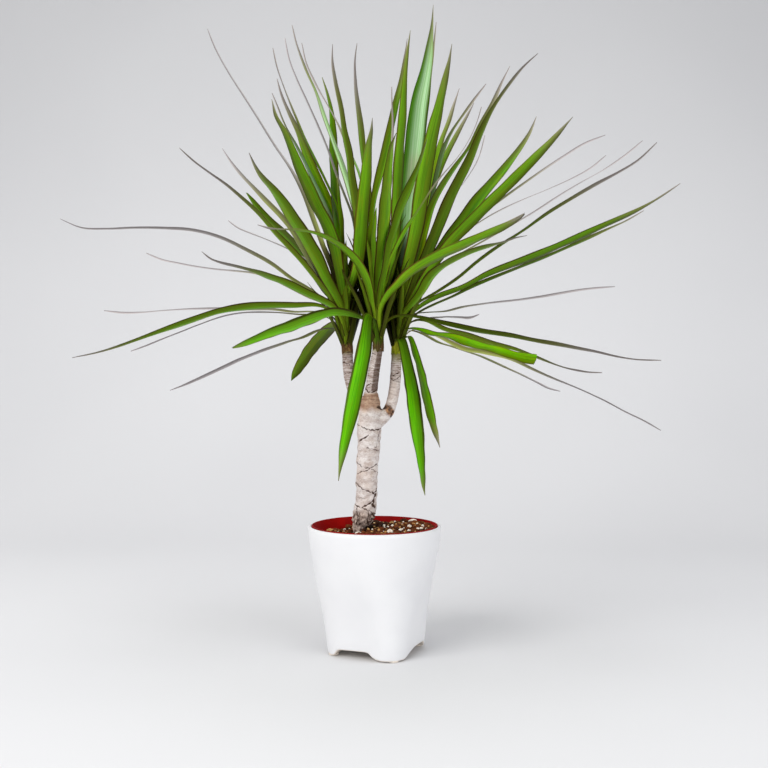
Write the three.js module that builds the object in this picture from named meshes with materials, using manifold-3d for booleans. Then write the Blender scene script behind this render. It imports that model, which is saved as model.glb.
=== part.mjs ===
// Potted dragon tree (Dracaena marginata): a white cachepot on four corner feet,
// the plastic nursery pot inside it, the bark mix, one woody cane with three
// branches, and the sword-shaped leaves of the three crowns.
// Millimetres, +Z up. The origin is on the pot's axis at the level it stands on.
import * as THREE from "three";
import { mergeVertices } from "three/addons/utils/BufferGeometryUtils.js";
import Module from "manifold-3d";

const wasm = await Module();
wasm.setup();

// ---------------------------------------------------------------- dimensions
const GAP = 0.3; // between pieces that touch

// cachepot: round at the rim, a rounded square at the base
const POT_HEIGHT = 121.6;
const POT_WALL = 3.7;
const POT_FLOOR_Z = 11; // top of its floor
// undersides of the openings between the feet, [distance along the face, height]:
// the pair of faces that holds the front left one, + towards the front corner,
// then the other pair, + towards the back
const ARCH_FRONT = [
  [-28, 1.3], [-25.6, 3.1], [-23, 6.0], [-20, 7.5], [-14, 7.8], [-4, 8.1], [6, 8.2],
  [9, 7.5], [11, 5.8], [13.2, 3.9], [16.5, 2.2], [21, 1.3],
];
const ARCH_SIDE = [
  [-23, 1.3], [-18.5, 2.2], [-14, 3.7], [-9.4, 5.3], [-4.5, 6.6], [1, 7.2], [10, 7.4],
  [18, 7.4], [21.5, 6.6], [24.5, 4.4], [28, 1.3],
];
const FOOT_PAD_RADIUS = 5;
const FOOT_PAD_HEIGHT = 1.3;
const FOOT_RADIUS = 43.6; // pad centre from the middle of the base
const BASE_SHIFT_X = 1.8; // the base stands a little to the right of the rim
const BASE_SHIFT_TOP = 80; // height where the shift has faded out
const CORNER_AZIMUTH = -68.5; // degrees, the front corner of the square base
const POT_SIDES = 48;
// height, half-width of the square, corner radius over half-width
const POT_PROFILE = [
  [0, 39.2, 0.44],
  [13.5, 41.5, 0.5],
  [28, 43.6, 0.57],
  [47.6, 47.9, 0.68],
  [67, 53.0, 0.8],
  [86.6, 58.1, 0.9],
  [106, 63.0, 0.975],
  [119, 64.9, 1],
  [121.6, 65.2, 1],
];

// nursery pot
const NURSERY_TOP_R = 61.1;
const NURSERY_BASE_R = 33;
const NURSERY_WALL = 1.3;
const NURSERY_TOP_Z = 122.2; // its lip stands just proud of the cachepot's rim
const DRAIN_RADIUS = 4;

// soil: low at the left, heaped up round the cane and to the right
const SOIL_LEFT_Z = 111.6;
const SOIL_CANE_RISE = 7.0;
const SOIL_RIGHT_RISE = 1.7;
const SOIL_BACK_DIP = 2.2;
const SOIL_MAX_Z = 120.9;
const SOIL_BUMP = 1.1;

// cane: [x, y, z, radius]
const TRUNK = [
  [-14.4, 0, 80, 6.8],
  [-14.4, 0, 104, 6.6],
  [-14.3, 0, 114, 6.7],
  [-13.9, 0, 119.7, 7.8],
  [-12.6, 0, 124.6, 9.3],
  [-10.6, 0, 130.5, 10.6],
  [-9.4, 0, 137, 10.4],
  [-8.4, 0, 145, 9.7],
  [-7.7, 0, 154.8, 9.9],
  [-7.9, 0, 164.5, 10.4],
  [-7.0, 0, 174.2, 9.9],
  [-7.0, 0, 184, 10.3],
  [-5.6, 0, 193.7, 9.7],
  [-5.5, 0, 203.5, 9.9],
  [-5.6, 0, 213.2, 10.9],
  [-4.6, 0, 224, 11.2],
  [-4.2, -0.4, 234, 10.4],
  [-4.0, -0.8, 243, 8.6],
  [-3.4, -1.6, 250, 6.6],
];
const BRANCH_LEFT = [
  [-7.5, 0.6, 223, 5.2],
  [-13.0, 1.4, 236, 5.6],
  [-17.6, 2.2, 245, 5.7],
  [-21.4, 3.0, 254, 5.6],
  [-24.0, 3.6, 263, 5.5],
  [-25.6, 4.2, 272.5, 5.4],
  [-26.4, 4.8, 282, 5.3],
  [-26.6, 5.0, 290.6, 5.1],
];
const BRANCH_CENTRE = [
  [-3.6, -1.2, 246, 6.2],
  [-2.6, -2.6, 253, 5.6],
  [-1.4, -4.2, 262, 5.4],
  [-0.2, -6.0, 271.5, 5.3],
  [1.2, -7.8, 281.5, 5.2],
  [3.2, -9.0, 293.2, 4.9],
];
const BRANCH_RIGHT = [
  [-4.0, 0.6, 214, 5.0],
  [1.5, 0.8, 220.8, 6.5],
  [7.4, 1.4, 226.2, 6.6],
  [12.6, 2.3, 231, 5.8],
  [15.8, 3.0, 238, 5.4],
  [17.9, 3.6, 246, 5.4],
  [19.4, 4.2, 255, 5.4],
  [20.4, 5.0, 266, 5.3],
  [20.9, 5.6, 277, 5.1],
  [21.4, 6.0, 288.6, 4.9],
];

// growing tips: bottom and top of the axis, radius at the bottom and the top
const HEARTS = {
  heart_left: [[-26.7, 5, 291.4], [-30.0, 5, 361.8], 5.0],
  heart_centre: [[3.5, -9, 295.6], [1.1, -9, 365.1], 5.0],
  heart_right: [[21.6, 6, 289.7], [27.0, 6, 361.9], 5.0],
};

// leaves: each row is a station along the midrib from the base to the tip,
// [x, y, z, azimuth and elevation of the blade's width in degrees, width]
const LEAF_THICKNESS = 0.9;
const LEAVES = {
  leaf_left_01: { tone: 1, rows: [[-32.7, 4.5, 301.5, -81, -18, 2.9], [-35.3, 0.1, 313.8, -74, -15, 3.3], [-39.9, -4.6, 326.9, -67, 2, 4.8], [-54.2, -7.1, 333.9, -80, 23, 7.4], [-76.9, -7.6, 333.8, -91, 29, 10.4], [-100.4, -6.7, 333.8, -93, 29, 12.5], [-125.2, -6.5, 331.8, -93, 25, 13.8], [-150.9, -7.4, 327.6, -93, 21, 13.8], [-175.8, -8.9, 319.6, -93, 19, 13.1], [-200.1, -11, 310.8, -92, 18, 11], [-224.2, -13.3, 302, -91, 17, 8.4], [-247.1, -15.7, 294.1, -90, 17, 5.9], [-268.6, -18, 287.8, -90, 23, 3.2], [-288.1, -20, 283.8, -92, 35, 0.8]] },
  leaf_left_02: { tone: 3, rows: [[-32, 7.9, 304.9, 56, -4, 2.4], [-35.3, 11.2, 315.9, 57, 0, 3], [-43.2, 15.3, 325.8, 66, 9, 4.4], [-59, 19, 330.3, 76, 13, 6.7], [-80.4, 23.6, 330.4, 75, 15, 9.6], [-101, 29.1, 333.1, 72, 15, 10.7], [-123.4, 36.1, 333.9, 71, 15, 12.6], [-147.4, 44.3, 335.5, 71, 15, 11.9], [-172.1, 52.8, 336, 71, 15, 11.2], [-197.1, 61.6, 336.2, 71, 16, 9.5], [-222.5, 70.6, 335.5, 71, 16, 7.6], [-247, 79.3, 334.4, 71, 21, 5.4], [-270.4, 87.6, 334.7, 67, 43, 3], [-291.4, 95, 337.5, -19, 83, 0.8]] },
  leaf_left_03: { tone: 3, rows: [[-31.6, 8.4, 299.8, -126, -4, 2.4], [-34.7, 10, 309.2, -123, -1, 3], [-42.8, 15.4, 313.9, -125, 5, 4.4], [-56, 25.4, 312.4, -129, 4, 6.6], [-73.3, 39.3, 305.7, -130, 2, 8.2], [-89.4, 53.2, 302.1, -131, 1, 9.8], [-106.7, 68.7, 297.3, -132, 1, 10.8], [-125.6, 85.7, 291.9, -133, 1, 9.5], [-144.9, 103.3, 285.8, -133, 2, 9.1], [-164.6, 121.3, 278.4, -134, 4, 9.5], [-184.7, 139.9, 270.9, -134, 8, 7.6], [-204.5, 157.7, 263.5, -135, 13, 5.4], [-223.7, 174.8, 256.8, -137, 24, 3], [-241.5, 190, 251.4, -142, 41, 0.8]] },
  leaf_left_04: { tone: 2, rows: [[-28.8, 10.4, 298.1, -162, 0, 3.4], [-29.7, 13.2, 305.5, -165, 0, 4.9], [-32.3, 23.2, 312.9, -161, 9, 5.6], [-36.9, 39.6, 317.9, -157, 31, 8], [-42.8, 59.1, 318.7, -162, 40, 10.4], [-48.9, 74.7, 316.1, -165, 35, 12.5], [-55.7, 90, 310.6, -166, 31, 13.9], [-63, 104.6, 304.9, -168, 33, 13.9], [-69.8, 117.5, 298.4, -172, 34, 13.9], [-76.3, 128.5, 291.5, -174, 32, 13.4], [-81.8, 137.6, 283.7, -175, 29, 12.3], [-87.2, 144.2, 276.2, -173, 27, 10.8], [-91.8, 148.4, 268.9, -161, 24, 7.1], [-95.7, 150, 262.4, -138, 16, 0.8]] },
  leaf_left_05: { tone: 3, rows: [[-32.8, 5.1, 308.2, -92, 0, 2.9], [-36.4, 5.2, 321.2, -88, 1, 3.6], [-44.3, 5.5, 335.8, -84, 6, 5.2], [-59.6, 5.9, 349.1, -82, 13, 6.9], [-81.2, 6.5, 361.6, -81, 16, 9.6], [-101.9, 7.1, 376.7, -82, 15, 11.4], [-125.6, 7.8, 390, -85, 13, 12.6], [-151.5, 8.5, 402.4, -88, 10, 12.9], [-179.4, 9.2, 410, -90, 7, 12.4], [-208.4, 10, 411.9, -91, 4, 11.2], [-237.2, 10.8, 412.4, -92, 4, 9], [-264.7, 11.6, 411.8, -91, 7, 6.4], [-290.1, 12.3, 413.2, -88, 18, 3.5], [-311, 13, 421.9, -76, 33, 0.8]] },
  leaf_left_06: { tone: 1, rows: [[-29.9, 0.3, 309.9, -25, -3, 3.4], [-31, -3, 317.7, -22, 1, 3.9], [-34, -9.6, 325.6, -23, 11, 5.6], [-40.5, -18.9, 332.6, -30, 22, 7.7], [-50.7, -30, 337.7, -35, 25, 9.6], [-61.6, -40, 342, -38, 20, 11.7], [-72.9, -51.3, 346.7, -38, 15, 12.5], [-84.1, -64.3, 351.3, -38, 11, 12.3], [-95.5, -78.2, 354.6, -37, 8, 11.5], [-106.4, -92.9, 357.5, -35, 6, 10.3], [-116.9, -108.1, 359.2, -34, 5, 8.1], [-126.5, -123, 360.2, -31, 2, 5.8], [-134.6, -137.3, 362.6, -26, -1, 3.2], [-140, -150, 367, -23, 1, 0.7]] },
  leaf_left_07: { tone: 3, rows: [[-28.6, 10.2, 306.6, 14, 10, 2.4], [-31, 11.4, 317.2, 23, 17, 3], [-37.3, 14, 328.1, 41, 22, 4.4], [-48.5, 18.9, 337.9, 56, 17, 6.2], [-65.6, 26.3, 345.4, 59, 12, 7.9], [-82.8, 35, 354.3, 59, 9, 9.1], [-101.1, 44.6, 364, 60, 8, 9.5], [-121.8, 55.2, 372.2, 61, 10, 9.6], [-144.1, 66.1, 376.3, 62, 13, 10.5], [-167.1, 77.3, 379.4, 62, 13, 9.5], [-190.3, 88.8, 383.7, 61, 12, 7.6], [-212.8, 99.9, 388.9, 60, 15, 5.4], [-233.9, 110.6, 394.6, 51, 33, 3], [-252.2, 120, 402.6, 1, 66, 0.8]] },
  leaf_left_08: { tone: 2, rows: [[-30.9, 9, 315, 38, 2, 3.4], [-32.5, 10.3, 324.2, 33, 4, 3.9], [-35.7, 14.1, 333.2, 26, 9, 5.7], [-41.3, 21.4, 342.2, 23, 15, 8], [-49.2, 31.9, 352.1, 25, 14, 10], [-57.5, 42.8, 364.6, 28, 8, 11.9], [-66.2, 54.9, 378.6, 30, 7, 13.2], [-76.3, 68.2, 393, 30, 10, 13.3], [-87.9, 82, 407.1, 29, 15, 12.7], [-100.6, 96.2, 420.8, 26, 21, 11.5], [-113.9, 110.7, 434.6, 18, 29, 9.1], [-126.3, 124.7, 448.8, 7, 35, 7.3], [-137, 138.1, 463.1, 0, 37, 4.9], [-147.1, 150, 476, -1, 38, 0.9]] },
  leaf_left_09: { tone: 2, rows: [[-31.9, 2, 313.3, -53, -2, 2.9], [-33.8, 0.1, 322.7, -52, 4, 3.6], [-38.7, -1.5, 334.1, -53, 12, 5.2], [-47, -3.1, 347.1, -54, 14, 7.4], [-58.2, -7.1, 361.1, -56, 11, 9.6], [-70, -11.9, 375.3, -60, 7, 11.4], [-83.3, -17.4, 389.3, -63, 4, 12.5], [-96.9, -23.3, 404.1, -65, 1, 12.6], [-110.1, -29.5, 418.8, -66, -1, 11.8], [-124.3, -35.9, 432, -68, -2, 11.2], [-138.9, -42.4, 444.3, -68, -2, 9], [-153.5, -48.7, 454.5, -66, 0, 6.4], [-166.9, -54.7, 463.9, -59, 6, 3.5], [-177.4, -60, 473.9, -47, 18, 0.8]] },
  leaf_left_10: { tone: 3, rows: [[-32.9, 5.4, 316.7, 84, -6, 2.9], [-35.6, 6.6, 326.8, 78, -9, 3.6], [-39.9, 10.4, 337.7, 67, -12, 5.2], [-46.9, 16.8, 349.3, 59, -12, 7.6], [-56, 26, 362.6, 58, -11, 10.1], [-64.7, 34.5, 379, 59, -10, 12.4], [-74.2, 43.9, 396.9, 57, -9, 13.9], [-85, 54.3, 415.8, 55, -5, 14.3], [-98.5, 65, 433.4, 54, -1, 14.1], [-113.9, 76.1, 450.2, 52, 2, 12.3], [-129.4, 87.4, 467.4, 51, 4, 9], [-144.6, 98.3, 484, 49, 4, 6.4], [-157.8, 108.7, 501, 46, 4, 3.5], [-168.4, 118, 517.3, 42, 6, 0.8]] },
  leaf_left_11: { tone: 1, rows: [[-28.8, 0.1, 318.4, -11, 7, 3.4], [-30.2, -1.5, 327.5, -11, 11, 5.8], [-33.8, -6.6, 336.9, -12, 15, 8.4], [-38.8, -16.4, 346.7, -11, 17, 9.7], [-44.7, -30.3, 356.9, -12, 13, 11.1], [-50.4, -44.5, 368.5, -17, 6, 13.5], [-56.7, -60.4, 379.9, -21, 0, 15.1], [-63.3, -77.9, 391.2, -22, -4, 15.4], [-70.1, -95.9, 401.4, -23, -5, 15], [-76.2, -114.5, 411.1, -23, -6, 13.2], [-82.9, -133.5, 419.5, -23, -7, 10], [-89.5, -151.8, 426.3, -21, -11, 7.1], [-94, -169.4, 433.1, -20, -19, 3.9], [-96.4, -185, 439.4, -21, -28, 0.8]] },
  leaf_left_12: { tone: 3, rows: [[-32.7, 6.6, 324, 70, 0, 2.9], [-34.8, 7.3, 337, 66, 0, 3.6], [-37.4, 8.4, 353.1, 62, 2, 5.2], [-43, 10.4, 372.4, 59, 4, 7.4], [-51.3, 13.4, 394.7, 59, 4, 9.7], [-60.5, 16.7, 419.6, 63, 2, 11.6], [-70.1, 20.5, 446.2, 68, 1, 12.8], [-83.8, 24.6, 472.3, 73, 1, 12.9], [-100.8, 28.9, 497.7, 75, 0, 12.4], [-116.7, 33.3, 524.1, 75, 0, 11.2], [-133.3, 37.8, 550.4, 75, 0, 9], [-149.2, 42.1, 575.6, 73, 0, 6.4], [-162.7, 46.3, 600.2, 62, 4, 3.5], [-172.2, 50, 623.6, 40, 12, 0.8]] },
  leaf_left_13: { tone: 1, rows: [[-29.4, 0.4, 325.6, -14, 2, 3.4], [-30.1, -1, 334.3, -12, 1, 5.3], [-31, -5, 345.1, -9, 2, 8], [-32.6, -12.7, 358.1, -8, 2, 9.4], [-35, -23.8, 372.8, -13, 0, 10.9], [-38.1, -35.4, 388.5, -21, -1, 13.1], [-43.8, -48.3, 403.9, -27, -1, 14.6], [-51.9, -62.6, 418.2, -30, -3, 14.7], [-58.8, -77.3, 432.7, -30, -7, 14.2], [-65.2, -92.5, 446.5, -30, -11, 12.9], [-70.3, -108, 460, -30, -14, 10.4], [-75.5, -123, 471.8, -31, -15, 7.9], [-81, -137.3, 481.9, -32, -21, 4.4], [-82.7, -150, 491.5, -39, -33, 0.9]] },
  leaf_left_14: { tone: 2, rows: [[-29.5, 9.6, 323.1, 16, 4, 3.4], [-30.9, 11.2, 336.1, 14, 2, 5], [-31.8, 13.9, 350.8, 11, -1, 6.8], [-32.2, 18.9, 367.6, 13, -2, 8.8], [-33.7, 26.3, 386.7, 21, -2, 9.4], [-37, 35, 407.8, 30, -2, 11.1], [-42.7, 44.6, 430.2, 36, 0, 12], [-52.3, 55.2, 453.2, 36, 4, 11.9], [-62.6, 66.1, 476.8, 33, 5, 11.3], [-72.7, 77.3, 501.1, 30, 6, 10], [-81.9, 88.8, 526.2, 32, 6, 7.9], [-92.8, 99.9, 549.6, 38, 4, 6], [-102.5, 110.6, 572.5, 39, 0, 3.5], [-108.5, 120, 594.2, 31, 1, 0.8]] },
  leaf_left_15: { tone: 3, rows: [[-27.6, 9.3, 331.8, -14, 0, 2.1], [-27.1, 11.9, 345.6, -6, -6, 2.5], [-24, 13.9, 361.4, 12, -13, 3.6], [-20.7, 18.1, 379.8, 37, -15, 5.1], [-19.2, 24.5, 401.3, 58, -14, 6.7], [-22.3, 32.4, 425.1, 66, -12, 8], [-30.9, 41.1, 449.7, 67, -11, 8.9], [-40.8, 50.8, 476.1, 67, -11, 8.9], [-49.9, 60.8, 503.5, 66, -11, 8.6], [-61, 71, 530.8, 66, -10, 7.8], [-72.7, 81.5, 558.4, 65, -9, 6.2], [-84.4, 91.7, 585.1, 61, -8, 4.4], [-93.8, 101.4, 611.2, 43, -2, 2.4], [-98.9, 110, 635.8, 2, 11, 0.8]] },
  leaf_left_16: { tone: 2, rows: [[-24.5, 3, 330.1, 64, -4, 2.9], [-22.7, 3, 343.4, 62, -9, 3.3], [-19.4, 5.3, 359.5, 59, -14, 4.8], [-16.1, 9.6, 378.7, 56, -15, 6.7], [-14.8, 15.2, 400.9, 54, -9, 8.7], [-16.6, 19.3, 425, 53, -2, 10.3], [-23.1, 23.9, 450.4, 54, 1, 11.3], [-31.4, 29, 477, 56, 2, 11.3], [-41, 34.2, 503.6, 60, 0, 10.8], [-50.3, 39.6, 530.8, 64, -2, 10.4], [-59.9, 45.1, 558, 65, -2, 7.5], [-71.4, 50.4, 583.4, 62, 0, 5.9], [-80.5, 55.5, 607.9, 51, 2, 3.2], [-86.2, 60, 630.9, 30, 8, 0.8]] },
  leaf_left_17: { tone: 1, rows: [[-33.1, 5.8, 335.2, 80, 2, 3.4], [-35.2, 5.8, 346.7, 71, 2, 7.9], [-37, 6.1, 359.2, 57, 0, 8], [-37.8, 7.4, 373.3, 44, -9, 8.4], [-37.1, 13.3, 389.9, 39, -17, 11], [-37.8, 24.3, 409.9, 42, -20, 13.3], [-40, 38.9, 432.1, 45, -21, 14.9], [-42.5, 54, 456.1, 47, -21, 15.1], [-44.2, 67.7, 480.5, 49, -20, 14.7], [-45.3, 80.2, 505.4, 49, -19, 13.3], [-46.2, 92.4, 530.5, 45, -17, 10.6], [-48.2, 104.1, 554.6, 40, -11, 7.1], [-53.3, 115.2, 577.4, 36, -4, 3.9], [-59.3, 125, 597.6, 34, -1, 0.8]] },
  leaf_left_18: { tone: 2, rows: [[-28.5, 0.9, 340.2, 8, -10, 3.4], [-26.7, -0, 350.4, 8, -18, 8.3], [-20.8, -1.1, 363.1, 6, -22, 8.8], [-15.1, -3, 378.6, -4, -13, 8.7], [-13.6, -6.1, 397, -21, -3, 9.7], [-16, -10.6, 416.4, -36, -1, 11.6], [-19.7, -15.7, 436.6, -45, -4, 12.7], [-23.1, -21.2, 457.6, -51, -7, 12.8], [-25.4, -26.9, 478.5, -56, -9, 12.3], [-29.2, -32.7, 498.9, -57, -9, 11.1], [-32.3, -38.7, 519, -57, -9, 9.3], [-36.3, -44.5, 537.6, -55, -8, 6.6], [-38.6, -50.1, 555, -53, -12, 3.5], [-38.2, -55, 570.5, -51, -14, 0.8]] },
  leaf_left_19: { tone: 2, rows: [[-27, 8.8, 338.6, -26, -9, 2.9], [-25.4, 7, 352.3, -19, -11, 3.3], [-21.4, 8.3, 366.5, -3, -16, 4.8], [-16.1, 17.2, 383, 20, -27, 7], [-11.1, 31.4, 402.6, 41, -30, 9.4], [-8.9, 45.6, 425.8, 49, -26, 11.6], [-8.6, 59.8, 450.9, 51, -22, 13.1], [-11, 74.7, 478.3, 51, -20, 13.5], [-14.1, 90, 506.8, 51, -20, 13.4], [-16.7, 105.6, 536, 51, -19, 12.1], [-20.4, 121.6, 565.9, 51, -19, 9.5], [-23.3, 137.1, 595.3, 50, -20, 5.9], [-24.3, 151.9, 623.6, 47, -21, 3.2], [-21.9, 165, 649.3, 42, -22, 0.8]] },
  leaf_left_20: { tone: 1, rows: [[-27.3, 0.8, 333.5, 19, -2, 3.4], [-26.4, -0.8, 342.4, 18, -5, 7.2], [-23.4, -5.6, 351.8, 17, -9, 7.7], [-19.1, -14.8, 361.8, 14, -8, 8.8], [-15.1, -27.9, 372.8, 13, 0, 11.2], [-13.1, -41.1, 385.2, 17, 10, 13.4], [-11.3, -55.9, 398.1, 21, 17, 14.8], [-9.7, -72.2, 410.9, 24, 22, 14.9], [-8.1, -89, 423.2, 25, 25, 14.3], [-6.1, -106.3, 434.7, 24, 27, 13], [-4.8, -124, 445.5, 22, 27, 10.4], [-3.1, -141.1, 455, 22, 29, 7.4], [-1.2, -157.5, 463.2, 25, 35, 4], [-0.1, -172, 470.2, 34, 46, 0.8]] },
  leaf_centre_01: { tone: 0, rows: [[2.5, -14.6, 302.4, 171, 8, 3.4], [1.4, -18.5, 311.5, 171, 28, 4.8], [-1.5, -31, 320.1, 168, 40, 7], [-5.5, -51, 319.8, 175, 32, 9.3], [-7, -74.6, 303.5, 178, 14, 11.4], [-8.1, -93.6, 288.8, 172, 0, 13.7], [-10.1, -112.2, 274, 166, -8, 15.2], [-12.4, -129.9, 259.2, 163, -10, 15.4], [-15, -145.5, 244.8, 160, -10, 14.9], [-17.6, -159, 231.2, 157, -10, 13.6], [-20.1, -170, 217.7, 154, -8, 11], [-22.7, -178, 205.4, 150, -6, 7.8], [-25, -183.1, 193.7, 140, -5, 4.2], [-26.4, -185, 183, 124, -5, 0.9]] },
  leaf_centre_02: { tone: 0, rows: [[-0.4, -13.1, 309.9, -41, 1, 3.1], [-2.3, -15.1, 315.4, -38, 2, 3.8], [-7.9, -22.1, 319.1, -36, 9, 5.6], [-16.8, -33.6, 321.7, -35, 19, 8.3], [-27.8, -47.4, 323.4, -40, 31, 11.1], [-38.6, -58.5, 322.8, -52, 41, 13.7], [-49.6, -69.4, 318.7, -64, 45, 15.6], [-60.8, -79.8, 313.9, -70, 45, 16.2], [-71.7, -88.9, 308.8, -71, 45, 15.5], [-82.8, -96.8, 304.9, -74, 43, 14.1], [-93.8, -103.2, 300.7, -82, 43, 11.3], [-103.9, -107.9, 296.2, -93, 46, 8.1], [-113.5, -110.9, 292.2, -112, 57, 4.4], [-122.5, -112, 289.3, -165, 71, 1]] },
  leaf_centre_03: { tone: 1, rows: [[-0.2, -13.2, 317.5, -35, 1, 3.4], [-1, -14.3, 325.6, -30, -2, 4.3], [-2.5, -18.3, 334.2, -23, -5, 5.7], [-4.2, -26.1, 343.6, -20, -7, 7.7], [-7.1, -37.4, 353.5, -26, -8, 9.9], [-12.3, -48.9, 363.9, -33, -7, 11.8], [-19.9, -61.7, 373.2, -36, -6, 12.9], [-29.5, -75.7, 380.9, -37, -5, 12.9], [-40.3, -90.3, 386.3, -38, -5, 12.4], [-51.9, -105.2, 388.9, -38, -4, 11.2], [-63.8, -120.5, 388.7, -37, 0, 8.8], [-74.8, -135.3, 387.4, -36, 5, 6.2], [-84.6, -149.4, 386.2, -34, 11, 3.4], [-92.6, -162, 386.9, -32, 19, 0.8]] },
  leaf_centre_04: { tone: 1, rows: [[2.9, -13.7, 328.8, 6, 3, 3.2], [2.6, -15.2, 337.5, 8, 3, 4], [2.7, -20.1, 346.7, 13, 6, 5.8], [3.8, -29.6, 356.2, 19, 13, 8.3], [5.6, -43, 366.3, 23, 19, 10.8], [7.4, -56.7, 377.7, 25, 22, 12.9], [9, -72, 389.3, 25, 25, 14.3], [10.1, -88.8, 400.9, 24, 28, 14.4], [11.1, -106.2, 411.9, 24, 31, 13.8], [11.9, -124.1, 422.3, 23, 32, 12.5], [12.7, -142.4, 431.8, 21, 31, 10], [13.8, -160.1, 440.3, 20, 30, 7.1], [15.4, -177, 447.4, 22, 31, 3.9], [18.6, -192, 453, 26, 35, 0.8]] },
  leaf_centre_05: { tone: 2, rows: [[1.6, -4.5, 332.5, 9, 4, 3], [0.3, -2.4, 346.1, 3, 6, 3.6], [-2, 1.2, 361.3, -9, 10, 5.2], [-3.7, 7.6, 378.8, -28, 14, 7.4], [-4.1, 16.8, 399.2, -45, 17, 9.8], [-2.6, 27.2, 422.6, -52, 17, 11.7], [0.3, 38.8, 447.9, -50, 14, 12.9], [5.7, 51.6, 474.8, -44, 11, 13.1], [11.6, 64.8, 502.6, -40, 8, 12.6], [17.2, 78.4, 531.3, -37, 8, 11.4], [22.4, 92.3, 560.7, -33, 5, 9.2], [28.4, 105.7, 589.1, -29, 3, 6.5], [32.3, 118.6, 616.7, -31, 6, 3.5], [35, 130, 642, -42, 12, 0.8]] },
  leaf_centre_06: { tone: 1, rows: [[5.9, -11.4, 336.3, 60, -6, 3.4], [8.9, -11.9, 346.3, 54, -10, 5.9], [14.5, -12.9, 358.4, 42, -11, 7.2], [18.7, -14.7, 374.7, 32, -4, 8.2], [20.4, -17.5, 394.2, 30, 1, 10.3], [21.4, -21, 415, 35, 3, 12.3], [22.5, -24.8, 436.9, 40, 5, 13.5], [23.7, -29.1, 459.7, 43, 5, 13.6], [25.1, -33.4, 482.3, 45, 5, 13], [26.9, -37.9, 504.7, 46, 6, 11.7], [27.9, -42.5, 526.7, 47, 7, 9.3], [29.3, -47, 547.3, 49, 5, 6.4], [31.4, -51.2, 566.2, 50, 5, 3.5], [33.3, -55, 583, 49, 5, 0.7]] },
  leaf_centre_07: { tone: 1, rows: [[3.9, -13.6, 325, 14, 7, 3], [4, -17.6, 332.7, 14, 9, 3.6], [4.7, -27.9, 341.4, 19, 15, 5.2], [6.9, -41.7, 350.9, 30, 23, 7.4], [10.1, -54, 361.7, 46, 23, 9.7], [12.9, -60.9, 374, 53, 19, 11.6], [15.8, -69.4, 386.7, 49, 20, 12.8], [19.5, -79.2, 399.4, 46, 15, 12.9], [23.7, -86.4, 412.2, 44, 9, 12.4], [28.8, -94.8, 424.2, 39, 11, 11.2], [34.1, -106, 435.1, 36, 15, 9], [38.6, -117.8, 445, 36, 21, 6.4], [41.9, -129.5, 454, 35, 24, 3.5], [44.9, -140.1, 461.7, 33, 23, 0.8]] },
  leaf_centre_08: { tone: 1, rows: [[7.1, -11.2, 321.2, 64, -1, 2.4], [7.7, -11.4, 331, 62, 7, 3], [8.3, -14.9, 343.1, 59, 15, 4.4], [10.2, -21, 357.4, 59, 17, 6.3], [14.6, -29.2, 373, 61, 15, 8.3], [22.5, -37.4, 388.1, 62, 14, 9.9], [31.2, -46.5, 403.4, 62, 14, 11], [41.4, -56.5, 418.5, 62, 16, 11.2], [51.5, -66.9, 433.1, 62, 17, 10.8], [62.4, -77.5, 446.4, 62, 18, 9.8], [73.9, -88.5, 458.6, 61, 20, 7.9], [82.9, -99, 470.9, 58, 21, 5.6], [88.8, -109.1, 483.2, 48, 19, 3], [92, -118, 494.6, 30, 8, 0.8]] },
  leaf_centre_09: { tone: 1, rows: [[5.9, -13.3, 313.7, 34, 5, 3.4], [5.7, -14.6, 322.9, 29, 5, 5], [7, -18.9, 332.7, 26, -1, 6.5], [12.7, -27.3, 342, 30, -8, 8.4], [22.1, -39.3, 350.7, 34, -9, 11.1], [32.7, -51.5, 359.5, 37, -10, 13.5], [45, -65.1, 366.7, 38, -12, 15.1], [58.5, -80.1, 372.1, 38, -12, 15.4], [72, -95.6, 376.6, 37, -12, 15], [84.9, -111.5, 380.9, 36, -12, 13.8], [97.2, -127.8, 384.8, 33, -17, 10.7], [108.1, -143.6, 388.4, 29, -25, 7.3], [117.6, -158.6, 392.1, 24, -24, 3.9], [124.1, -172, 397.7, 26, -8, 0.8]] },
  leaf_centre_10: { tone: 2, rows: [[8.4, -10.7, 306.1, 72, 0, 2.6], [11, -11.5, 317, 70, -3, 3.3], [21.2, -14.5, 323.5, 72, -11, 4.8], [40.2, -20, 322.3, 76, -19, 7.1], [64.2, -27.7, 315.5, 77, -24, 9.8], [85.2, -35.3, 310.2, 75, -24, 11.1], [107.2, -43.8, 305.6, 73, -22, 12.2], [129.9, -53.1, 301.3, 71, -20, 13.1], [152.1, -62.6, 296.1, 70, -17, 12.7], [173.8, -72.5, 291.8, 68, -16, 10.4], [194.8, -82.6, 287.4, 67, -16, 8.3], [214, -92.4, 282.4, 66, -19, 5.9], [231.7, -101.7, 279.6, 65, -28, 3.2], [247.3, -110, 279.1, 64, -45, 0.8]] },
  leaf_right_01: { tone: 0, rows: [[21.5, 0.4, 296.2, -174, 0, 3.4], [23.6, -3.3, 301.6, -161, -14, 7.6], [26.8, -15.4, 298.6, -174, -28, 9], [29.7, -34.7, 284.6, -179, -24, 9.9], [32.3, -57.8, 266.2, -177, -8, 11], [33.5, -76.2, 254.9, -172, 7, 13], [34.4, -94.3, 243.3, -165, 17, 14.5], [35, -111.5, 231.4, -160, 22, 14.8], [36, -126.7, 220, -156, 23, 14.1], [37, -139.7, 208.8, -152, 23, 12.6], [38.3, -150.4, 198, -147, 22, 10.2], [39.4, -158.2, 187.7, -140, 18, 8.1], [40.4, -163.1, 178.1, -133, 10, 4.4], [41.9, -165, 169.4, -128, 4, 0.9]] },
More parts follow.
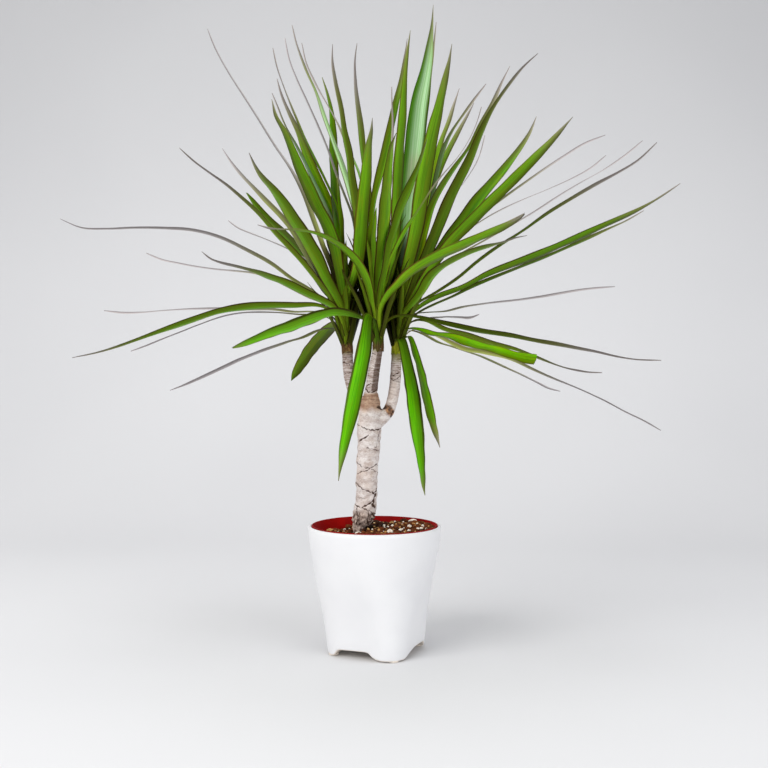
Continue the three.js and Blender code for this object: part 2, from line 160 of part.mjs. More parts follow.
  leaf_right_02: { tone: 1, rows: [[26.6, 2.5, 297.9, -133, -7, 3.4], [28.9, -0.1, 303.1, -148, -11, 4.8], [33, -9.2, 304.1, -162, 3, 5.8], [35.8, -24.1, 296.7, -159, 16, 7.4], [38.4, -41.7, 283.5, -153, 24, 9.6], [40.4, -55.6, 274.4, -149, 30, 11.5], [42.2, -69, 265.1, -146, 31, 12.6], [44.2, -81.9, 255.5, -146, 29, 12.7], [45.7, -93.3, 246.1, -147, 24, 12.1], [47.4, -103.1, 236.9, -150, 17, 10.9], [49.6, -111.1, 228, -152, 9, 8.8], [52, -116.9, 219.7, -152, 3, 6.5], [54.3, -120.6, 212, -145, -2, 3.6], [56.4, -122, 205, -134, -3, 0.8]] },
  leaf_right_03: { tone: 1, rows: [[24.2, 1.7, 335, -9, -8, 3.4], [25.6, 0.2, 345.8, -7, -11, 8.8], [28.6, -3.2, 359.2, -3, -14, 10.2], [32.4, -9.6, 375.2, 0, -14, 11.9], [37, -18.9, 393.1, 4, -11, 13.1], [41, -28.9, 411.4, 10, -5, 14.6], [44, -40.1, 430.4, 17, 2, 16.1], [47, -52.4, 449.7, 23, 6, 16.4], [50.3, -65.2, 468.5, 28, 9, 15.9], [54.1, -78.3, 486.3, 32, 12, 14.4], [58.3, -91.7, 503.2, 33, 14, 11.6], [61.7, -104.6, 518.6, 34, 17, 8.3], [64.6, -117, 532.5, 37, 22, 4.3], [66.2, -128, 544.6, 45, 29, 0.8]] },
  leaf_right_04: { tone: 4, rows: [[24.3, 9.8, 344.3, 20, -6, 3.4], [25, 10.9, 355.3, 17, -6, 9.5], [26.6, 11.2, 369.7, 11, -7, 10.2], [28.7, 11.5, 387.9, -2, -7, 11.2], [31.3, 12.3, 409.9, -19, -4, 14], [33.2, 14.9, 434, -30, -2, 16.9], [35.8, 17.7, 459.7, -29, -2, 18.8], [38.5, 20.8, 487, -21, -3, 19.1], [41.3, 24.1, 514.6, -11, -5, 18.6], [44.8, 27.4, 542.4, -11, -8, 17], [50.7, 30.8, 569.8, -21, -7, 13.4], [55.1, 34.1, 596.2, -36, -2, 9.1], [58, 37.2, 621.3, -51, 3, 5], [59.2, 40, 643.9, -66, 5, 0.9]] },
  leaf_right_05: { tone: 2, rows: [[27.5, 9.6, 341.2, -28, 4, 3.4], [30.6, 16.7, 350.7, -26, 4, 4.1], [33.5, 24.8, 361.3, -27, 5, 4.8], [37.4, 35.3, 374.2, -32, 8, 6.8], [42.5, 47.3, 390.1, -41, 11, 9], [47.3, 56.8, 409.6, -49, 11, 10.9], [52, 66.5, 430.8, -53, 13, 12.2], [56.6, 76.8, 453.6, -54, 14, 12.4], [61.8, 87.6, 477, -53, 14, 12], [67.1, 99.5, 501.2, -48, 13, 11], [72.8, 112.4, 525.9, -42, 8, 8.8], [81.1, 125.5, 549.2, -36, 4, 6.3], [87.8, 138.4, 572.1, -33, 3, 3.4], [94.2, 150.1, 592.9, -35, 4, 0.8]] },
  leaf_right_06: { tone: 2, rows: [[22.1, 9.8, 329.9, 33, -5, 3.4], [22.4, 11, 341.9, 25, -13, 3.6], [26.9, 13.3, 355.2, 5, -24, 4.4], [34.5, 17.4, 370.1, -24, -17, 6.3], [42.9, 23.4, 387.7, -43, -2, 8.2], [48.6, 30.5, 407.7, -53, 7, 9.8], [54.4, 38.4, 429.5, -58, 10, 10.8], [60.1, 47, 453, -59, 12, 10.9], [65, 55.9, 477.2, -58, 11, 10.5], [71.1, 65.1, 501.5, -56, 8, 9.5], [81.3, 74.5, 524.6, -53, 1, 7.6], [94.1, 83.6, 545.5, -49, -5, 5.4], [107, 92.3, 564.9, -35, -16, 3], [119.1, 100, 582.3, -6, -33, 0.8]] },
  leaf_right_07: { tone: 2, rows: [[28.1, 9.2, 343.4, -36, 4, 3.4], [30, 12.7, 350.8, -33, -1, 4], [33.7, 17.2, 358.8, -33, -4, 4.4], [38.4, 23.2, 369.6, -36, -1, 6.3], [43.6, 30.4, 383.8, -42, 4, 8.2], [48.4, 37.8, 402, -47, 9, 9.8], [52.7, 47, 422.1, -50, 13, 10.8], [57.1, 57.5, 443.9, -50, 13, 10.9], [62.5, 68.7, 466.2, -48, 10, 10.5], [70.1, 80.2, 488.4, -43, 4, 9.5], [79.6, 92, 510.3, -32, -5, 7.6], [89.5, 103.4, 531.2, -20, -15, 5.4], [99.4, 114.3, 551, -17, -18, 3.3], [108.4, 124, 569, -30, -9, 0.8]] },
  leaf_right_08: { tone: 2, rows: [[28, 3.2, 326.6, 55, -7, 3.4], [31.9, 2.1, 337.4, 49, -10, 8.1], [37.7, 0.5, 351.3, 37, -13, 9.3], [44.3, -1.7, 368.8, 23, -17, 10.1], [52.9, -5.1, 388.6, 17, -18, 10.9], [61.4, -9.2, 409.3, 24, -16, 12.1], [70.7, -14, 431, 34, -13, 13.1], [81.3, -19.3, 452.9, 43, -11, 12.8], [92.2, -24.8, 474.5, 51, -6, 12.9], [101.8, -30.5, 496.4, 59, -1, 11.7], [112, -36.3, 517.4, 65, 1, 9.8], [124.3, -41.9, 535.4, 66, -1, 7.1], [137.3, -47.2, 551, 63, -6, 3.9], [150.7, -52, 562.8, 59, -14, 0.8]] },
  leaf_right_09: { tone: 2, rows: [[27.7, 9.3, 328.3, -46, -22, 3.4], [31.6, 6.2, 340.5, -40, -18, 6], [34.4, 3.7, 354.6, -35, -12, 6.9], [38.3, 4.2, 370.9, -35, -10, 7.4], [45.1, 8.3, 389.6, -38, -4, 9.6], [50.5, 14.9, 411.4, -43, 2, 11.4], [57.4, 24, 435, -46, 4, 12.5], [69.1, 37, 459.3, -49, 5, 12.6], [83.9, 52.1, 483.2, -53, 6, 12], [99.8, 66.6, 507.4, -54, 6, 9.9], [112.5, 79.2, 533.8, -50, 1, 8.8], [125.3, 89.9, 558.5, -42, -4, 6.2], [135.8, 99.6, 582.8, -39, -6, 3.5], [146.1, 108, 604.4, -43, -5, 0.8]] },
  leaf_right_10: { tone: 1, rows: [[26.6, 10.1, 323.2, -33, -5, 3.4], [29.5, 12.5, 335.2, -33, -15, 8.1], [37.8, 16.6, 345.9, -29, -24, 9.5], [46.8, 22.2, 358.9, -16, -25, 10.4], [56.2, 30.3, 374.9, -10, -25, 11.6], [66.8, 39.7, 393.1, -15, -25, 13], [79.8, 50.4, 412.1, -22, -23, 14.2], [94.1, 62.3, 432.3, -25, -22, 14.2], [108.8, 74.5, 453.2, -26, -23, 13.4], [125.2, 87.1, 473.5, -28, -24, 12.1], [141.8, 100, 494.5, -27, -22, 9.6], [157.2, 112.5, 515.3, -27, -19, 6.8], [170, 124.4, 536.5, -30, -11, 4], [179.2, 135, 557.1, -39, -2, 0.8]] },
  leaf_right_11: { tone: 1, rows: [[28.1, 3.6, 321.5, 62, -6, 3.4], [32, 2.7, 330.9, 55, -8, 7.9], [38.4, 0, 342.6, 42, -11, 9], [46.5, -5, 356.9, 31, -16, 9.4], [57, -12.2, 372.6, 29, -20, 10.5], [68.8, -19.5, 388.1, 35, -21, 12.4], [82.8, -27.7, 402.7, 40, -21, 13.6], [98.1, -36.7, 417, 41, -21, 13.4], [113, -46.1, 431.2, 38, -22, 12.6], [127.5, -55.6, 445.2, 33, -26, 11.2], [141.2, -65.4, 458.7, 25, -34, 9], [154.2, -74.9, 471.1, 17, -39, 6.4], [165.5, -84, 482.9, 23, -30, 3.8], [175, -92, 493.4, 46, -5, 0.7]] },
  leaf_right_12: { tone: 3, rows: [[20.7, 9.7, 319.8, -142, 20, 2.4], [23.4, 13.8, 333, -130, 31, 3], [32.4, 21.5, 347, -96, 35, 4.4], [45.3, 32.1, 363, -73, 20, 6.3], [60.9, 43.4, 381.4, -67, 10, 8.2], [75.1, 52, 401.2, -66, 3, 9.8], [93.3, 60.3, 420, -66, 0, 10.8], [114.7, 68.9, 438.3, -66, -2, 10.9], [137.2, 78.1, 456.3, -65, -4, 10.5], [160.7, 88.2, 474.1, -63, -5, 9.5], [184.6, 99.3, 492.3, -60, -7, 7.6], [208.7, 110.7, 509.2, -56, -14, 5.4], [232.2, 121.9, 524.6, -44, -36, 3], [255.1, 132.1, 535.5, 24, -67, 0.8]] },
  leaf_right_13: { tone: 3, rows: [[28.1, 8.3, 320.4, -65, -13, 2], [32.1, 7.5, 331.1, -66, -10, 2.5], [37.7, 8.3, 343.3, -65, -2, 3.6], [45.7, 12.8, 357.8, -65, 5, 5.1], [57.4, 20.7, 374.4, -66, 8, 6.7], [71.4, 29.7, 393.1, -66, 7, 8], [89.3, 39.5, 410.9, -66, 4, 8.9], [111, 49.6, 427, -66, 0, 8.9], [134.5, 59.8, 441.1, -66, -3, 8.6], [159.5, 70, 453.8, -66, -4, 7.8], [185.3, 80.3, 465.8, -66, -5, 6.2], [209.8, 90.2, 478.1, -63, -8, 4.4], [232.2, 99.6, 491.8, -49, -25, 2.4], [250.4, 108, 507.2, 3, -51, 0.8]] },
  leaf_right_14: { tone: 3, rows: [[28.3, 7.5, 314.8, -73, 0, 2], [32.6, 8.9, 327.9, -72, -1, 2.5], [40.9, 11.2, 342, -70, -1, 3.6], [51.8, 15.1, 358.6, -69, -2, 5.3], [68, 20.4, 375.1, -70, -4, 7.1], [88.4, 25.9, 390.1, -71, -6, 8.8], [112.2, 32.2, 404, -71, -6, 9.1], [137.4, 39.2, 419.2, -71, -6, 8.9], [163.2, 46.4, 434.8, -71, -5, 8.6], [188.6, 53.8, 452, -71, -5, 7.8], [214.8, 61.4, 468.5, -71, -5, 6.2], [240.4, 68.7, 483.7, -68, -9, 4.4], [263.5, 75.8, 500.1, -52, -26, 2.4], [283.1, 82, 516.6, 2, -50, 0.8]] },
  leaf_right_15: { tone: 1, rows: [[23.4, 1, 316.2, 1, -17, 3.4], [25.8, -0.1, 323.9, 7, -26, 5.8], [31.4, -4, 330.6, 20, -27, 7.2], [38, -11.7, 337.8, 25, -16, 8.2], [45.2, -23, 345.7, 27, -1, 10.8], [50.8, -34.7, 355.2, 32, 7, 13.3], [58.7, -47.7, 363, 36, 6, 14.9], [68.9, -62, 368.5, 36, 3, 15.3], [79.4, -76.9, 372.6, 36, 1, 15.1], [90.1, -92.1, 375.5, 35, 0, 13], [100.4, -107.7, 377.5, 34, 0, 9.2], [110.1, -122.8, 378.6, 32, 0, 6.6], [118.5, -137.2, 380, 31, -4, 3.7], [126, -150, 380.1, 30, -14, 0.8]] },
  leaf_right_16: { tone: 2, rows: [[27, 2.5, 315, 48, -11, 2.4], [31.1, 1.7, 326, 56, -17, 3], [41.8, 0.7, 337, 70, -18, 4.4], [59.8, -1.1, 347.1, 75, -13, 6.4], [80.3, -4, 360.3, 75, -7, 8.2], [99.1, -8.1, 375.6, 75, -4, 8.9], [119.7, -12.6, 390.4, 76, -3, 9.8], [142.1, -17.6, 404.6, 75, -3, 10.4], [163.9, -22.7, 419.4, 74, -5, 10.5], [186, -28, 432.8, 72, -7, 9.8], [208, -33.4, 445.5, 71, -10, 7.8], [229, -38.6, 456.8, 68, -13, 5.4], [247.5, -43.6, 468.6, 58, -20, 3], [261.4, -48, 482, 37, -32, 0.8]] },
  leaf_right_17: { tone: 1, rows: [[27.7, 3.5, 311.4, 60, 3, 3.4], [32.8, -0.1, 322.8, 62, -13, 5.2], [44.3, 0.6, 333.5, 74, -32, 6.8], [62.2, 5.5, 344, 83, -39, 7.6], [86.3, 11.2, 353.1, 84, -35, 9], [109, 14.6, 365, 83, -29, 10.8], [134.3, 17.7, 375.5, 85, -28, 12.9], [161.3, 20.8, 386.1, 84, -29, 13.5], [188.2, 24.1, 397.8, 82, -30, 13], [215.2, 27.4, 410.1, 82, -29, 11.9], [241.8, 30.8, 423, 82, -28, 8.9], [267.4, 34.1, 435.2, 80, -30, 6.6], [290.4, 37.2, 448.9, 72, -35, 3.6], [310.1, 40, 462.5, 61, -42, 0.8]] },
  leaf_right_18: { tone: 2, rows: [[28.1, 7.2, 309.7, -77, -2, 2.8], [32.6, 7.9, 319.9, -76, -3, 3.4], [42.9, 9.9, 328.7, -73, -6, 5], [58.4, 13.7, 336.8, -72, -10, 6.6], [78.5, 19, 345.7, -71, -12, 7.7], [98.7, 24.2, 355.6, -70, -12, 10.2], [120.9, 30.1, 365.3, -70, -11, 11.3], [144.7, 36.5, 375.4, -70, -11, 11.7], [169.1, 43.2, 385.4, -70, -12, 12], [193.4, 50, 396.5, -69, -12, 10.9], [217.9, 57, 408, -67, -14, 8.6], [241.4, 63.8, 419.2, -65, -18, 6.1], [263.6, 70.3, 430, -58, -28, 3.4], [282.7, 76, 441.3, -43, -42, 0.8]] },
  leaf_right_19: { tone: 3, rows: [[26.4, 10, 308, -43, -6, 2.2], [29.8, 11.9, 319.5, -47, -8, 2.7], [38.3, 17.1, 327.7, -54, -9, 4], [53.2, 26.7, 330.5, -55, -9, 5.7], [72.4, 40.2, 332.5, -53, -10, 7.4], [91.2, 54, 338.1, -52, -9, 8.9], [112.3, 69.3, 342.4, -52, -9, 9.8], [135.3, 86.3, 346.2, -52, -11, 9.9], [159.2, 103.7, 350.1, -52, -12, 9.6], [183.7, 121.7, 354.8, -51, -15, 8.6], [208.9, 140.1, 360.8, -50, -20, 6.9], [233.6, 157.9, 366.1, -50, -28, 4.9], [257.6, 174.9, 370.1, -47, -50, 2.7], [279.7, 190, 372.9, 55, -84, 0.8]] },
  leaf_right_20: { tone: 1, rows: [[26.7, 2.4, 304.7, -130, 6, 3.1], [28.7, 1.5, 310.5, -124, 2, 3.8], [34.3, -2.4, 312.6, -128, -9, 5.6], [43, -10.1, 310.4, -135, -13, 8.7], [54.2, -21.1, 305.4, -138, -15, 12.2], [64.5, -32.1, 303.6, -141, -16, 14.6], [74.5, -44.3, 300.7, -145, -15, 16.1], [84.3, -57.7, 296.1, -149, -16, 16.2], [94.2, -71.6, 291.9, -152, -21, 15.7], [104.5, -85.8, 289.8, -155, -30, 10.8], [113.5, -100.4, 286.1, -162, -47, 8.7], [121.8, -114.5, 282.8, -174, -66, 7.2], [129.3, -128, 280.3, 171, -78, 9], [135.9, -140, 279, 159, -83, 8.9]] },
  leaf_right_21: { tone: 3, rows: [[27.8, 6.9, 299.6, 98, 1, 2.9], [32.5, 7.4, 309.1, 96, -1, 3.3], [44.7, 8.9, 312.6, 100, -15, 4.4], [63.5, 11.9, 305.3, 110, -23, 6.4], [87.7, 16, 293.9, 110, -27, 7.9], [110.2, 20.1, 290, 107, -24, 8.9], [134, 24.6, 284.2, 107, -14, 9.1], [157.7, 29.6, 273.6, 104, -6, 9.9], [182, 34.7, 263.4, 103, -2, 10.5], [207, 40, 253.7, 102, 0, 9.5], [231.5, 45.4, 242.8, 102, 0, 7.6], [254.6, 50.6, 231.4, 104, -3, 5.4], [276.8, 55.6, 221.1, 113, -19, 3], [296.1, 60, 210.6, 140, -49, 0.8]] },
  leaf_right_22: { tone: 3, rows: [[25.6, 10.5, 301.3, 141, 10, 2.2], [28.7, 12.1, 309.3, 128, 9, 2.7], [36.6, 17.1, 311.6, 126, -4, 4], [49.1, 26.6, 308.2, 130, -4, 5.6], [64.8, 40.2, 300.7, 132, 0, 7.1], [79.2, 54, 297.1, 134, 2, 8.3], [94.8, 69.3, 292.7, 134, 4, 8.9], [111.8, 86.3, 288, 134, 6, 9.5], [129, 103.7, 281.8, 134, 7, 9.6], [146.6, 121.7, 275, 134, 6, 8.6], [164.8, 140.1, 268.3, 134, 3, 6.9], [182.5, 157.9, 260.9, 136, -4, 4.9], [199.3, 174.9, 254, 141, -28, 2.7], [215.7, 190, 250.3, 171, -75, 0.8]] },
  leaf_right_23: { tone: 2, rows: [[27.5, 8.3, 303, 114, 2, 2.2], [30.5, 9.2, 313, 110, -1, 2.7], [38.1, 12.3, 320.9, 111, -9, 4], [51.2, 18.4, 320.8, 118, -15, 6.7], [69.2, 26.8, 313, 121, -19, 8.7], [86.8, 35.2, 309, 121, -20, 10.4], [105.3, 44.5, 303.8, 122, -19, 11.5], [125.6, 54.8, 298.8, 121, -16, 9.1], [146.5, 65.5, 293.9, 120, -11, 8.8], [167.4, 76.4, 287.6, 119, -5, 8.6], [188.3, 87.6, 280.2, 118, -2, 6.9], [209.2, 98.5, 274.5, 119, -8, 4.9], [229.6, 108.8, 271.6, 120, -34, 2.7], [248.4, 118, 271.2, 153, -87, 0.8]] },
};

// ------------------------------------------------------------------ materials
const glazed = new THREE.MeshStandardMaterial({ color: 0xefeff2, roughness: 0.45, metalness: 0 });
const brick = new THREE.MeshStandardMaterial({ color: 0x7d160f, roughness: 0.5, metalness: 0 });
const bark = new THREE.MeshStandardMaterial({ color: 0x4a2413, roughness: 0.95, metalness: 0 });
const wood = new THREE.MeshStandardMaterial({ color: 0xcbbfb4, roughness: 0.9, metalness: 0 });
const young = new THREE.MeshStandardMaterial({ color: 0x6f8f2a, roughness: 0.5, metalness: 0 });
const BLADE_TONES = [
  [0x5ba102, 0.35], // bright, in full light
  [0x467805, 0.38], // mid green
  [0x34500f, 0.42], // dark green
  [0x7d7a72, 0.55], // grey-purple, seen edge-on or withering
  [0x7fa67a, 0.4], // pale mint
].map(([color, roughness]) => new THREE.MeshStandardMaterial({ color, roughness, metalness: 0 }));

// -------------------------------------------------------------------- helpers
function toSolid(geometry) {
  let g = geometry.clone();
  for (const name of Object.keys(g.attributes)) if (name !== "position") g.deleteAttribute(name);
  g = mergeVertices(g, 1e-4);
  const made = new wasm.Manifold(
    new wasm.Mesh({
      numProp: 3,
      vertProperties: new Float32Array(g.attributes.position.array),
      triVerts: new Uint32Array(g.index.array),
    }),
  );
  return made;
}

function fromSolid(solid) {
  const m = solid.getMesh();
  const g = new THREE.BufferGeometry();
  const v = new Float32Array(m.numVert * 3);
  for (let i = 0; i < m.numVert; i++) v.set(m.vertProperties.subarray(i * m.numProp, i * m.numProp + 3), i * 3);
  g.setAttribute("position", new THREE.BufferAttribute(v, 3));
  g.setIndex(new THREE.BufferAttribute(m.triVerts, 1));
  g.computeVertexNormals();
  return g;
}

// A closed stem: a capped cylinder whose rings are moved to [x, y, z, r] sections.
function stem(sections, sides) {
  const n = sections.length;
  const g = new THREE.CylinderGeometry(1, 1, 1, sides, n - 1);
  const p = g.attributes.position;
  const c = sections.map((s) => new THREE.Vector3(s[0], s[1], s[2]));
  const q = new THREE.Vector3();
  const up = new THREE.Vector3(0, 0, 1);
  for (let i = 0; i < p.count; i++) {
    const k = Math.round((p.getY(i) + 0.5) * (n - 1));
    const t = new THREE.Vector3()
      .subVectors(c[Math.min(k + 1, n - 1)], c[Math.max(k - 1, 0)])
      .normalize();
    const turn = new THREE.Quaternion().setFromUnitVectors(up, t);
    q.set(p.getZ(i), p.getX(i), 0).multiplyScalar(sections[k][3]).applyQuaternion(turn).add(c[k]);
    p.setXYZ(i, q.x, q.y, q.z);
  }
  g.computeVertexNormals();
  return g;
}

// Distance from the axis to a rounded square of half-width b and corner radius r.
function squareRadius(theta, b, r) {
  let a = ((theta % (Math.PI / 2)) + Math.PI / 2) % (Math.PI / 2);
  if (a > Math.PI / 4) a = Math.PI / 2 - a;
  const flat = b / Math.cos(a);
  if (flat * Math.sin(a) <= b - r) return flat;
  const c = (b - r) * Math.SQRT2;
  const d = Math.PI / 4 - a;
  return c * Math.cos(d) + Math.sqrt(Math.max(r * r - (c * Math.sin(d)) ** 2, 0));
}

function potSection(z) {
  const P = POT_PROFILE;
  let i = 0;
  while (i < P.length - 2 && z > P[i + 1][0]) i++;
  const f = Math.min(Math.max((z - P[i][0]) / (P[i + 1][0] - P[i][0]), 0), 1);
  return [P[i][1] + f * (P[i + 1][1] - P[i][1]), P[i][2] + f * (P[i + 1][2] - P[i][2])];
}

const CORNER = THREE.MathUtils.degToRad(CORNER_AZIMUTH);

function smoothstep(a, b, x) {
  const t = Math.min(Math.max((x - a) / (b - a), 0), 1);
  return t * t * (3 - 2 * t);
}

const baseShift = (z) => BASE_SHIFT_X * (1 - smoothstep(0, BASE_SHIFT_TOP, z));

// ------------------------------------------------------------------- cachepot
function coverPot() {
  // A lathe turned with unit radius per ring, then each ring is squared: the
  // profile's x is the distance inward from the outer wall as a negative number,
  // or a share of the radius on the floor and the underside.
  const outer = POT_PROFILE.map((p) => p[0]);
  const rings = []; // [share of the outer radius, inset, z]
  rings.push([0, 0, POT_FLOOR_Z]);
  rings.push([0.55, 0, POT_FLOOR_Z]);
  rings.push([1, POT_WALL + 2.4, POT_FLOOR_Z]);
  rings.push([1, POT_WALL + 0.7, POT_FLOOR_Z + 0.8]);
  rings.push([1, POT_WALL, POT_FLOOR_Z + 2.6]);
  for (const z of outer.slice(2, -2)) rings.push([1, POT_WALL, z]);
  rings.push([1, POT_WALL, POT_HEIGHT - 2.2]);
  rings.push([1, POT_WALL - 0.5, POT_HEIGHT - 0.6]);
  rings.push([1, POT_WALL - 1.5, POT_HEIGHT]);
  rings.push([1, 1.4, POT_HEIGHT]);
  rings.push([1, 0.4, POT_HEIGHT - 0.6]);
  rings.push([1, 0, POT_HEIGHT - 1.8]);
  for (const z of outer.slice(1, -2).reverse()) rings.push([1, 0, z]);
  rings.push([1, 0, FOOT_PAD_HEIGHT + 1.2]);
  rings.push([1, 0.8, FOOT_PAD_HEIGHT]);
  rings.push([0.55, 0, FOOT_PAD_HEIGHT]);
  rings.push([0, 0, FOOT_PAD_HEIGHT]);
  rings.reverse();
  const points = rings.map(([share, inset, z], i) => new THREE.Vector2(share * 10 - inset * 0.1, i));
  points[0].x = 0;
  points[points.length - 1].x = 0;
  const g = new THREE.LatheGeometry(points, POT_SIDES);
  const p = g.attributes.position;
  for (let i = 0; i < p.count; i++) {
    const k = Math.round(p.getY(i));
    const [share, inset, z] = rings[k];
    const theta = Math.atan2(p.getX(i), p.getZ(i));
    const [b, round] = potSection(z);
    const rad = share === 0 ? 0 : share * (squareRadius(theta - CORNER + Math.PI / 4, b, b * round) - inset);
    p.setXYZ(i, rad * Math.cos(theta) + baseShift(z), rad * Math.sin(theta), z);
  }
  let body = toSolid(g);

  // the arches between the feet: one opening through each pair of faces
  for (const [line, turn] of [[ARCH_FRONT, 0], [ARCH_SIDE, Math.PI / 2]]) {
    const shape = new THREE.Shape();
    shape.moveTo(line[0][0] - 0.4, -5);
    shape.lineTo(line[line.length - 1][0] + 0.4, -5);
    for (const [c, z] of [...line].reverse()) shape.lineTo(c, z);
    shape.closePath();
    const cut = new THREE.ExtrudeGeometry(shape, { depth: 120, bevelEnabled: false });
    cut.translate(0, 0, -60);
    cut.rotateX(Math.PI / 2);
    cut.rotateZ(CORNER + Math.PI / 4 + turn);
    cut.translate(BASE_SHIFT_X, 0, 0);
    body = body.subtract(toSolid(cut));
  }
  // a small round pad under each foot
  for (let i = 0; i < 4; i++) {
    const pad = new THREE.CylinderGeometry(FOOT_PAD_RADIUS, FOOT_PAD_RADIUS - 0.4, FOOT_PAD_HEIGHT + 1, 20);
    pad.rotateX(Math.PI / 2);
    pad.translate(
      FOOT_RADIUS * Math.cos(CORNER + (i * Math.PI) / 2) + BASE_SHIFT_X,
      FOOT_RADIUS * Math.sin(CORNER + (i * Math.PI) / 2),
      (FOOT_PAD_HEIGHT + 1) / 2,
    );
    body = body.add(toSolid(pad));
  }
  return fromSolid(body);
}

// ---------------------------------------------------------------- nursery pot
function nurseryPot() {
  const z0 = POT_FLOOR_Z + GAP;
  const z1 = NURSERY_TOP_Z;
  const w = NURSERY_WALL;
  const V = (r, z) => new THREE.Vector2(r, z);
  const g = new THREE.LatheGeometry(
    [
      V(0, z0),
      V(NURSERY_BASE_R - 1, z0),
      V(NURSERY_BASE_R, z0 + 1),
      V(NURSERY_TOP_R - 1.2, z1 - 3),
      V(NURSERY_TOP_R, z1 - 2.2),
      V(NURSERY_TOP_R, z1),
      V(NURSERY_TOP_R - w, z1),
      V(NURSERY_TOP_R - w - 1.1, z1 - 3),
      V(NURSERY_BASE_R - w, z0 + w + 0.6),
      V(0, z0 + w),
    ],
    POT_SIDES,
  );
  g.rotateX(Math.PI / 2);
  let body = toSolid(g);
  for (let i = 0; i < 4; i++) {
    const hole = new THREE.CylinderGeometry(DRAIN_RADIUS, DRAIN_RADIUS, 12, 12);
    hole.rotateX(Math.PI / 2);
    const t = (i * Math.PI) / 2;
    hole.translate(21 * Math.cos(t), 21 * Math.sin(t), z0);
    body = body.subtract(toSolid(hole));
  }
  return fromSolid(body);
}

// ----------------------------------------------------------------------- soil
function soilTop(x, y) {
  const bump =
    Math.sin(0.31 * x + 1.3) * Math.cos(0.27 * y - 0.4) +
    0.6 * Math.sin(0.61 * x - 0.5 * y + 2.1) +
    0.4 * Math.cos(0.83 * y + 0.35 * x);
  const heap =
    SOIL_LEFT_Z +
    SOIL_CANE_RISE * smoothstep(-36, -2, x) +
    SOIL_RIGHT_RISE * smoothstep(12, 42, x) -
    SOIL_BACK_DIP * Math.exp(-(((x - 8) / 16) ** 2) - ((y - 50) / 22) ** 2);
  return Math.min(heap + 0.5 * SOIL_BUMP * bump, SOIL_MAX_Z);
}

function soil() {
  const w = NURSERY_WALL + GAP;
  const zb = POT_FLOOR_Z + GAP + NURSERY_WALL + GAP + 0.4;
  const slope = (NURSERY_TOP_R - 1.2 - NURSERY_BASE_R) / (NURSERY_TOP_Z - 3 - (POT_FLOOR_Z + GAP + 1));
  const wall = (z) => NURSERY_BASE_R - w - 0.35 + slope * (z - (POT_FLOOR_Z + GAP + 1));
  const rings = [[0, zb], [wall(zb + 2) - 2, zb], [wall(zb + 2) - 0.5, zb + 2], [wall(60) - 0.5, 60], [-1, 1]];
  const inner = [0.9, 0.76, 0.62, 0.48, 0.34, 0.2, 0];
  const profile = [...rings.map((r) => r[0]), ...inner.map((s) => s * 50)];
  const g = new THREE.LatheGeometry(
    profile.map((r, i) => new THREE.Vector2(i === 0 || i === profile.length - 1 ? 0 : Math.abs(r) + 0.5, i)),
    POT_SIDES,
  );
  const p = g.attributes.position;
  for (let i = 0; i < p.count; i++) {
    const k = Math.round(p.getY(i));
    const theta = Math.atan2(p.getX(i), p.getZ(i));
    let r, z;
    if (k < 4) [r, z] = rings[k];
    else {
      const s = k === 4 ? 1 : inner[k - 5];
      const edge = wall(soilTop(56 * Math.cos(theta), 56 * Math.sin(theta)) - 0.8) - 0.6;
      r = s * edge;
      z = soilTop(r * Math.cos(theta), r * Math.sin(theta));
      if (k === 4) z -= 0.8;
    }
    p.setXYZ(i, r * Math.cos(theta), r * Math.sin(theta), z);
  }
  let body = toSolid(g);
  // the foot of the cane stands in it
  const foot = stem(
    TRUNK.slice(0, 4).map(([x, y, z, r], i) => [x, y, i === 0 ? z - GAP : z, r + GAP + 0.1]),
    16,
  );
  body = body.subtract(toSolid(foot));
  return fromSolid(body);
}

// ----------------------------------------------------------------------- cane
function cane() {
  let body = toSolid(stem(TRUNK, 16));
  for (const branch of [BRANCH_LEFT, BRANCH_CENTRE, BRANCH_RIGHT]) body = body.add(toSolid(stem(branch, 14)));
  return fromSolid(body);
}

// --------------------------------------------------------------------- hearts
function heart([a, b, r]) {
  const n = 9;
  const sections = [];
  for (let i = 0; i <= n; i++) {
    const f = i / n;
    const rr = f < 0.75 ? r + ((3 - r) * f) / 0.75 : 3 + ((0.6 - 3) * (f - 0.75)) / 0.25;
    sections.push([a[0] + f * (b[0] - a[0]), a[1], a[2] + f * (b[2] - a[2]), rr]);
  }
  return stem(sections, 12);
}

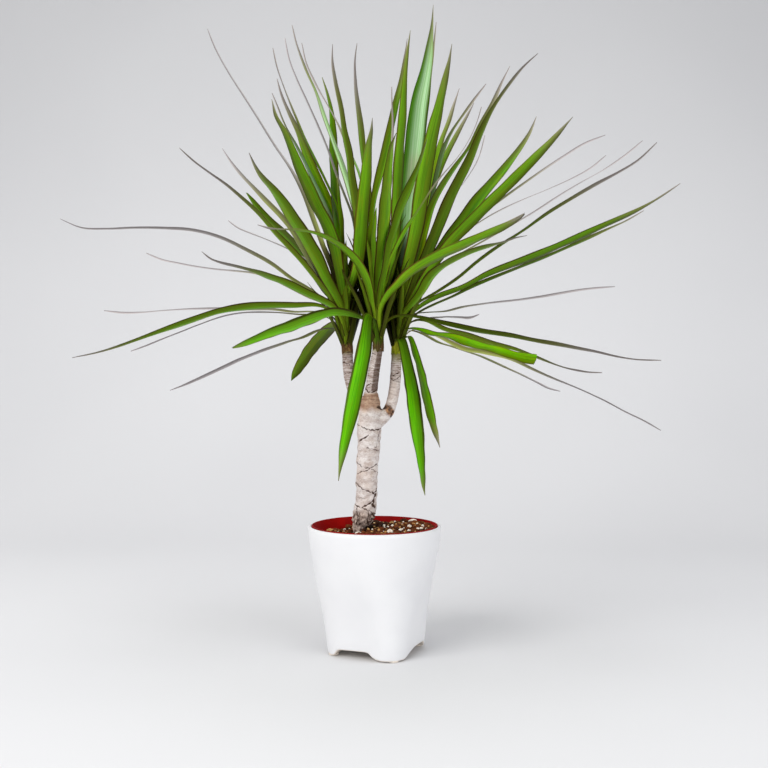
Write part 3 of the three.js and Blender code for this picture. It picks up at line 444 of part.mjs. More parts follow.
// --------------------------------------------------------------------- leaves
// A slim box with one ring of corners per station, bent and twisted on the midrib.
function blade(rows) {
  const n = rows.length;
  const g = new THREE.BoxGeometry(1, 1, 1, 1, 1, n - 1);
  const p = g.attributes.position;
  const P = rows.map((r) => new THREE.Vector3(r[0], r[1], r[2]));
  const frames = rows.map((r, i) => {
    const t = new THREE.Vector3().subVectors(P[Math.min(i + 1, n - 1)], P[Math.max(i - 1, 0)]).normalize();
    const az = THREE.MathUtils.degToRad(r[3]);
    const el = THREE.MathUtils.degToRad(r[4]);
    const w = new THREE.Vector3(Math.cos(el) * Math.cos(az), Math.cos(el) * Math.sin(az), Math.sin(el));
    w.addScaledVector(t, -w.dot(t)).normalize();
    return { w, n: new THREE.Vector3().crossVectors(t, w) };
  });
  const q = new THREE.Vector3();
  for (let i = 0; i < p.count; i++) {
    const s = p.getZ(i) + 0.5;
    const k = Math.round(s * (n - 1));
    const thin = LEAF_THICKNESS * (s < 0.7 ? 1 : 1 - (0.45 * (s - 0.7)) / 0.3);
    q.copy(P[k])
      .addScaledVector(frames[k].w, p.getX(i) * rows[k][5])
      .addScaledVector(frames[k].n, p.getY(i) * thin);
    p.setXYZ(i, q.x, q.y, q.z);
  }
  // the underside is split along the same diagonals as the top, so that a
  // twisted blade keeps its thickness
  const { start, count } = g.groups[3];
  const index = g.index.array;
  for (let i = start; i < start + count; i += 6) {
    const [a, b, d, , c] = index.slice(i, i + 6);
    index.set([a, b, c, a, c, d], i);
  }
  g.computeVertexNormals();
  return g;
}

// ------------------------------------------------------------------- assembly
const plant = new THREE.Group();
function add(group, name, geometry, material) {
  const mesh = new THREE.Mesh(geometry, material);
  mesh.name = name;
  group.add(mesh);
}
const pots = new THREE.Group();
add(pots, "cover_pot", coverPot(), glazed);
add(pots, "nursery_pot", nurseryPot(), brick);
add(pots, "soil", soil(), bark);
plant.add(pots);
const tree = new THREE.Group();
add(tree, "cane", cane(), wood);
for (const [name, axis] of Object.entries(HEARTS)) add(tree, name, heart(axis), young);
for (const [name, leaf] of Object.entries(LEAVES)) add(tree, name, blade(leaf.rows), BLADE_TONES[leaf.tone]);
plant.add(tree);

export default plant;
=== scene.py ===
"""Potted dragon tree: the looks of every piece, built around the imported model.

Metres, +Z up, origin on the pot's axis at the level it stands on.
"""
import math

import bmesh
import bpy
import numpy as np
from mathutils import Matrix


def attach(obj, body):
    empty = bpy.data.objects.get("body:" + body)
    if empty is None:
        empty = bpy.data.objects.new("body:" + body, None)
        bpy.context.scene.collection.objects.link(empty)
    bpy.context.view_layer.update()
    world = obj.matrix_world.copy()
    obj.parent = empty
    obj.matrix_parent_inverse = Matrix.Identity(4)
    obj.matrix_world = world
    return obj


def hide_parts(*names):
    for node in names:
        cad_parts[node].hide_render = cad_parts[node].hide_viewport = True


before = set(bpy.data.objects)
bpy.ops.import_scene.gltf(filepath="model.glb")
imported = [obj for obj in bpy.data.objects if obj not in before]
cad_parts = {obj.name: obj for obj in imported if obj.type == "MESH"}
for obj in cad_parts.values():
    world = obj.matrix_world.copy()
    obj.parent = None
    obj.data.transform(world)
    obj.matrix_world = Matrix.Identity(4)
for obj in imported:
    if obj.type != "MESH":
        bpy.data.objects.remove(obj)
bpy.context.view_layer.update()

MM = 0.001
rng = np.random.default_rng(11)
scene = bpy.context.scene
scene.view_settings.view_transform = "Standard"
scene.view_settings.look = "None"


# ------------------------------------------------------------------ the camera
cam_data = bpy.data.cameras.new("camera")
cam_data.sensor_width = 36.0
cam_data.lens = 44.953
cam = bpy.data.objects.new("camera", cam_data)
cam.location = (0.0091, -0.934, 0.2588)
cam.rotation_euler = (math.radians(90), 0, 0)
scene.collection.objects.link(cam)
scene.camera = cam


# ------------------------------------------------------------------ mesh tools
def mesh_object(name, verts, faces, material, attributes=None, smooth=True, scale=MM):
    """A mesh object from millimetre points, with per-point float attributes."""
    me = bpy.data.meshes.new(name)
    me.from_pydata((np.asarray(verts, float) * scale).tolist(), [], [list(map(int, f)) for f in faces])
    for key, values in (attributes or {}).items():
        a = me.attributes.new(key, "FLOAT", "POINT")
        a.data.foreach_set("value", np.asarray(values, np.float32))
    me.materials.append(material)
    me.polygons.foreach_set("use_smooth", [smooth] * len(me.polygons))
    me.update()
    obj = bpy.data.objects.new(name, me)
    scene.collection.objects.link(obj)
    return obj


def ring_faces(rings, sides, closed=True):
    """Quads between successive rings of points."""
    i = np.arange(rings - 1)[:, None]
    j = np.arange(sides if closed else sides - 1)[None, :]
    k = (j + 1) % sides
    a = i * sides + j
    b = i * sides + k
    c = (i + 1) * sides + k
    d = (i + 1) * sides + j
    return np.stack([a, b, c, d], -1).reshape(-1, 4)


def unit(v):
    return v / np.maximum(np.linalg.norm(v, axis=-1, keepdims=True), 1e-12)


def smoothstep(a, b, x):
    u = np.clip((np.asarray(x, float) - a) / (b - a), 0, 1)
    return u * u * (3 - 2 * u)


def hermite(x, y, q, monotone=False):
    """A smooth curve through the rows of y at x, read at q."""
    x, y, q = np.asarray(x, float), np.asarray(y, float), np.asarray(q, float)
    one = y.ndim == 1
    if one:
        y = y[:, None]
    h = np.diff(x)[:, None]
    d = np.diff(y, axis=0) / h
    m = np.empty_like(y)
    m[0], m[-1] = d[0], d[-1]
    if monotone:
        p = d[:-1] * d[1:]
        w1, w2 = 2 * h[1:] + h[:-1], h[1:] + 2 * h[:-1]
        with np.errstate(divide="ignore", invalid="ignore"):
            hm = (w1 + w2) / (w1 / d[:-1] + w2 / d[1:])
        m[1:-1] = np.where(p > 0, hm, 0)
    else:
        m[1:-1] = (d[:-1] * h[1:] + d[1:] * h[:-1]) / (h[1:] + h[:-1])
    i = np.clip(np.searchsorted(x, q, side="right") - 1, 0, len(x) - 2)
    t = ((q - x[i]) / (x[i + 1] - x[i]))[:, None]
    hh = h[i]
    out = (
        (2 * t**3 - 3 * t**2 + 1) * y[i]
        + (t**3 - 2 * t**2 + t) * hh * m[i]
        + (-2 * t**3 + 3 * t**2) * y[i + 1]
        + (t**3 - t**2) * hh * m[i + 1]
    )
    return out[:, 0] if one else out


# -------------------------------------------------------------- material tools
class Nodes:
    """Short-hand for a Principled material's node tree."""

    def __init__(self, name):
        self.mat = bpy.data.materials.new(name)
        self.mat.use_nodes = True
        self.tree = self.mat.node_tree
        self.tree.nodes.clear()
        self.out = self.tree.nodes.new("ShaderNodeOutputMaterial")
        self.bsdf = self.tree.nodes.new("ShaderNodeBsdfPrincipled")
        self.tree.links.new(self.bsdf.outputs["BSDF"], self.out.inputs["Surface"])

    def link(self, a, b):
        self.tree.links.new(a, b)

    def _feed(self, socket, value):
        if isinstance(value, bpy.types.NodeSocket):
            self.link(value, socket)
        else:
            socket.default_value = value

    def attr(self, name):
        n = self.tree.nodes.new("ShaderNodeAttribute")
        n.attribute_name = name
        return n.outputs["Fac"]

    def coords(self):
        n = self.tree.nodes.new("ShaderNodeTexCoord")
        return n.outputs["Object"]

    def math(self, op, a, b=0.0, clamp=False):
        n = self.tree.nodes.new("ShaderNodeMath")
        n.operation = op
        n.use_clamp = clamp
        self._feed(n.inputs[0], a)
        self._feed(n.inputs[1], b)
        return n.outputs[0]

    def ramp(self, value, low, high, to_low=0.0, to_high=1.0):
        n = self.tree.nodes.new("ShaderNodeMapRange")
        n.interpolation_type = "SMOOTHSTEP"
        self._feed(n.inputs["Value"], value)
        self._feed(n.inputs["From Min"], low)
        self._feed(n.inputs["From Max"], high)
        self._feed(n.inputs["To Min"], to_low)
        self._feed(n.inputs["To Max"], to_high)
        return n.outputs["Result"]

    def mix(self, factor, a, b, blend="MIX"):
        n = self.tree.nodes.new("ShaderNodeMix")
        n.data_type = "RGBA"
        n.blend_type = blend
        n.clamp_factor = True
        self._feed(n.inputs[0], factor)
        for socket, value in ((n.inputs[6], a), (n.inputs[7], b)):
            if isinstance(value, tuple):
                value = (*value, 1.0)
            self._feed(socket, value)
        return n.outputs[2]

    def combine(self, x, y, z):
        n = self.tree.nodes.new("ShaderNodeCombineXYZ")
        for socket, value in zip(n.inputs, (x, y, z)):
            self._feed(socket, value)
        return n.outputs[0]

    def stretch(self, vector, scale):
        n = self.tree.nodes.new("ShaderNodeMapping")
        self.link(vector, n.inputs["Vector"])
        n.inputs["Scale"].default_value = scale
        return n.outputs[0]

    def noise(self, vector, scale, detail=3.0, roughness=0.5):
        n = self.tree.nodes.new("ShaderNodeTexNoise")
        self.link(vector, n.inputs["Vector"])
        n.inputs["Scale"].default_value = scale
        n.inputs["Detail"].default_value = detail
        n.inputs["Roughness"].default_value = roughness
        return n.outputs["Fac"]

    def cells(self, vector, scale):
        n = self.tree.nodes.new("ShaderNodeTexVoronoi")
        self.link(vector, n.inputs["Vector"])
        n.inputs["Scale"].default_value = scale
        return n.outputs["Distance"]

    def bump(self, height, strength, distance):
        n = self.tree.nodes.new("ShaderNodeBump")
        n.inputs["Strength"].default_value = strength
        n.inputs["Distance"].default_value = distance
        self.link(height, n.inputs["Height"])
        self.link(n.outputs[0], self.bsdf.inputs["Normal"])

    def finish(self, color, roughness, specular=0.5, **more):
        self._feed(self.bsdf.inputs["Base Color"], color)
        self._feed(self.bsdf.inputs["Roughness"], roughness)
        self.bsdf.inputs["Specular IOR Level"].default_value = specular
        for key, value in more.items():
            self.bsdf.inputs[key].default_value = value
        return self.mat


# ------------------------------------------------------------- leaf materials
def blade_material(name, deep, light, olive, margin, base, pale=0.0, rough=0.34, gloss=0.035, dry=(0.15, 0.15, 0.045), husk=(0.26, 0.225, 0.215), fold_end=0.17, rim=(0.76, 0.92)):
    """A living blade: fine parallel veins, one half of the fold turned to olive and darker
    (painted shade), a coloured margin, a darker base, and a tip that dries to olive, brown and grey.
    It reads the blade's own attributes: along (0 base, 1 tip), across (-1 to 1),
    seed, tone, grey_from, under, crown_shade (painted shade, 1 deep inside the crown), cuff (1 on the
    old brown foot of the sheaths), lime (1 on a fresh one)."""
    n = Nodes(name)
    along, across, seed = n.attr("along"), n.attr("across"), n.attr("seed")
    grey_from, under, crown_shade = n.attr("grey_from"), n.attr("under"), n.attr("crown_shade")
    tone, cuff, lime = n.attr("tone"), n.attr("cuff"), n.attr("lime")
    side = n.math("ABSOLUTE", across)
    shift = n.math("MULTIPLY", seed, 37.0)
    # veins: much finer across the blade than along it
    lines = n.noise(n.combine(n.math("ADD", n.math("MULTIPLY", across, 9.0), shift), n.math("MULTIPLY", along, 1.6), seed), 1.6, 4.0, 0.6)
    broad = n.noise(n.combine(n.math("ADD", n.math("MULTIPLY", across, 1.3), shift), n.math("MULTIPLY", along, 5.0), seed), 1.3, 2.0, 0.5)
    color = n.mix(n.ramp(lines, 0.40, 0.60), deep, light)
    # one half of the fold turns olive: partly the blade's own tint, partly painted shade of the fold (the same half is
    # painted darker below); soft patches along the blade are olive
    hand = n.math("SIGN", n.math("SUBTRACT", n.math("FRACT", n.math("MULTIPLY", seed, 7.3)), 0.5))
    half = n.ramp(n.math("MULTIPLY", across, hand), -0.15, 0.75)
    color = n.mix(n.math("MULTIPLY", half, 0.6), color, olive)
    color = n.mix(n.math("MULTIPLY", n.ramp(broad, 0.5, 0.68), 0.6), color, olive)
    color = n.mix(n.math("MULTIPLY", n.ramp(broad, 0.48, 0.3), 0.4), color, light)
    # a faint line along the midrib
    rib = n.ramp(side, 0.0, 0.07, 1.0, 0.0)
    color = n.mix(n.math("MULTIPLY", rib, 0.3), color, light)
    if pale:
        stripe = n.noise(n.combine(n.math("MULTIPLY", across, 7.0), n.math("MULTIPLY", along, 0.9), seed), 1.9, 3.0, 0.7)
        mint = n.math("MULTIPLY", n.ramp(stripe, 0.40, 0.58, 0.45, 1.0), n.ramp(across, PALE_SIDE * 0.75, PALE_SIDE * 0.15, 0.0, pale))
        color = n.mix(mint, color, (0.42, 0.63, 0.36))
        fawn = n.math("MULTIPLY", n.ramp(along, 0.34, 0.40), n.ramp(along, 0.52, 0.46))
        color = n.mix(n.math("MULTIPLY", n.math("MULTIPLY", mint, fawn), 0.55), color, (0.42, 0.36, 0.22))
    # a few blades carry milky stripes over their outer half
    milk = n.attr("mint")
    milky = n.math("MULTIPLY", n.math("MULTIPLY", milk, n.ramp(lines, 0.38, 0.56, 0.35, 1.0)), n.ramp(along, 0.22, 0.36))
    color = n.mix(milky, color, (0.30, 0.47, 0.27))
    # paler underside
    color = n.mix(n.math("MULTIPLY", under, 0.22), color, (0.16, 0.2, 0.03))
    # coloured margin, a fixed fraction of the width
    edge_noise = n.math("MULTIPLY", n.math("SUBTRACT", broad, 0.5), 0.12)
    edge = n.ramp(n.math("ADD", side, edge_noise), *rim)
    fade = n.ramp(along, 0.9, 0.2, 0.6, 0.97)
    color = n.mix(n.math("MULTIPLY", edge, fade), color, margin)
    # the base, where the blade leaves the stem
    ribs = n.ramp(lines, 0.38, 0.62, 0.42, 1.75)
    base_lines = n.mix(1.0, base, n.combine(ribs, ribs, ribs), "MULTIPLY")
    color = n.mix(n.ramp(n.math("ADD", along, n.math("MULTIPLY", edge_noise, 0.4)), fold_end, fold_end * 0.35 - 0.04, 0.0, 0.78), color, base_lines)
    color = n.mix(n.math("MULTIPLY", lime, 0.8), color, n.mix(n.ramp(lines, 0.4, 0.6), (0.20, 0.23, 0.005), (0.44, 0.45, 0.03)))
    color = n.mix(n.math("MULTIPLY", cuff, 0.85), color, n.mix(n.ramp(lines, 0.4, 0.6), (0.055, 0.022, 0.012), (0.21, 0.095, 0.05)))
    vivid = n.math("ADD", n.math("MULTIPLY", tone, 1.0), 0.0)
    color = n.mix(1.0, color, n.combine(vivid, vivid, vivid), "MULTIPLY")
    # drying tip
    past = n.math("SUBTRACT", n.math("ADD", along, n.math("MULTIPLY", n.math("SUBTRACT", lines, 0.5), 0.16)), grey_from)
    color = n.mix(n.ramp(past, -0.16, 0.05, 0.0, 0.9), color, dry)
    color = n.mix(n.ramp(past, -0.02, 0.16, 0.0, 0.92), color, husk)
    # painted light and shade: each blade lighter on one half of its fold and darker on the other, as if lit from one
    # side, and painted shade deep in the crown, where the blades shade each other
    fold_light = n.ramp(n.math("MULTIPLY", across, hand), -0.8, 0.85, 1.50, 0.66)
    shade_in_crown = n.math("MULTIPLY", crown_shade, n.ramp(lime, 0.0, 1.0, 1.0, 0.15))
    painted_light_gain = n.math("MULTIPLY", fold_light, n.ramp(shade_in_crown, 0.0, 1.0, 1.0, 0.24))
    color = n.mix(1.0, color, n.combine(painted_light_gain, n.math("MULTIPLY", painted_light_gain, n.ramp(crown_shade, 0.0, 1.0, 1.0, 0.86)), painted_light_gain), "MULTIPLY")
    roughness = n.ramp(lines, 0.3, 0.7, rough - 0.05, rough + 0.08)
    n.bump(lines, 0.35, 0.00012)
    return n.finish(color, roughness, gloss)


PALE_SIDE = -1.0
BLADES = {
    # leaf_bright: its darker base runs further up the blade (fold_end), partly the blade's own olive base, partly
    # painted shade over the top of its arch
    "leaf_bright": blade_material("leaf_bright", (0.050, 0.27, 0.0008), (0.115, 0.42, 0.0015), (0.12, 0.30, 0.002), (0.040, 0.020, 0.005), (0.050, 0.080, 0.003), fold_end=0.38, rim=(0.64, 0.82)),
    "leaf_green": blade_material("leaf_green", (0.050, 0.165, 0.0007), (0.115, 0.31, 0.001), (0.150, 0.215, 0.001), (0.058, 0.022, 0.006), (0.110, 0.155, 0.005), rim=(0.74, 0.90)),
    # leaf_dark is leaf_green at about half the brightness: partly the blades' own darker green, partly painted shade on
    # blades that lie behind and under others
    "leaf_dark": blade_material("leaf_dark", (0.024, 0.072, 0.0007), (0.072, 0.158, 0.0012), (0.085, 0.098, 0.001), (0.042, 0.015, 0.005), (0.078, 0.092, 0.004)),
    "leaf_grey": blade_material("leaf_grey", (0.10, 0.115, 0.022), (0.17, 0.19, 0.045), (0.16, 0.14, 0.05), (0.20, 0.175, 0.12), (0.14, 0.12, 0.015), rough=0.5, gloss=0.12, dry=(0.22, 0.20, 0.13), husk=(0.33, 0.295, 0.30)),
    "leaf_pale": blade_material("leaf_pale", (0.045, 0.22, 0.004), (0.11, 0.40, 0.02), (0.09, 0.25, 0.01), (0.06, 0.12, 0.01), (0.15, 0.15, 0.01), pale=0.95),
    "young_leaf": blade_material("young_leaf", (0.055, 0.125, 0.001), (0.13, 0.24, 0.002), (0.13, 0.13, 0.002), (0.03, 0.02, 0.004), (0.12, 0.15, 0.006)),
    # old_leaf: near-black olive of the inner leaves, partly their own dead colour, partly painted shade in the gaps
    # between the crowns
    "old_leaf": blade_material("old_leaf", (0.022, 0.040, 0.0008), (0.055, 0.085, 0.001), (0.060, 0.050, 0.001), (0.02, 0.011, 0.004), (0.052, 0.056, 0.004)),
}


# ------------------------------------------------------------------ the blades
# Growing axes: bottom and top; heart_radius gives the radius along them.
HEARTS = {
    "left": (np.array([-26.7, 5.0, 291.4]), np.array([-30.0, 5.0, 361.8])),
    "centre": (np.array([3.5, -9.0, 295.6]), np.array([1.1, -9.0, 365.1])),
    "right": (np.array([21.6, 6.0, 289.7]), np.array([27.0, 6.0, 361.9])),
}
STATIONS = [0, 0.045, 0.1, 0.165, 0.24, 0.32, 0.405, 0.495, 0.585, 0.675, 0.765, 0.85, 0.93, 1.0]
ACROSS = np.array([-1, -0.965, -0.88, -0.72, -0.5, -0.26, -0.07, 0, 0.07, 0.26, 0.5, 0.72, 0.88, 0.965, 1])


def axis_point(crown, z):
    a, b = HEARTS[crown]
    return a + (b - a) * ((z - a[2]) / (b[2] - a[2]))


def heart_radius(crown, z):
    a, b = HEARTS[crown]
    f = (z - a[2]) / (b[2] - a[2])
    return float(np.interp(f, [-0.3, 0, 0.75, 1], [5.1, 5.0, 3.0, 0.8]))


def painted_crown_shade(p):
    """Painted shade: 1 deep between the crowns, where the leaves shade each other, 0 out in the open or in front of
    them.
    """
    best = np.zeros(len(p))
    for a, b in HEARTS.values():
        d = b - a
        t = np.clip(((p - a) @ d) / (d @ d), -0.1, 1.25)
        rel = p - (a + t[:, None] * d)
        dist = np.linalg.norm(rel * [1, 0.7, 1], axis=1)
        near = smoothstep(40, 9, dist)
        behind = smoothstep(-13, 12, rel[:, 1])
        best = np.maximum(best, near * behind)
    return best * smoothstep(286, 300, p[:, 2])


def cuffs(crown, p):
    """Where the sheaths end on the stem: brown on two of the stems, fresh and
    yellowish on the right one."""
    z = p[:, 2] + 0.9 * np.sin(p[:, 0] * 1.3) + 0.6 * np.sin(p[:, 0] * 2.9 + p[:, 1])
    low = {"left": smoothstep(299.5, 295.5, z), "centre": 0.85 * smoothstep(301, 296, z), "right": 0 * z}[crown]
    lime = smoothstep(304, 296, z) if crown == "right" else 0 * z
    return low, lime


def blade(name, crown, rows, slot, seed, grey_from, tip="point", sheath=14.0, channel=1.0, wave=1.0, rings=72, fold=0.085, tone=None, mint=0.0):
    """One leaf: a clasping base on the stem, then a thin channelled blade along
    the stations, with wavy margins, closed all round."""
    rows = np.asarray(rows, float)
    r = np.random.default_rng(int(seed * 1e6))
    P = rows[:, :3]
    az, el = np.radians(rows[:, 3]), np.radians(rows[:, 4])
    W = np.stack([np.cos(el) * np.cos(az), np.cos(el) * np.sin(az), np.sin(el)], 1)
    width = rows[:, 5].copy()
    s = np.array(STATIONS)
    length = np.linalg.norm(np.diff(P, axis=0), axis=1).sum()
    # the base clasps the stem: its width runs round the axis there
    centre = axis_point(crown, P[0, 2])
    out = P[0] - centre
    out[2] = 0
    reach = np.linalg.norm(out)
    out = out / reach
    a, b = HEARTS[crown]
    up = unit(b - a)
    round_stem = np.cross(up, out)
    if np.dot(round_stem, W[2]) < 0:
        round_stem = -round_stem
    low = min(sheath * r.uniform(0.65, 1.1), max(P[0, 2] - 287.5 - 4 * r.random(), 3.0))
    drops = np.array([low, low * 0.62, low * 0.28])
    base_p, base_w, base_width = [], [], []
    for d in drops:
        z = P[0, 2] - d
        q = axis_point(crown, z)
        rad = heart_radius(crown, z) + 0.3 + (reach - heart_radius(crown, P[0, 2]) - 0.3) * (1 - d / low) ** 2.5 * 0.6
        base_p.append(q + out * max(rad, 3.2))
        base_w.append(round_stem)
        base_width.append(np.interp(d / low, [0, 0.3, 0.65, 1], [8.5, 11.0, 12.0, 7.0]))
    W[0] = unit(round_stem * 0.75 + W[0] * 0.25)
    W[1] = unit(round_stem * 0.3 + W[1] * 0.7)
    width[0] = max(width[0], 6.2)
    width[1] = max(width[1], 4.9)
    width[2] = max(width[2], 4.6)
    s_all = np.concatenate([-drops / length, s])
    P = np.vstack([base_p, P])
    W = np.vstack([base_w, W])
    width = np.concatenate([base_width, width])
    # fine stations, closer together near the base and the tip
    u = np.linspace(0, 1, rings)
    u = u + 0.035 * np.sin(2 * np.pi * u) * -1
    q = s_all[0] + (1 - s_all[0]) * np.clip(u, 0, 1)
    C = hermite(s_all, P, q)
    Wq = hermite(s_all, W, q)
    wq = hermite(s_all, width, q, monotone=True)
    T = unit(np.gradient(C, q, axis=0))
    Wq = unit(Wq - T * (Wq * T).sum(1, keepdims=True))
    N = np.cross(T, Wq)
    # the upper face looks at the growing axis
    k = int(np.searchsorted(q, 0.12))
    inward = axis_point(crown, C[k, 2]) - C[k]
    inward[2] = 0
    if np.dot(N[k], unit(inward) + np.array([0, 0, 0.8])) < 0:
        N = -N
        flip = True
    else:
        flip = False
    # curl of the section: tight round the stem, an open channel further out
    bend = np.interp(q, [s_all[0], -0.004, 0.03, 0.09, 0.2, 0.45, 0.75, 1.0], [2.9, 2.3, 1.5, 1.0, 0.68, 0.5, 0.42, 0.3]) * channel
    bend = np.where(q < 0.03, np.maximum(bend, np.interp(q, [s_all[0], 0.03], [2.6, 1.3])), bend)
    if tip == "cut":
        keep = 1.0
    thick = np.interp(q, [s_all[0], 0.0, 0.08, 0.4, 0.85, 1.0], [0.25, 0.8, 0.75, 0.55, 0.4, 0.25]) * (0.75 if slot == "leaf_grey" else 1.0)
    f1, f2, p1, p2 = r.uniform(2.2, 3.6), r.uniform(4.0, 6.5), r.uniform(0, 6.28, 2), r.uniform(0, 6.28, 2)
    env = smoothstep(0.06, 0.3, q) * smoothstep(1.0, 0.9, q)
    top, bottom = [], []
    for j, sj in enumerate(ACROSS):
        ang = sj * bend / 2
        chord = wq / np.maximum(bend, 1e-3)
        x = np.sin(ang) * chord
        y = (1 - np.cos(ang)) * chord
        # a shallow fold on the midrib
        y = y + abs(sj) * wq * fold * np.interp(q, [0.0, 0.06, 0.2, 0.8], [0.3, 0.8, 1.0, 0.6])
        side = 0 if sj < 0 else 1
        ripple = 0.34 * np.sin(2 * np.pi * f1 * q + p1[side]) + 0.2 * np.sin(2 * np.pi * f2 * q + p2[side])
        y = y + wave * env * ripple * abs(sj) ** 2.2
        x = x + env * 0.012 * wq * np.sin(2 * np.pi * f2 * 1.3 * q + p1[1 - side]) * abs(sj) ** 4 * np.sign(sj)
        th = thick * (1 - abs(sj) ** 3) * 0.5
        rib = 0.55 * thick * math.exp(-((sj / 0.16) ** 2)) * np.interp(q, [0, 0.1, 0.6], [0.9, 0.8, 0.15])
        ragged = smoothstep(0.0, s_all[0], q) * (4.2 * abs(sj) ** 1.6 - 1.2 + 0.8 * math.sin(7 * sj + p1[0]))
        x = x * (1 - 0.25 * smoothstep(s_all[0] * 0.45, s_all[0], q))
        C_j = C + T * ragged[:, None]
        top.append(C_j + Wq * x[:, None] + N * (y + th)[:, None])
        bottom.append(C_j + Wq * x[:, None] + N * (y - th - rib)[:, None])
    top, bottom = np.array(top), np.array(bottom)
    if tip in ("ragged", "frayed", "cut"):
        # the end is torn or cut: each line across stops at its own length
        for j, sj in enumerate(ACROSS):
            if tip == "cut":
                stop = 1.0 - 0.006 * (sj + 1) - 0.004 * r.random()
            elif tip == "ragged":
                stop = 1.0 - 0.10 * r.random() - 0.03 * abs(sj)
            else:
                stop = 1.0 - 0.05 * r.random()
            qq = q.copy()
            last = q > 0.86
            qq[last] = 0.86 + (q[last] - 0.86) * (stop - 0.86) / (1 - 0.86)
            for arr in (top, bottom):
                for c in range(3):
                    arr[j, :, c] = np.interp(qq, q, arr[j, :, c])
    m = len(ACROSS)
    order = [(top, j) for j in range(m)] + [(bottom, j) for j in range(m - 2, 0, -1)]
    ring = np.stack([arr[j] for arr, j in order], 1)
    sides = ring.shape[1]
    verts = ring.reshape(-1, 3)
    faces = ring_faces(rings, sides)
    caps = [list(range(sides))[::-1], [(rings - 1) * sides + j for j in range(sides)]]
    across = np.tile(np.array([ACROSS[j] for _, j in order]), rings)
    under = np.tile(np.array([0.0] * m + [1.0] * (m - 2)), rings)
    along = np.repeat(q, sides)
    faces = [list(f) for f in faces] + caps
    if not flip:
        faces = [f[::-1] for f in faces]
    cuff, lime = cuffs(crown, verts)
    near_stem = along < 0.04
    return verts, faces, {
        "tone": np.full(len(verts), tone or 0.80 + 0.36 * seed),
        "mint": np.full(len(verts), mint),
        "cuff": cuff * near_stem,
        "lime": lime * near_stem,
        "along": along,
        "across": across,
        "under": under,
        "seed": np.full(len(verts), seed),
        "grey_from": np.full(len(verts), grey_from),
        "crown_shade": painted_crown_shade(verts),
    }


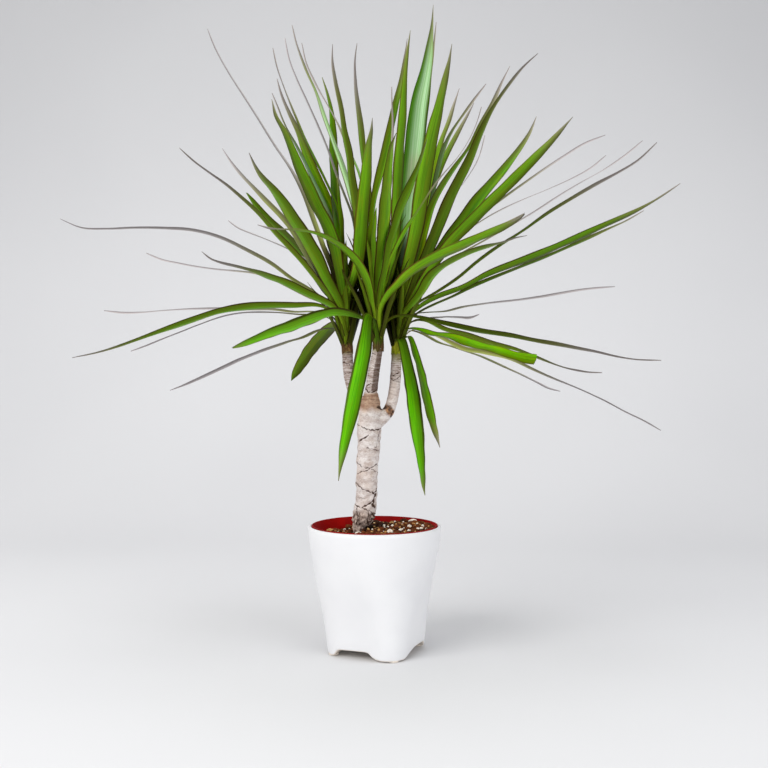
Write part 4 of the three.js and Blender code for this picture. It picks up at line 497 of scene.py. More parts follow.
# name: crown, slot, seed, tone, where the green ends, kind of tip, stations
# [x, y, z, azimuth and elevation of the width in degrees, width]
LEAVES = {
    "leaf_left_01": ("left", "leaf_green", 0.247, 1, 0.84, "point", [[-32.7, 4.5, 301.5, -81, -18, 2.9], [-35.3, 0.1, 313.8, -74, -15, 3.3], [-39.9, -4.6, 326.9, -67, 2, 4.8], [-54.2, -7.1, 333.9, -80, 23, 7.4], [-76.9, -7.6, 333.8, -91, 29, 10.4], [-100.4, -6.7, 333.8, -93, 29, 12.5], [-125.2, -6.5, 331.8, -93, 25, 13.8], [-150.9, -7.4, 327.6, -93, 21, 13.8], [-175.8, -8.9, 319.6, -93, 19, 13.1], [-200.1, -11, 310.8, -92, 18, 11], [-224.2, -13.3, 302, -91, 17, 8.4], [-247.1, -15.7, 294.1, -90, 17, 5.9], [-268.6, -18, 287.8, -90, 23, 3.2], [-288.1, -20, 283.8, -92, 35, 0.8]]),
    "leaf_left_02": ("left", "leaf_grey", 0.119, 1.35, 0.35, "point", [[-32, 7.9, 304.9, 56, -4, 2.4], [-35.3, 11.2, 315.9, 57, 0, 3], [-43.2, 15.3, 325.8, 66, 9, 4.4], [-59, 19, 330.3, 76, 13, 6.7], [-80.4, 23.6, 330.4, 75, 15, 9.6], [-101, 29.1, 333.1, 72, 15, 10.7], [-123.4, 36.1, 333.9, 71, 15, 12.6], [-147.4, 44.3, 335.5, 71, 15, 11.9], [-172.1, 52.8, 336, 71, 15, 11.2], [-197.1, 61.6, 336.2, 71, 16, 9.5], [-222.5, 70.6, 335.5, 71, 16, 7.6], [-247, 79.3, 334.4, 71, 21, 5.4], [-270.4, 87.6, 334.7, 67, 43, 3], [-291.4, 95, 337.5, -19, 83, 0.8]]),
    "leaf_left_03": ("left", "leaf_grey", 0.4, 1, 0.35, "point", [[-31.6, 8.4, 299.8, -126, -4, 2.4], [-34.7, 10, 309.2, -123, -1, 3], [-42.8, 15.4, 313.9, -125, 5, 4.4], [-56, 25.4, 312.4, -129, 4, 6.6], [-73.3, 39.3, 305.7, -130, 2, 8.2], [-89.4, 53.2, 302.1, -131, 1, 9.8], [-106.7, 68.7, 297.3, -132, 1, 10.8], [-125.6, 85.7, 291.9, -133, 1, 9.5], [-144.9, 103.3, 285.8, -133, 2, 9.1], [-164.6, 121.3, 278.4, -134, 4, 9.5], [-184.7, 139.9, 270.9, -134, 8, 7.6], [-204.5, 157.7, 263.5, -135, 13, 5.4], [-223.7, 174.8, 256.8, -137, 24, 3], [-241.5, 190, 251.4, -142, 41, 0.8]]),
    "leaf_left_04": ("left", "leaf_dark", 0.169, 1, 1.3, "point", [[-28.8, 10.4, 298.1, -162, 0, 3.4], [-29.7, 13.2, 305.5, -165, 0, 4.9], [-32.3, 23.2, 312.9, -161, 9, 5.6], [-36.9, 39.6, 317.9, -157, 31, 8], [-42.8, 59.1, 318.7, -162, 40, 10.4], [-48.9, 74.7, 316.1, -165, 35, 12.5], [-55.7, 90, 310.6, -166, 31, 13.9], [-63, 104.6, 304.9, -168, 33, 13.9], [-69.8, 117.5, 298.4, -172, 34, 13.9], [-76.3, 128.5, 291.5, -174, 32, 13.4], [-81.8, 137.6, 283.7, -175, 29, 12.3], [-87.2, 144.2, 276.2, -173, 27, 10.8], [-91.8, 148.4, 268.9, -161, 24, 7.1], [-95.7, 150, 262.4, -138, 16, 0.8]]),
    "leaf_left_05": ("left", "leaf_grey", 0.084, 1.7, 0.38, "point", [[-32.8, 5.1, 308.2, -92, 0, 2.9], [-36.4, 5.2, 321.2, -88, 1, 3.6], [-44.3, 5.5, 335.8, -84, 6, 5.2], [-59.6, 5.9, 349.1, -82, 13, 6.9], [-81.2, 6.5, 361.6, -81, 16, 9.6], [-101.9, 7.1, 376.7, -82, 15, 11.4], [-125.6, 7.8, 390, -85, 13, 12.6], [-151.5, 8.5, 402.4, -88, 10, 12.9], [-179.4, 9.2, 410, -90, 7, 12.4], [-208.4, 10, 411.9, -91, 4, 11.2], [-237.2, 10.8, 412.4, -92, 4, 9], [-264.7, 11.6, 411.8, -91, 7, 6.4], [-290.1, 12.3, 413.2, -88, 18, 3.5], [-311, 13, 421.9, -76, 33, 0.8]]),
    "leaf_left_06": ("left", "leaf_green", 0.406, 1.15, 0.7, "point", [[-29.9, 0.3, 309.9, -25, -3, 3.4], [-31, -3, 317.7, -22, 1, 3.9], [-34, -9.6, 325.6, -23, 11, 5.6], [-40.5, -18.9, 332.6, -30, 22, 7.7], [-50.7, -30, 337.7, -35, 25, 9.6], [-61.6, -40, 342, -38, 20, 11.7], [-72.9, -51.3, 346.7, -38, 15, 12.5], [-84.1, -64.3, 351.3, -38, 11, 12.3], [-95.5, -78.2, 354.6, -37, 8, 11.5], [-106.4, -92.9, 357.5, -35, 6, 10.3], [-116.9, -108.1, 359.2, -34, 5, 8.1], [-126.5, -123, 360.2, -31, 2, 5.8], [-134.6, -137.3, 362.6, -26, -1, 3.2], [-140, -150, 367, -23, 1, 0.7]]),
    "leaf_left_07": ("left", "leaf_grey", 0.901, 1.15, 0.5, "point", [[-28.6, 10.2, 306.6, 14, 10, 2.4], [-31, 11.4, 317.2, 23, 17, 3], [-37.3, 14, 328.1, 41, 22, 4.4], [-48.5, 18.9, 337.9, 56, 17, 6.2], [-65.6, 26.3, 345.4, 59, 12, 7.9], [-82.8, 35, 354.3, 59, 9, 9.1], [-101.1, 44.6, 364, 60, 8, 9.5], [-121.8, 55.2, 372.2, 61, 10, 9.6], [-144.1, 66.1, 376.3, 62, 13, 10.5], [-167.1, 77.3, 379.4, 62, 13, 9.5], [-190.3, 88.8, 383.7, 61, 12, 7.6], [-212.8, 99.9, 388.9, 60, 15, 5.4], [-233.9, 110.6, 394.6, 51, 33, 3], [-252.2, 120, 402.6, 1, 66, 0.8]]),
    "leaf_left_08": ("left", "leaf_dark", 0.788, 1, 1.1, "cut", [[-30.9, 9, 315, 38, 2, 3.4], [-32.5, 10.3, 324.2, 33, 4, 3.9], [-35.7, 14.1, 333.2, 26, 9, 5.7], [-41.3, 21.4, 342.2, 23, 15, 8], [-49.2, 31.9, 352.1, 25, 14, 10], [-57.5, 42.8, 364.6, 28, 8, 11.9], [-66.2, 54.9, 378.6, 30, 7, 13.2], [-76.3, 68.2, 393, 30, 10, 13.3], [-87.9, 82, 407.1, 29, 15, 12.7], [-100.6, 96.2, 420.8, 26, 21, 11.5], [-113.9, 110.7, 434.6, 18, 29, 9.1], [-126.3, 124.7, 448.8, 7, 35, 7.3], [-137, 138.1, 463.1, 0, 37, 4.9], [-147.1, 150, 476, -1, 38, 0.9]]),
    "leaf_left_09": ("left", "leaf_dark", 0.755, 1.7, 0.66, "point", [[-31.9, 2, 313.3, -53, -2, 2.9], [-33.8, 0.1, 322.7, -52, 4, 3.6], [-38.7, -1.5, 334.1, -53, 12, 5.2], [-47, -3.1, 347.1, -54, 14, 7.4], [-58.2, -7.1, 361.1, -56, 11, 9.6], [-70, -11.9, 375.3, -60, 7, 11.4], [-83.3, -17.4, 389.3, -63, 4, 12.5], [-96.9, -23.3, 404.1, -65, 1, 12.6], [-110.1, -29.5, 418.8, -66, -1, 11.8], [-124.3, -35.9, 432, -68, -2, 11.2], [-138.9, -42.4, 444.3, -68, -2, 9], [-153.5, -48.7, 454.5, -66, 0, 6.4], [-166.9, -54.7, 463.9, -59, 6, 3.5], [-177.4, -60, 473.9, -47, 18, 0.8]]),
    "leaf_left_10": ("left", "leaf_grey", 0.233, 1.5, 0.76, "point", [[-32.9, 5.4, 316.7, 84, -6, 2.9], [-35.6, 6.6, 326.8, 78, -9, 3.6], [-39.9, 10.4, 337.7, 67, -12, 5.2], [-46.9, 16.8, 349.3, 59, -12, 7.6], [-56, 26, 362.6, 58, -11, 10.1], [-64.7, 34.5, 379, 59, -10, 12.4], [-74.2, 43.9, 396.9, 57, -9, 13.9], [-85, 54.3, 415.8, 55, -5, 14.3], [-98.5, 65, 433.4, 54, -1, 14.1], [-113.9, 76.1, 450.2, 52, 2, 12.3], [-129.4, 87.4, 467.4, 51, 4, 9], [-144.6, 98.3, 484, 49, 4, 6.4], [-157.8, 108.7, 501, 46, 4, 3.5], [-168.4, 118, 517.3, 42, 6, 0.8]]),
    "leaf_left_11": ("left", "leaf_green", 0.535, 1.1, 0.88, "point", [[-28.8, 0.1, 318.4, -11, 7, 3.4], [-30.2, -1.5, 327.5, -11, 11, 5.8], [-33.8, -6.6, 336.9, -12, 15, 8.4], [-38.8, -16.4, 346.7, -11, 17, 9.7], [-44.7, -30.3, 356.9, -12, 13, 11.1], [-50.4, -44.5, 368.5, -17, 6, 13.5], [-56.7, -60.4, 379.9, -21, 0, 15.1], [-63.3, -77.9, 391.2, -22, -4, 15.4], [-70.1, -95.9, 401.4, -23, -5, 15], [-76.2, -114.5, 411.1, -23, -6, 13.2], [-82.9, -133.5, 419.5, -23, -7, 10], [-89.5, -151.8, 426.3, -21, -11, 7.1], [-94, -169.4, 433.1, -20, -19, 3.9], [-96.4, -185, 439.4, -21, -28, 0.8]]),
    "leaf_left_12": ("left", "leaf_grey", 0.286, 2.3, 0.4, "point", [[-32.7, 6.6, 324, 70, 0, 2.9], [-34.8, 7.3, 337, 66, 0, 3.6], [-37.4, 8.4, 353.1, 62, 2, 5.2], [-43, 10.4, 372.4, 59, 4, 7.4], [-51.3, 13.4, 394.7, 59, 4, 9.7], [-60.5, 16.7, 419.6, 63, 2, 11.6], [-70.1, 20.5, 446.2, 68, 1, 12.8], [-83.8, 24.6, 472.3, 73, 1, 12.9], [-100.8, 28.9, 497.7, 75, 0, 12.4], [-116.7, 33.3, 524.1, 75, 0, 11.2], [-133.3, 37.8, 550.4, 75, 0, 9], [-149.2, 42.1, 575.6, 73, 0, 6.4], [-162.7, 46.3, 600.2, 62, 4, 3.5], [-172.2, 50, 623.6, 40, 12, 0.8]]),
    "leaf_left_13": ("left", "leaf_green", 0.186, 0.87, 0.92, "point", [[-29.4, 0.4, 325.6, -14, 2, 3.4], [-30.1, -1, 334.3, -12, 1, 5.3], [-31, -5, 345.1, -9, 2, 8], [-32.6, -12.7, 358.1, -8, 2, 9.4], [-35, -23.8, 372.8, -13, 0, 10.9], [-38.1, -35.4, 388.5, -21, -1, 13.1], [-43.8, -48.3, 403.9, -27, -1, 14.6], [-51.9, -62.6, 418.2, -30, -3, 14.7], [-58.8, -77.3, 432.7, -30, -7, 14.2], [-65.2, -92.5, 446.5, -30, -11, 12.9], [-70.3, -108, 460, -30, -14, 10.4], [-75.5, -123, 471.8, -31, -15, 7.9], [-81, -137.3, 481.9, -32, -21, 4.4], [-82.7, -150, 491.5, -39, -33, 0.9]]),
    "leaf_left_14": ("left", "leaf_dark", 0.122, 2.3, 0.78, "point", [[-29.5, 9.6, 323.1, 16, 4, 3.4], [-30.9, 11.2, 336.1, 14, 2, 5], [-31.8, 13.9, 350.8, 11, -1, 6.8], [-32.2, 18.9, 367.6, 13, -2, 8.8], [-33.7, 26.3, 386.7, 21, -2, 9.4], [-37, 35, 407.8, 30, -2, 11.1], [-42.7, 44.6, 430.2, 36, 0, 12], [-52.3, 55.2, 453.2, 36, 4, 11.9], [-62.6, 66.1, 476.8, 33, 5, 11.3], [-72.7, 77.3, 501.1, 30, 6, 10], [-81.9, 88.8, 526.2, 32, 6, 7.9], [-92.8, 99.9, 549.6, 38, 4, 6], [-102.5, 110.6, 572.5, 39, 0, 3.5], [-108.5, 120, 594.2, 31, 1, 0.8]]),
    "leaf_left_15": ("left", "leaf_grey", 0.226, 0.65, 0.45, "point", [[-27.6, 9.3, 331.8, -14, 0, 2.1], [-27.1, 11.9, 345.6, -6, -6, 2.5], [-24, 13.9, 361.4, 12, -13, 3.6], [-20.7, 18.1, 379.8, 37, -15, 5.1], [-19.2, 24.5, 401.3, 58, -14, 6.7], [-22.3, 32.4, 425.1, 66, -12, 8], [-30.9, 41.1, 449.7, 67, -11, 8.9], [-40.8, 50.8, 476.1, 67, -11, 8.9], [-49.9, 60.8, 503.5, 66, -11, 8.6], [-61, 71, 530.8, 66, -10, 7.8], [-72.7, 81.5, 558.4, 65, -9, 6.2], [-84.4, 91.7, 585.1, 61, -8, 4.4], [-93.8, 101.4, 611.2, 43, -2, 2.4], [-98.9, 110, 635.8, 2, 11, 0.8]]),
    "leaf_left_16": ("left", "leaf_dark", 0.91, 1.4, 0.8, "point", [[-24.5, 3, 330.1, 64, -4, 2.9], [-22.7, 3, 343.4, 62, -9, 3.3], [-19.4, 5.3, 359.5, 59, -14, 4.8], [-16.1, 9.6, 378.7, 56, -15, 6.7], [-14.8, 15.2, 400.9, 54, -9, 8.7], [-16.6, 19.3, 425, 53, -2, 10.3], [-23.1, 23.9, 450.4, 54, 1, 11.3], [-31.4, 29, 477, 56, 2, 11.3], [-41, 34.2, 503.6, 60, 0, 10.8], [-50.3, 39.6, 530.8, 64, -2, 10.4], [-59.9, 45.1, 558, 65, -2, 7.5], [-71.4, 50.4, 583.4, 62, 0, 5.9], [-80.5, 55.5, 607.9, 51, 2, 3.2], [-86.2, 60, 630.9, 30, 8, 0.8]]),
    "leaf_left_17": ("left", "leaf_green", 0.816, 0.85, 0.97, "point", [[-33.1, 5.8, 335.2, 80, 2, 3.4], [-35.2, 5.8, 346.7, 71, 2, 7.9], [-37, 6.1, 359.2, 57, 0, 8], [-37.8, 7.4, 373.3, 44, -9, 8.4], [-37.1, 13.3, 389.9, 39, -17, 11], [-37.8, 24.3, 409.9, 42, -20, 13.3], [-40, 38.9, 432.1, 45, -21, 14.9], [-42.5, 54, 456.1, 47, -21, 15.1], [-44.2, 67.7, 480.5, 49, -20, 14.7], [-45.3, 80.2, 505.4, 49, -19, 13.3], [-46.2, 92.4, 530.5, 45, -17, 10.6], [-48.2, 104.1, 554.6, 40, -11, 7.1], [-53.3, 115.2, 577.4, 36, -4, 3.9], [-59.3, 125, 597.6, 34, -1, 0.8]]),
    "leaf_left_18": ("left", "leaf_dark", 0.794, 1.15, 0.8, "point", [[-28.5, 0.9, 340.2, 8, -10, 3.4], [-26.7, -0, 350.4, 8, -18, 8.3], [-20.8, -1.1, 363.1, 6, -22, 8.8], [-15.1, -3, 378.6, -4, -13, 8.7], [-13.6, -6.1, 397, -21, -3, 9.7], [-16, -10.6, 416.4, -36, -1, 11.6], [-19.7, -15.7, 436.6, -45, -4, 12.7], [-23.1, -21.2, 457.6, -51, -7, 12.8], [-25.4, -26.9, 478.5, -56, -9, 12.3], [-29.2, -32.7, 498.9, -57, -9, 11.1], [-32.3, -38.7, 519, -57, -9, 9.3], [-36.3, -44.5, 537.6, -55, -8, 6.6], [-38.6, -50.1, 555, -53, -12, 3.5], [-38.2, -55, 570.5, -51, -14, 0.8]]),
    "leaf_left_19": ("left", "leaf_dark", 0.788, 1.8, 0.72, "point", [[-27, 8.8, 338.6, -26, -9, 2.9], [-25.4, 7, 352.3, -19, -11, 3.3], [-21.4, 8.3, 366.5, -3, -16, 4.8], [-16.1, 17.2, 383, 20, -27, 7], [-11.1, 31.4, 402.6, 41, -30, 9.4], [-8.9, 45.6, 425.8, 49, -26, 11.6], [-8.6, 59.8, 450.9, 51, -22, 13.1], [-11, 74.7, 478.3, 51, -20, 13.5], [-14.1, 90, 506.8, 51, -20, 13.4], [-16.7, 105.6, 536, 51, -19, 12.1], [-20.4, 121.6, 565.9, 51, -19, 9.5], [-23.3, 137.1, 595.3, 50, -20, 5.9], [-24.3, 151.9, 623.6, 47, -21, 3.2], [-21.9, 165, 649.3, 42, -22, 0.8]]),
    "leaf_left_20": ("left", "leaf_green", 0.206, 1.45, 0.9, "point", [[-27.3, 0.8, 333.5, 19, -2, 3.4], [-26.4, -0.8, 342.4, 18, -5, 7.2], [-23.4, -5.6, 351.8, 17, -9, 7.7], [-19.1, -14.8, 361.8, 14, -8, 8.8], [-15.1, -27.9, 372.8, 13, 0, 11.2], [-13.1, -41.1, 385.2, 17, 10, 13.4], [-11.3, -55.9, 398.1, 21, 17, 14.8], [-9.7, -72.2, 410.9, 24, 22, 14.9], [-8.1, -89, 423.2, 25, 25, 14.3], [-6.1, -106.3, 434.7, 24, 27, 13], [-4.8, -124, 445.5, 22, 27, 10.4], [-3.1, -141.1, 455, 22, 29, 7.4], [-1.2, -157.5, 463.2, 25, 35, 4], [-0.1, -172, 470.2, 34, 46, 0.8]]),
    "leaf_centre_01": ("centre", "leaf_bright", 0.317, 0.78, 0.95, "point", [[2.5, -14.6, 302.4, 171, 8, 3.4], [1.4, -18.5, 311.5, 171, 28, 4.8], [-1.5, -31, 320.1, 168, 40, 7], [-5.5, -51, 319.8, 175, 32, 9.3], [-7, -74.6, 303.5, 178, 14, 11.4], [-8.1, -93.6, 288.8, 172, 0, 13.7], [-10.1, -112.2, 274, 166, -8, 15.2], [-12.4, -129.9, 259.2, 163, -10, 15.4], [-15, -145.5, 244.8, 160, -10, 14.9], [-17.6, -159, 231.2, 157, -10, 13.6], [-20.1, -170, 217.7, 154, -8, 11], [-22.7, -178, 205.4, 150, -6, 7.8], [-25, -183.1, 193.7, 140, -5, 4.2], [-26.4, -185, 183, 124, -5, 0.9]]),
    "leaf_centre_02": ("centre", "leaf_bright", 0.622, 1.2, 1, "frayed", [[-0.4, -13.1, 309.9, -41, 1, 3.1], [-2.3, -15.1, 315.4, -38, 2, 3.8], [-7.9, -22.1, 319.1, -36, 9, 5.6], [-16.8, -33.6, 321.7, -35, 19, 8.3], [-27.8, -47.4, 323.4, -40, 31, 11.1], [-38.6, -58.5, 322.8, -52, 41, 13.7], [-49.6, -69.4, 318.7, -64, 45, 15.6], [-60.8, -79.8, 313.9, -70, 45, 16.2], [-71.7, -88.9, 308.8, -71, 45, 15.5], [-82.8, -96.8, 304.9, -74, 43, 14.1], [-93.8, -103.2, 300.7, -82, 43, 11.3], [-103.9, -107.9, 296.2, -93, 46, 8.1], [-113.5, -110.9, 292.2, -112, 57, 4.4], [-122.5, -112, 289.3, -165, 71, 1]]),
    "leaf_centre_03": ("centre", "leaf_green", 0.723, 1.1, 0.82, "point", [[-0.2, -13.2, 317.5, -35, 1, 3.4], [-1, -14.3, 325.6, -30, -2, 4.3], [-2.5, -18.3, 334.2, -23, -5, 5.7], [-4.2, -26.1, 343.6, -20, -7, 7.7], [-7.1, -37.4, 353.5, -26, -8, 9.9], [-12.3, -48.9, 363.9, -33, -7, 11.8], [-19.9, -61.7, 373.2, -36, -6, 12.9], [-29.5, -75.7, 380.9, -37, -5, 12.9], [-40.3, -90.3, 386.3, -38, -5, 12.4], [-51.9, -105.2, 388.9, -38, -4, 11.2], [-63.8, -120.5, 388.7, -37, 0, 8.8], [-74.8, -135.3, 387.4, -36, 5, 6.2], [-84.6, -149.4, 386.2, -34, 11, 3.4], [-92.6, -162, 386.9, -32, 19, 0.8]]),
    "leaf_centre_04": ("centre", "leaf_green", 0.84, 1.2, 0.97, "point", [[2.9, -13.7, 328.8, 6, 3, 3.2], [2.6, -15.2, 337.5, 8, 3, 4], [2.7, -20.1, 346.7, 13, 6, 5.8], [3.8, -29.6, 356.2, 19, 13, 8.3], [5.6, -43, 366.3, 23, 19, 10.8], [7.4, -56.7, 377.7, 25, 22, 12.9], [9, -72, 389.3, 25, 25, 14.3], [10.1, -88.8, 400.9, 24, 28, 14.4], [11.1, -106.2, 411.9, 24, 31, 13.8], [11.9, -124.1, 422.3, 23, 32, 12.5], [12.7, -142.4, 431.8, 21, 31, 10], [13.8, -160.1, 440.3, 20, 30, 7.1], [15.4, -177, 447.4, 22, 31, 3.9], [18.6, -192, 453, 26, 35, 0.8]]),
    "leaf_centre_05": ("centre", "leaf_dark", 0.865, 1.4, 0.88, "point", [[1.6, -4.5, 332.5, 9, 4, 3], [0.3, -2.4, 346.1, 3, 6, 3.6], [-2, 1.2, 361.3, -9, 10, 5.2], [-3.7, 7.6, 378.8, -28, 14, 7.4], [-4.1, 16.8, 399.2, -45, 17, 9.8], [-2.6, 27.2, 422.6, -52, 17, 11.7], [0.3, 38.8, 447.9, -50, 14, 12.9], [5.7, 51.6, 474.8, -44, 11, 13.1], [11.6, 64.8, 502.6, -40, 8, 12.6], [17.2, 78.4, 531.3, -37, 8, 11.4], [22.4, 92.3, 560.7, -33, 5, 9.2], [28.4, 105.7, 589.1, -29, 3, 6.5], [32.3, 118.6, 616.7, -31, 6, 3.5], [35, 130, 642, -42, 12, 0.8]]),
    "leaf_centre_06": ("centre", "leaf_green", 0.103, 1.05, 0.93, "point", [[5.9, -11.4, 336.3, 60, -6, 3.4], [8.9, -11.9, 346.3, 54, -10, 5.9], [14.5, -12.9, 358.4, 42, -11, 7.2], [18.7, -14.7, 374.7, 32, -4, 8.2], [20.4, -17.5, 394.2, 30, 1, 10.3], [21.4, -21, 415, 35, 3, 12.3], [22.5, -24.8, 436.9, 40, 5, 13.5], [23.7, -29.1, 459.7, 43, 5, 13.6], [25.1, -33.4, 482.3, 45, 5, 13], [26.9, -37.9, 504.7, 46, 6, 11.7], [27.9, -42.5, 526.7, 47, 7, 9.3], [29.3, -47, 547.3, 49, 5, 6.4], [31.4, -51.2, 566.2, 50, 5, 3.5], [33.3, -55, 583, 49, 5, 0.7]]),
    "leaf_centre_07": ("centre", "leaf_green", 0.602, 0.85, 0.97, "point", [[3.9, -13.6, 325, 14, 7, 3], [4, -17.6, 332.7, 14, 9, 3.6], [4.7, -27.9, 341.4, 19, 15, 5.2], [6.9, -41.7, 350.9, 30, 23, 7.4], [10.1, -54, 361.7, 46, 23, 9.7], [12.9, -60.9, 374, 53, 19, 11.6], [15.8, -69.4, 386.7, 49, 20, 12.8], [19.5, -79.2, 399.4, 46, 15, 12.9], [23.7, -86.4, 412.2, 44, 9, 12.4], [28.8, -94.8, 424.2, 39, 11, 11.2], [34.1, -106, 435.1, 36, 15, 9], [38.6, -117.8, 445, 36, 21, 6.4], [41.9, -129.5, 454, 35, 24, 3.5], [44.9, -140.1, 461.7, 33, 23, 0.8]]),
    "leaf_centre_08": ("centre", "leaf_green", 0.665, 1.3, 0.55, "point", [[7.1, -11.2, 321.2, 64, -1, 2.4], [7.7, -11.4, 331, 62, 7, 3], [8.3, -14.9, 343.1, 59, 15, 4.4], [10.2, -21, 357.4, 59, 17, 6.3], [14.6, -29.2, 373, 61, 15, 8.3], [22.5, -37.4, 388.1, 62, 14, 9.9], [31.2, -46.5, 403.4, 62, 14, 9.9], [41.4, -56.5, 418.5, 62, 16, 7.8], [51.5, -66.9, 433.1, 62, 17, 4.5], [62.4, -77.5, 446.4, 62, 18, 2.9], [73.9, -88.5, 458.6, 61, 20, 2.1], [82.9, -99, 470.9, 58, 21, 1.7], [88.8, -109.1, 483.2, 48, 19, 1.2], [92, -118, 494.6, 30, 8, 0.8]]),
    "leaf_centre_09": ("centre", "leaf_green", 0.506, 1.25, 0.9, "ragged", [[5.9, -13.3, 313.7, 34, 5, 3.4], [5.7, -14.6, 322.9, 29, 5, 5], [7, -18.9, 332.7, 26, -1, 6.5], [12.7, -27.3, 342, 30, -8, 8.4], [22.1, -39.3, 350.7, 34, -9, 11.1], [32.7, -51.5, 359.5, 37, -10, 13.5], [45, -65.1, 366.7, 38, -12, 15.1], [58.5, -80.1, 372.1, 38, -12, 15.4], [72, -95.6, 376.6, 37, -12, 15], [84.9, -111.5, 380.9, 36, -12, 13.8], [97.2, -127.8, 384.8, 33, -17, 10.7], [108.1, -143.6, 388.4, 29, -25, 7.3], [117.6, -158.6, 392.1, 24, -24, 3.9], [124.1, -172, 397.7, 26, -8, 0.8]]),
    "leaf_centre_10": ("centre", "leaf_dark", 0.191, 0.9, 0.62, "point", [[8.4, -10.7, 306.1, 72, 0, 2.6], [11, -11.5, 317, 70, -3, 3.3], [21.2, -14.5, 323.5, 72, -11, 4.8], [40.2, -20, 322.3, 76, -19, 7.1], [64.2, -27.7, 315.5, 77, -24, 9.8], [85.2, -35.3, 310.2, 75, -24, 11.1], [107.2, -43.8, 305.6, 73, -22, 12.2], [129.9, -53.1, 301.3, 71, -20, 13.1], [152.1, -62.6, 296.1, 70, -17, 12.7], [173.8, -72.5, 291.8, 68, -16, 10.4], [194.8, -82.6, 287.4, 67, -16, 8.3], [214, -92.4, 282.4, 66, -19, 5.9], [231.7, -101.7, 279.6, 65, -28, 3.2], [247.3, -110, 279.1, 64, -45, 0.8]]),
    "leaf_right_01": ("right", "leaf_bright", 0.475, 0.92, 0.95, "point", [[21.5, 0.4, 296.2, -174, 0, 3.4], [23.6, -3.3, 301.6, -161, -14, 7.6], [26.8, -15.4, 298.6, -174, -28, 9], [29.7, -34.7, 284.6, -179, -24, 9.9], [32.3, -57.8, 266.2, -177, -8, 11], [33.5, -76.2, 254.9, -172, 7, 13], [34.4, -94.3, 243.3, -165, 17, 14.5], [35, -111.5, 231.4, -160, 22, 14.8], [36, -126.7, 220, -156, 23, 14.1], [37, -139.7, 208.8, -152, 23, 12.6], [38.3, -150.4, 198, -147, 22, 10.2], [39.4, -158.2, 187.7, -140, 18, 8.1], [40.4, -163.1, 178.1, -133, 10, 4.4], [41.9, -165, 169.4, -128, 4, 0.9]]),
    "leaf_right_02": ("right", "leaf_green", 0.106, 0.68, 0.88, "point", [[26.6, 2.5, 297.9, -133, -7, 3.4], [28.9, -0.1, 303.1, -148, -11, 4.8], [33, -9.2, 304.1, -162, 3, 5.8], [35.8, -24.1, 296.7, -159, 16, 7.4], [38.4, -41.7, 283.5, -153, 24, 9.6], [40.4, -55.6, 274.4, -149, 30, 11.5], [42.2, -69, 265.1, -146, 31, 12.6], [44.2, -81.9, 255.5, -146, 29, 12.7], [45.7, -93.3, 246.1, -147, 24, 12.1], [47.4, -103.1, 236.9, -150, 17, 10.9], [49.6, -111.1, 228, -152, 9, 8.8], [52, -116.9, 219.7, -152, 3, 6.5], [54.3, -120.6, 212, -145, -2, 3.6], [56.4, -122, 205, -134, -3, 0.8]]),
    "leaf_right_03": ("right", "leaf_green", 0.917, 1.1, 0.9, "point", [[24.2, 1.7, 335, -9, -8, 3.4], [25.6, 0.2, 345.8, -7, -11, 8.8], [28.6, -3.2, 359.2, -3, -14, 10.2], [32.4, -9.6, 375.2, 0, -14, 11.9], [37, -18.9, 393.1, 4, -11, 13.1], [41, -28.9, 411.4, 10, -5, 14.6], [44, -40.1, 430.4, 17, 2, 16.1], [47, -52.4, 449.7, 23, 6, 16.4], [50.3, -65.2, 468.5, 28, 9, 15.9], [54.1, -78.3, 486.3, 32, 12, 14.4], [58.3, -91.7, 503.2, 33, 14, 11.6], [61.7, -104.6, 518.6, 34, 17, 8.3], [64.6, -117, 532.5, 37, 22, 4.3], [66.2, -128, 544.6, 45, 29, 0.8]]),
    "leaf_right_04": ("right", "leaf_pale", 0.851, 0.72, 0.92, "point", [[24.3, 9.8, 344.3, 20, -6, 3.4], [25, 10.9, 355.3, 17, -6, 9.5], [26.6, 11.2, 369.7, 11, -7, 10.2], [28.7, 11.5, 387.9, -2, -7, 11.2], [31.3, 12.3, 409.9, -19, -4, 14], [33.2, 14.9, 434, -30, -2, 16.9], [35.8, 17.7, 459.7, -29, -2, 18.8], [38.5, 20.8, 487, -21, -3, 19.1], [41.3, 24.1, 514.6, -11, -5, 18.6], [44.8, 27.4, 542.4, -11, -8, 17], [50.7, 30.8, 569.8, -21, -7, 13.4], [55.1, 34.1, 596.2, -36, -2, 9.1], [58, 37.2, 621.3, -51, 3, 5], [59.2, 40, 643.9, -66, 5, 0.9]]),
    "leaf_right_05": ("right", "leaf_dark", 0.546, 1.95, 0.84, "point", [[27.5, 9.6, 341.2, -28, 4, 3.4], [30.6, 16.7, 350.7, -26, 4, 4.1], [33.5, 24.8, 361.3, -27, 5, 4.8], [37.4, 35.3, 374.2, -32, 8, 6.8], [42.5, 47.3, 390.1, -41, 11, 9], [47.3, 56.8, 409.6, -49, 11, 10.9], [52, 66.5, 430.8, -53, 13, 12.2], [56.6, 76.8, 453.6, -54, 14, 12.4], [61.8, 87.6, 477, -53, 14, 12], [67.1, 99.5, 501.2, -48, 13, 11], [72.8, 112.4, 525.9, -42, 8, 8.8], [81.1, 125.5, 549.2, -36, 4, 6.3], [87.8, 138.4, 572.1, -33, 3, 3.4], [94.2, 150.1, 592.9, -35, 4, 0.8]]),
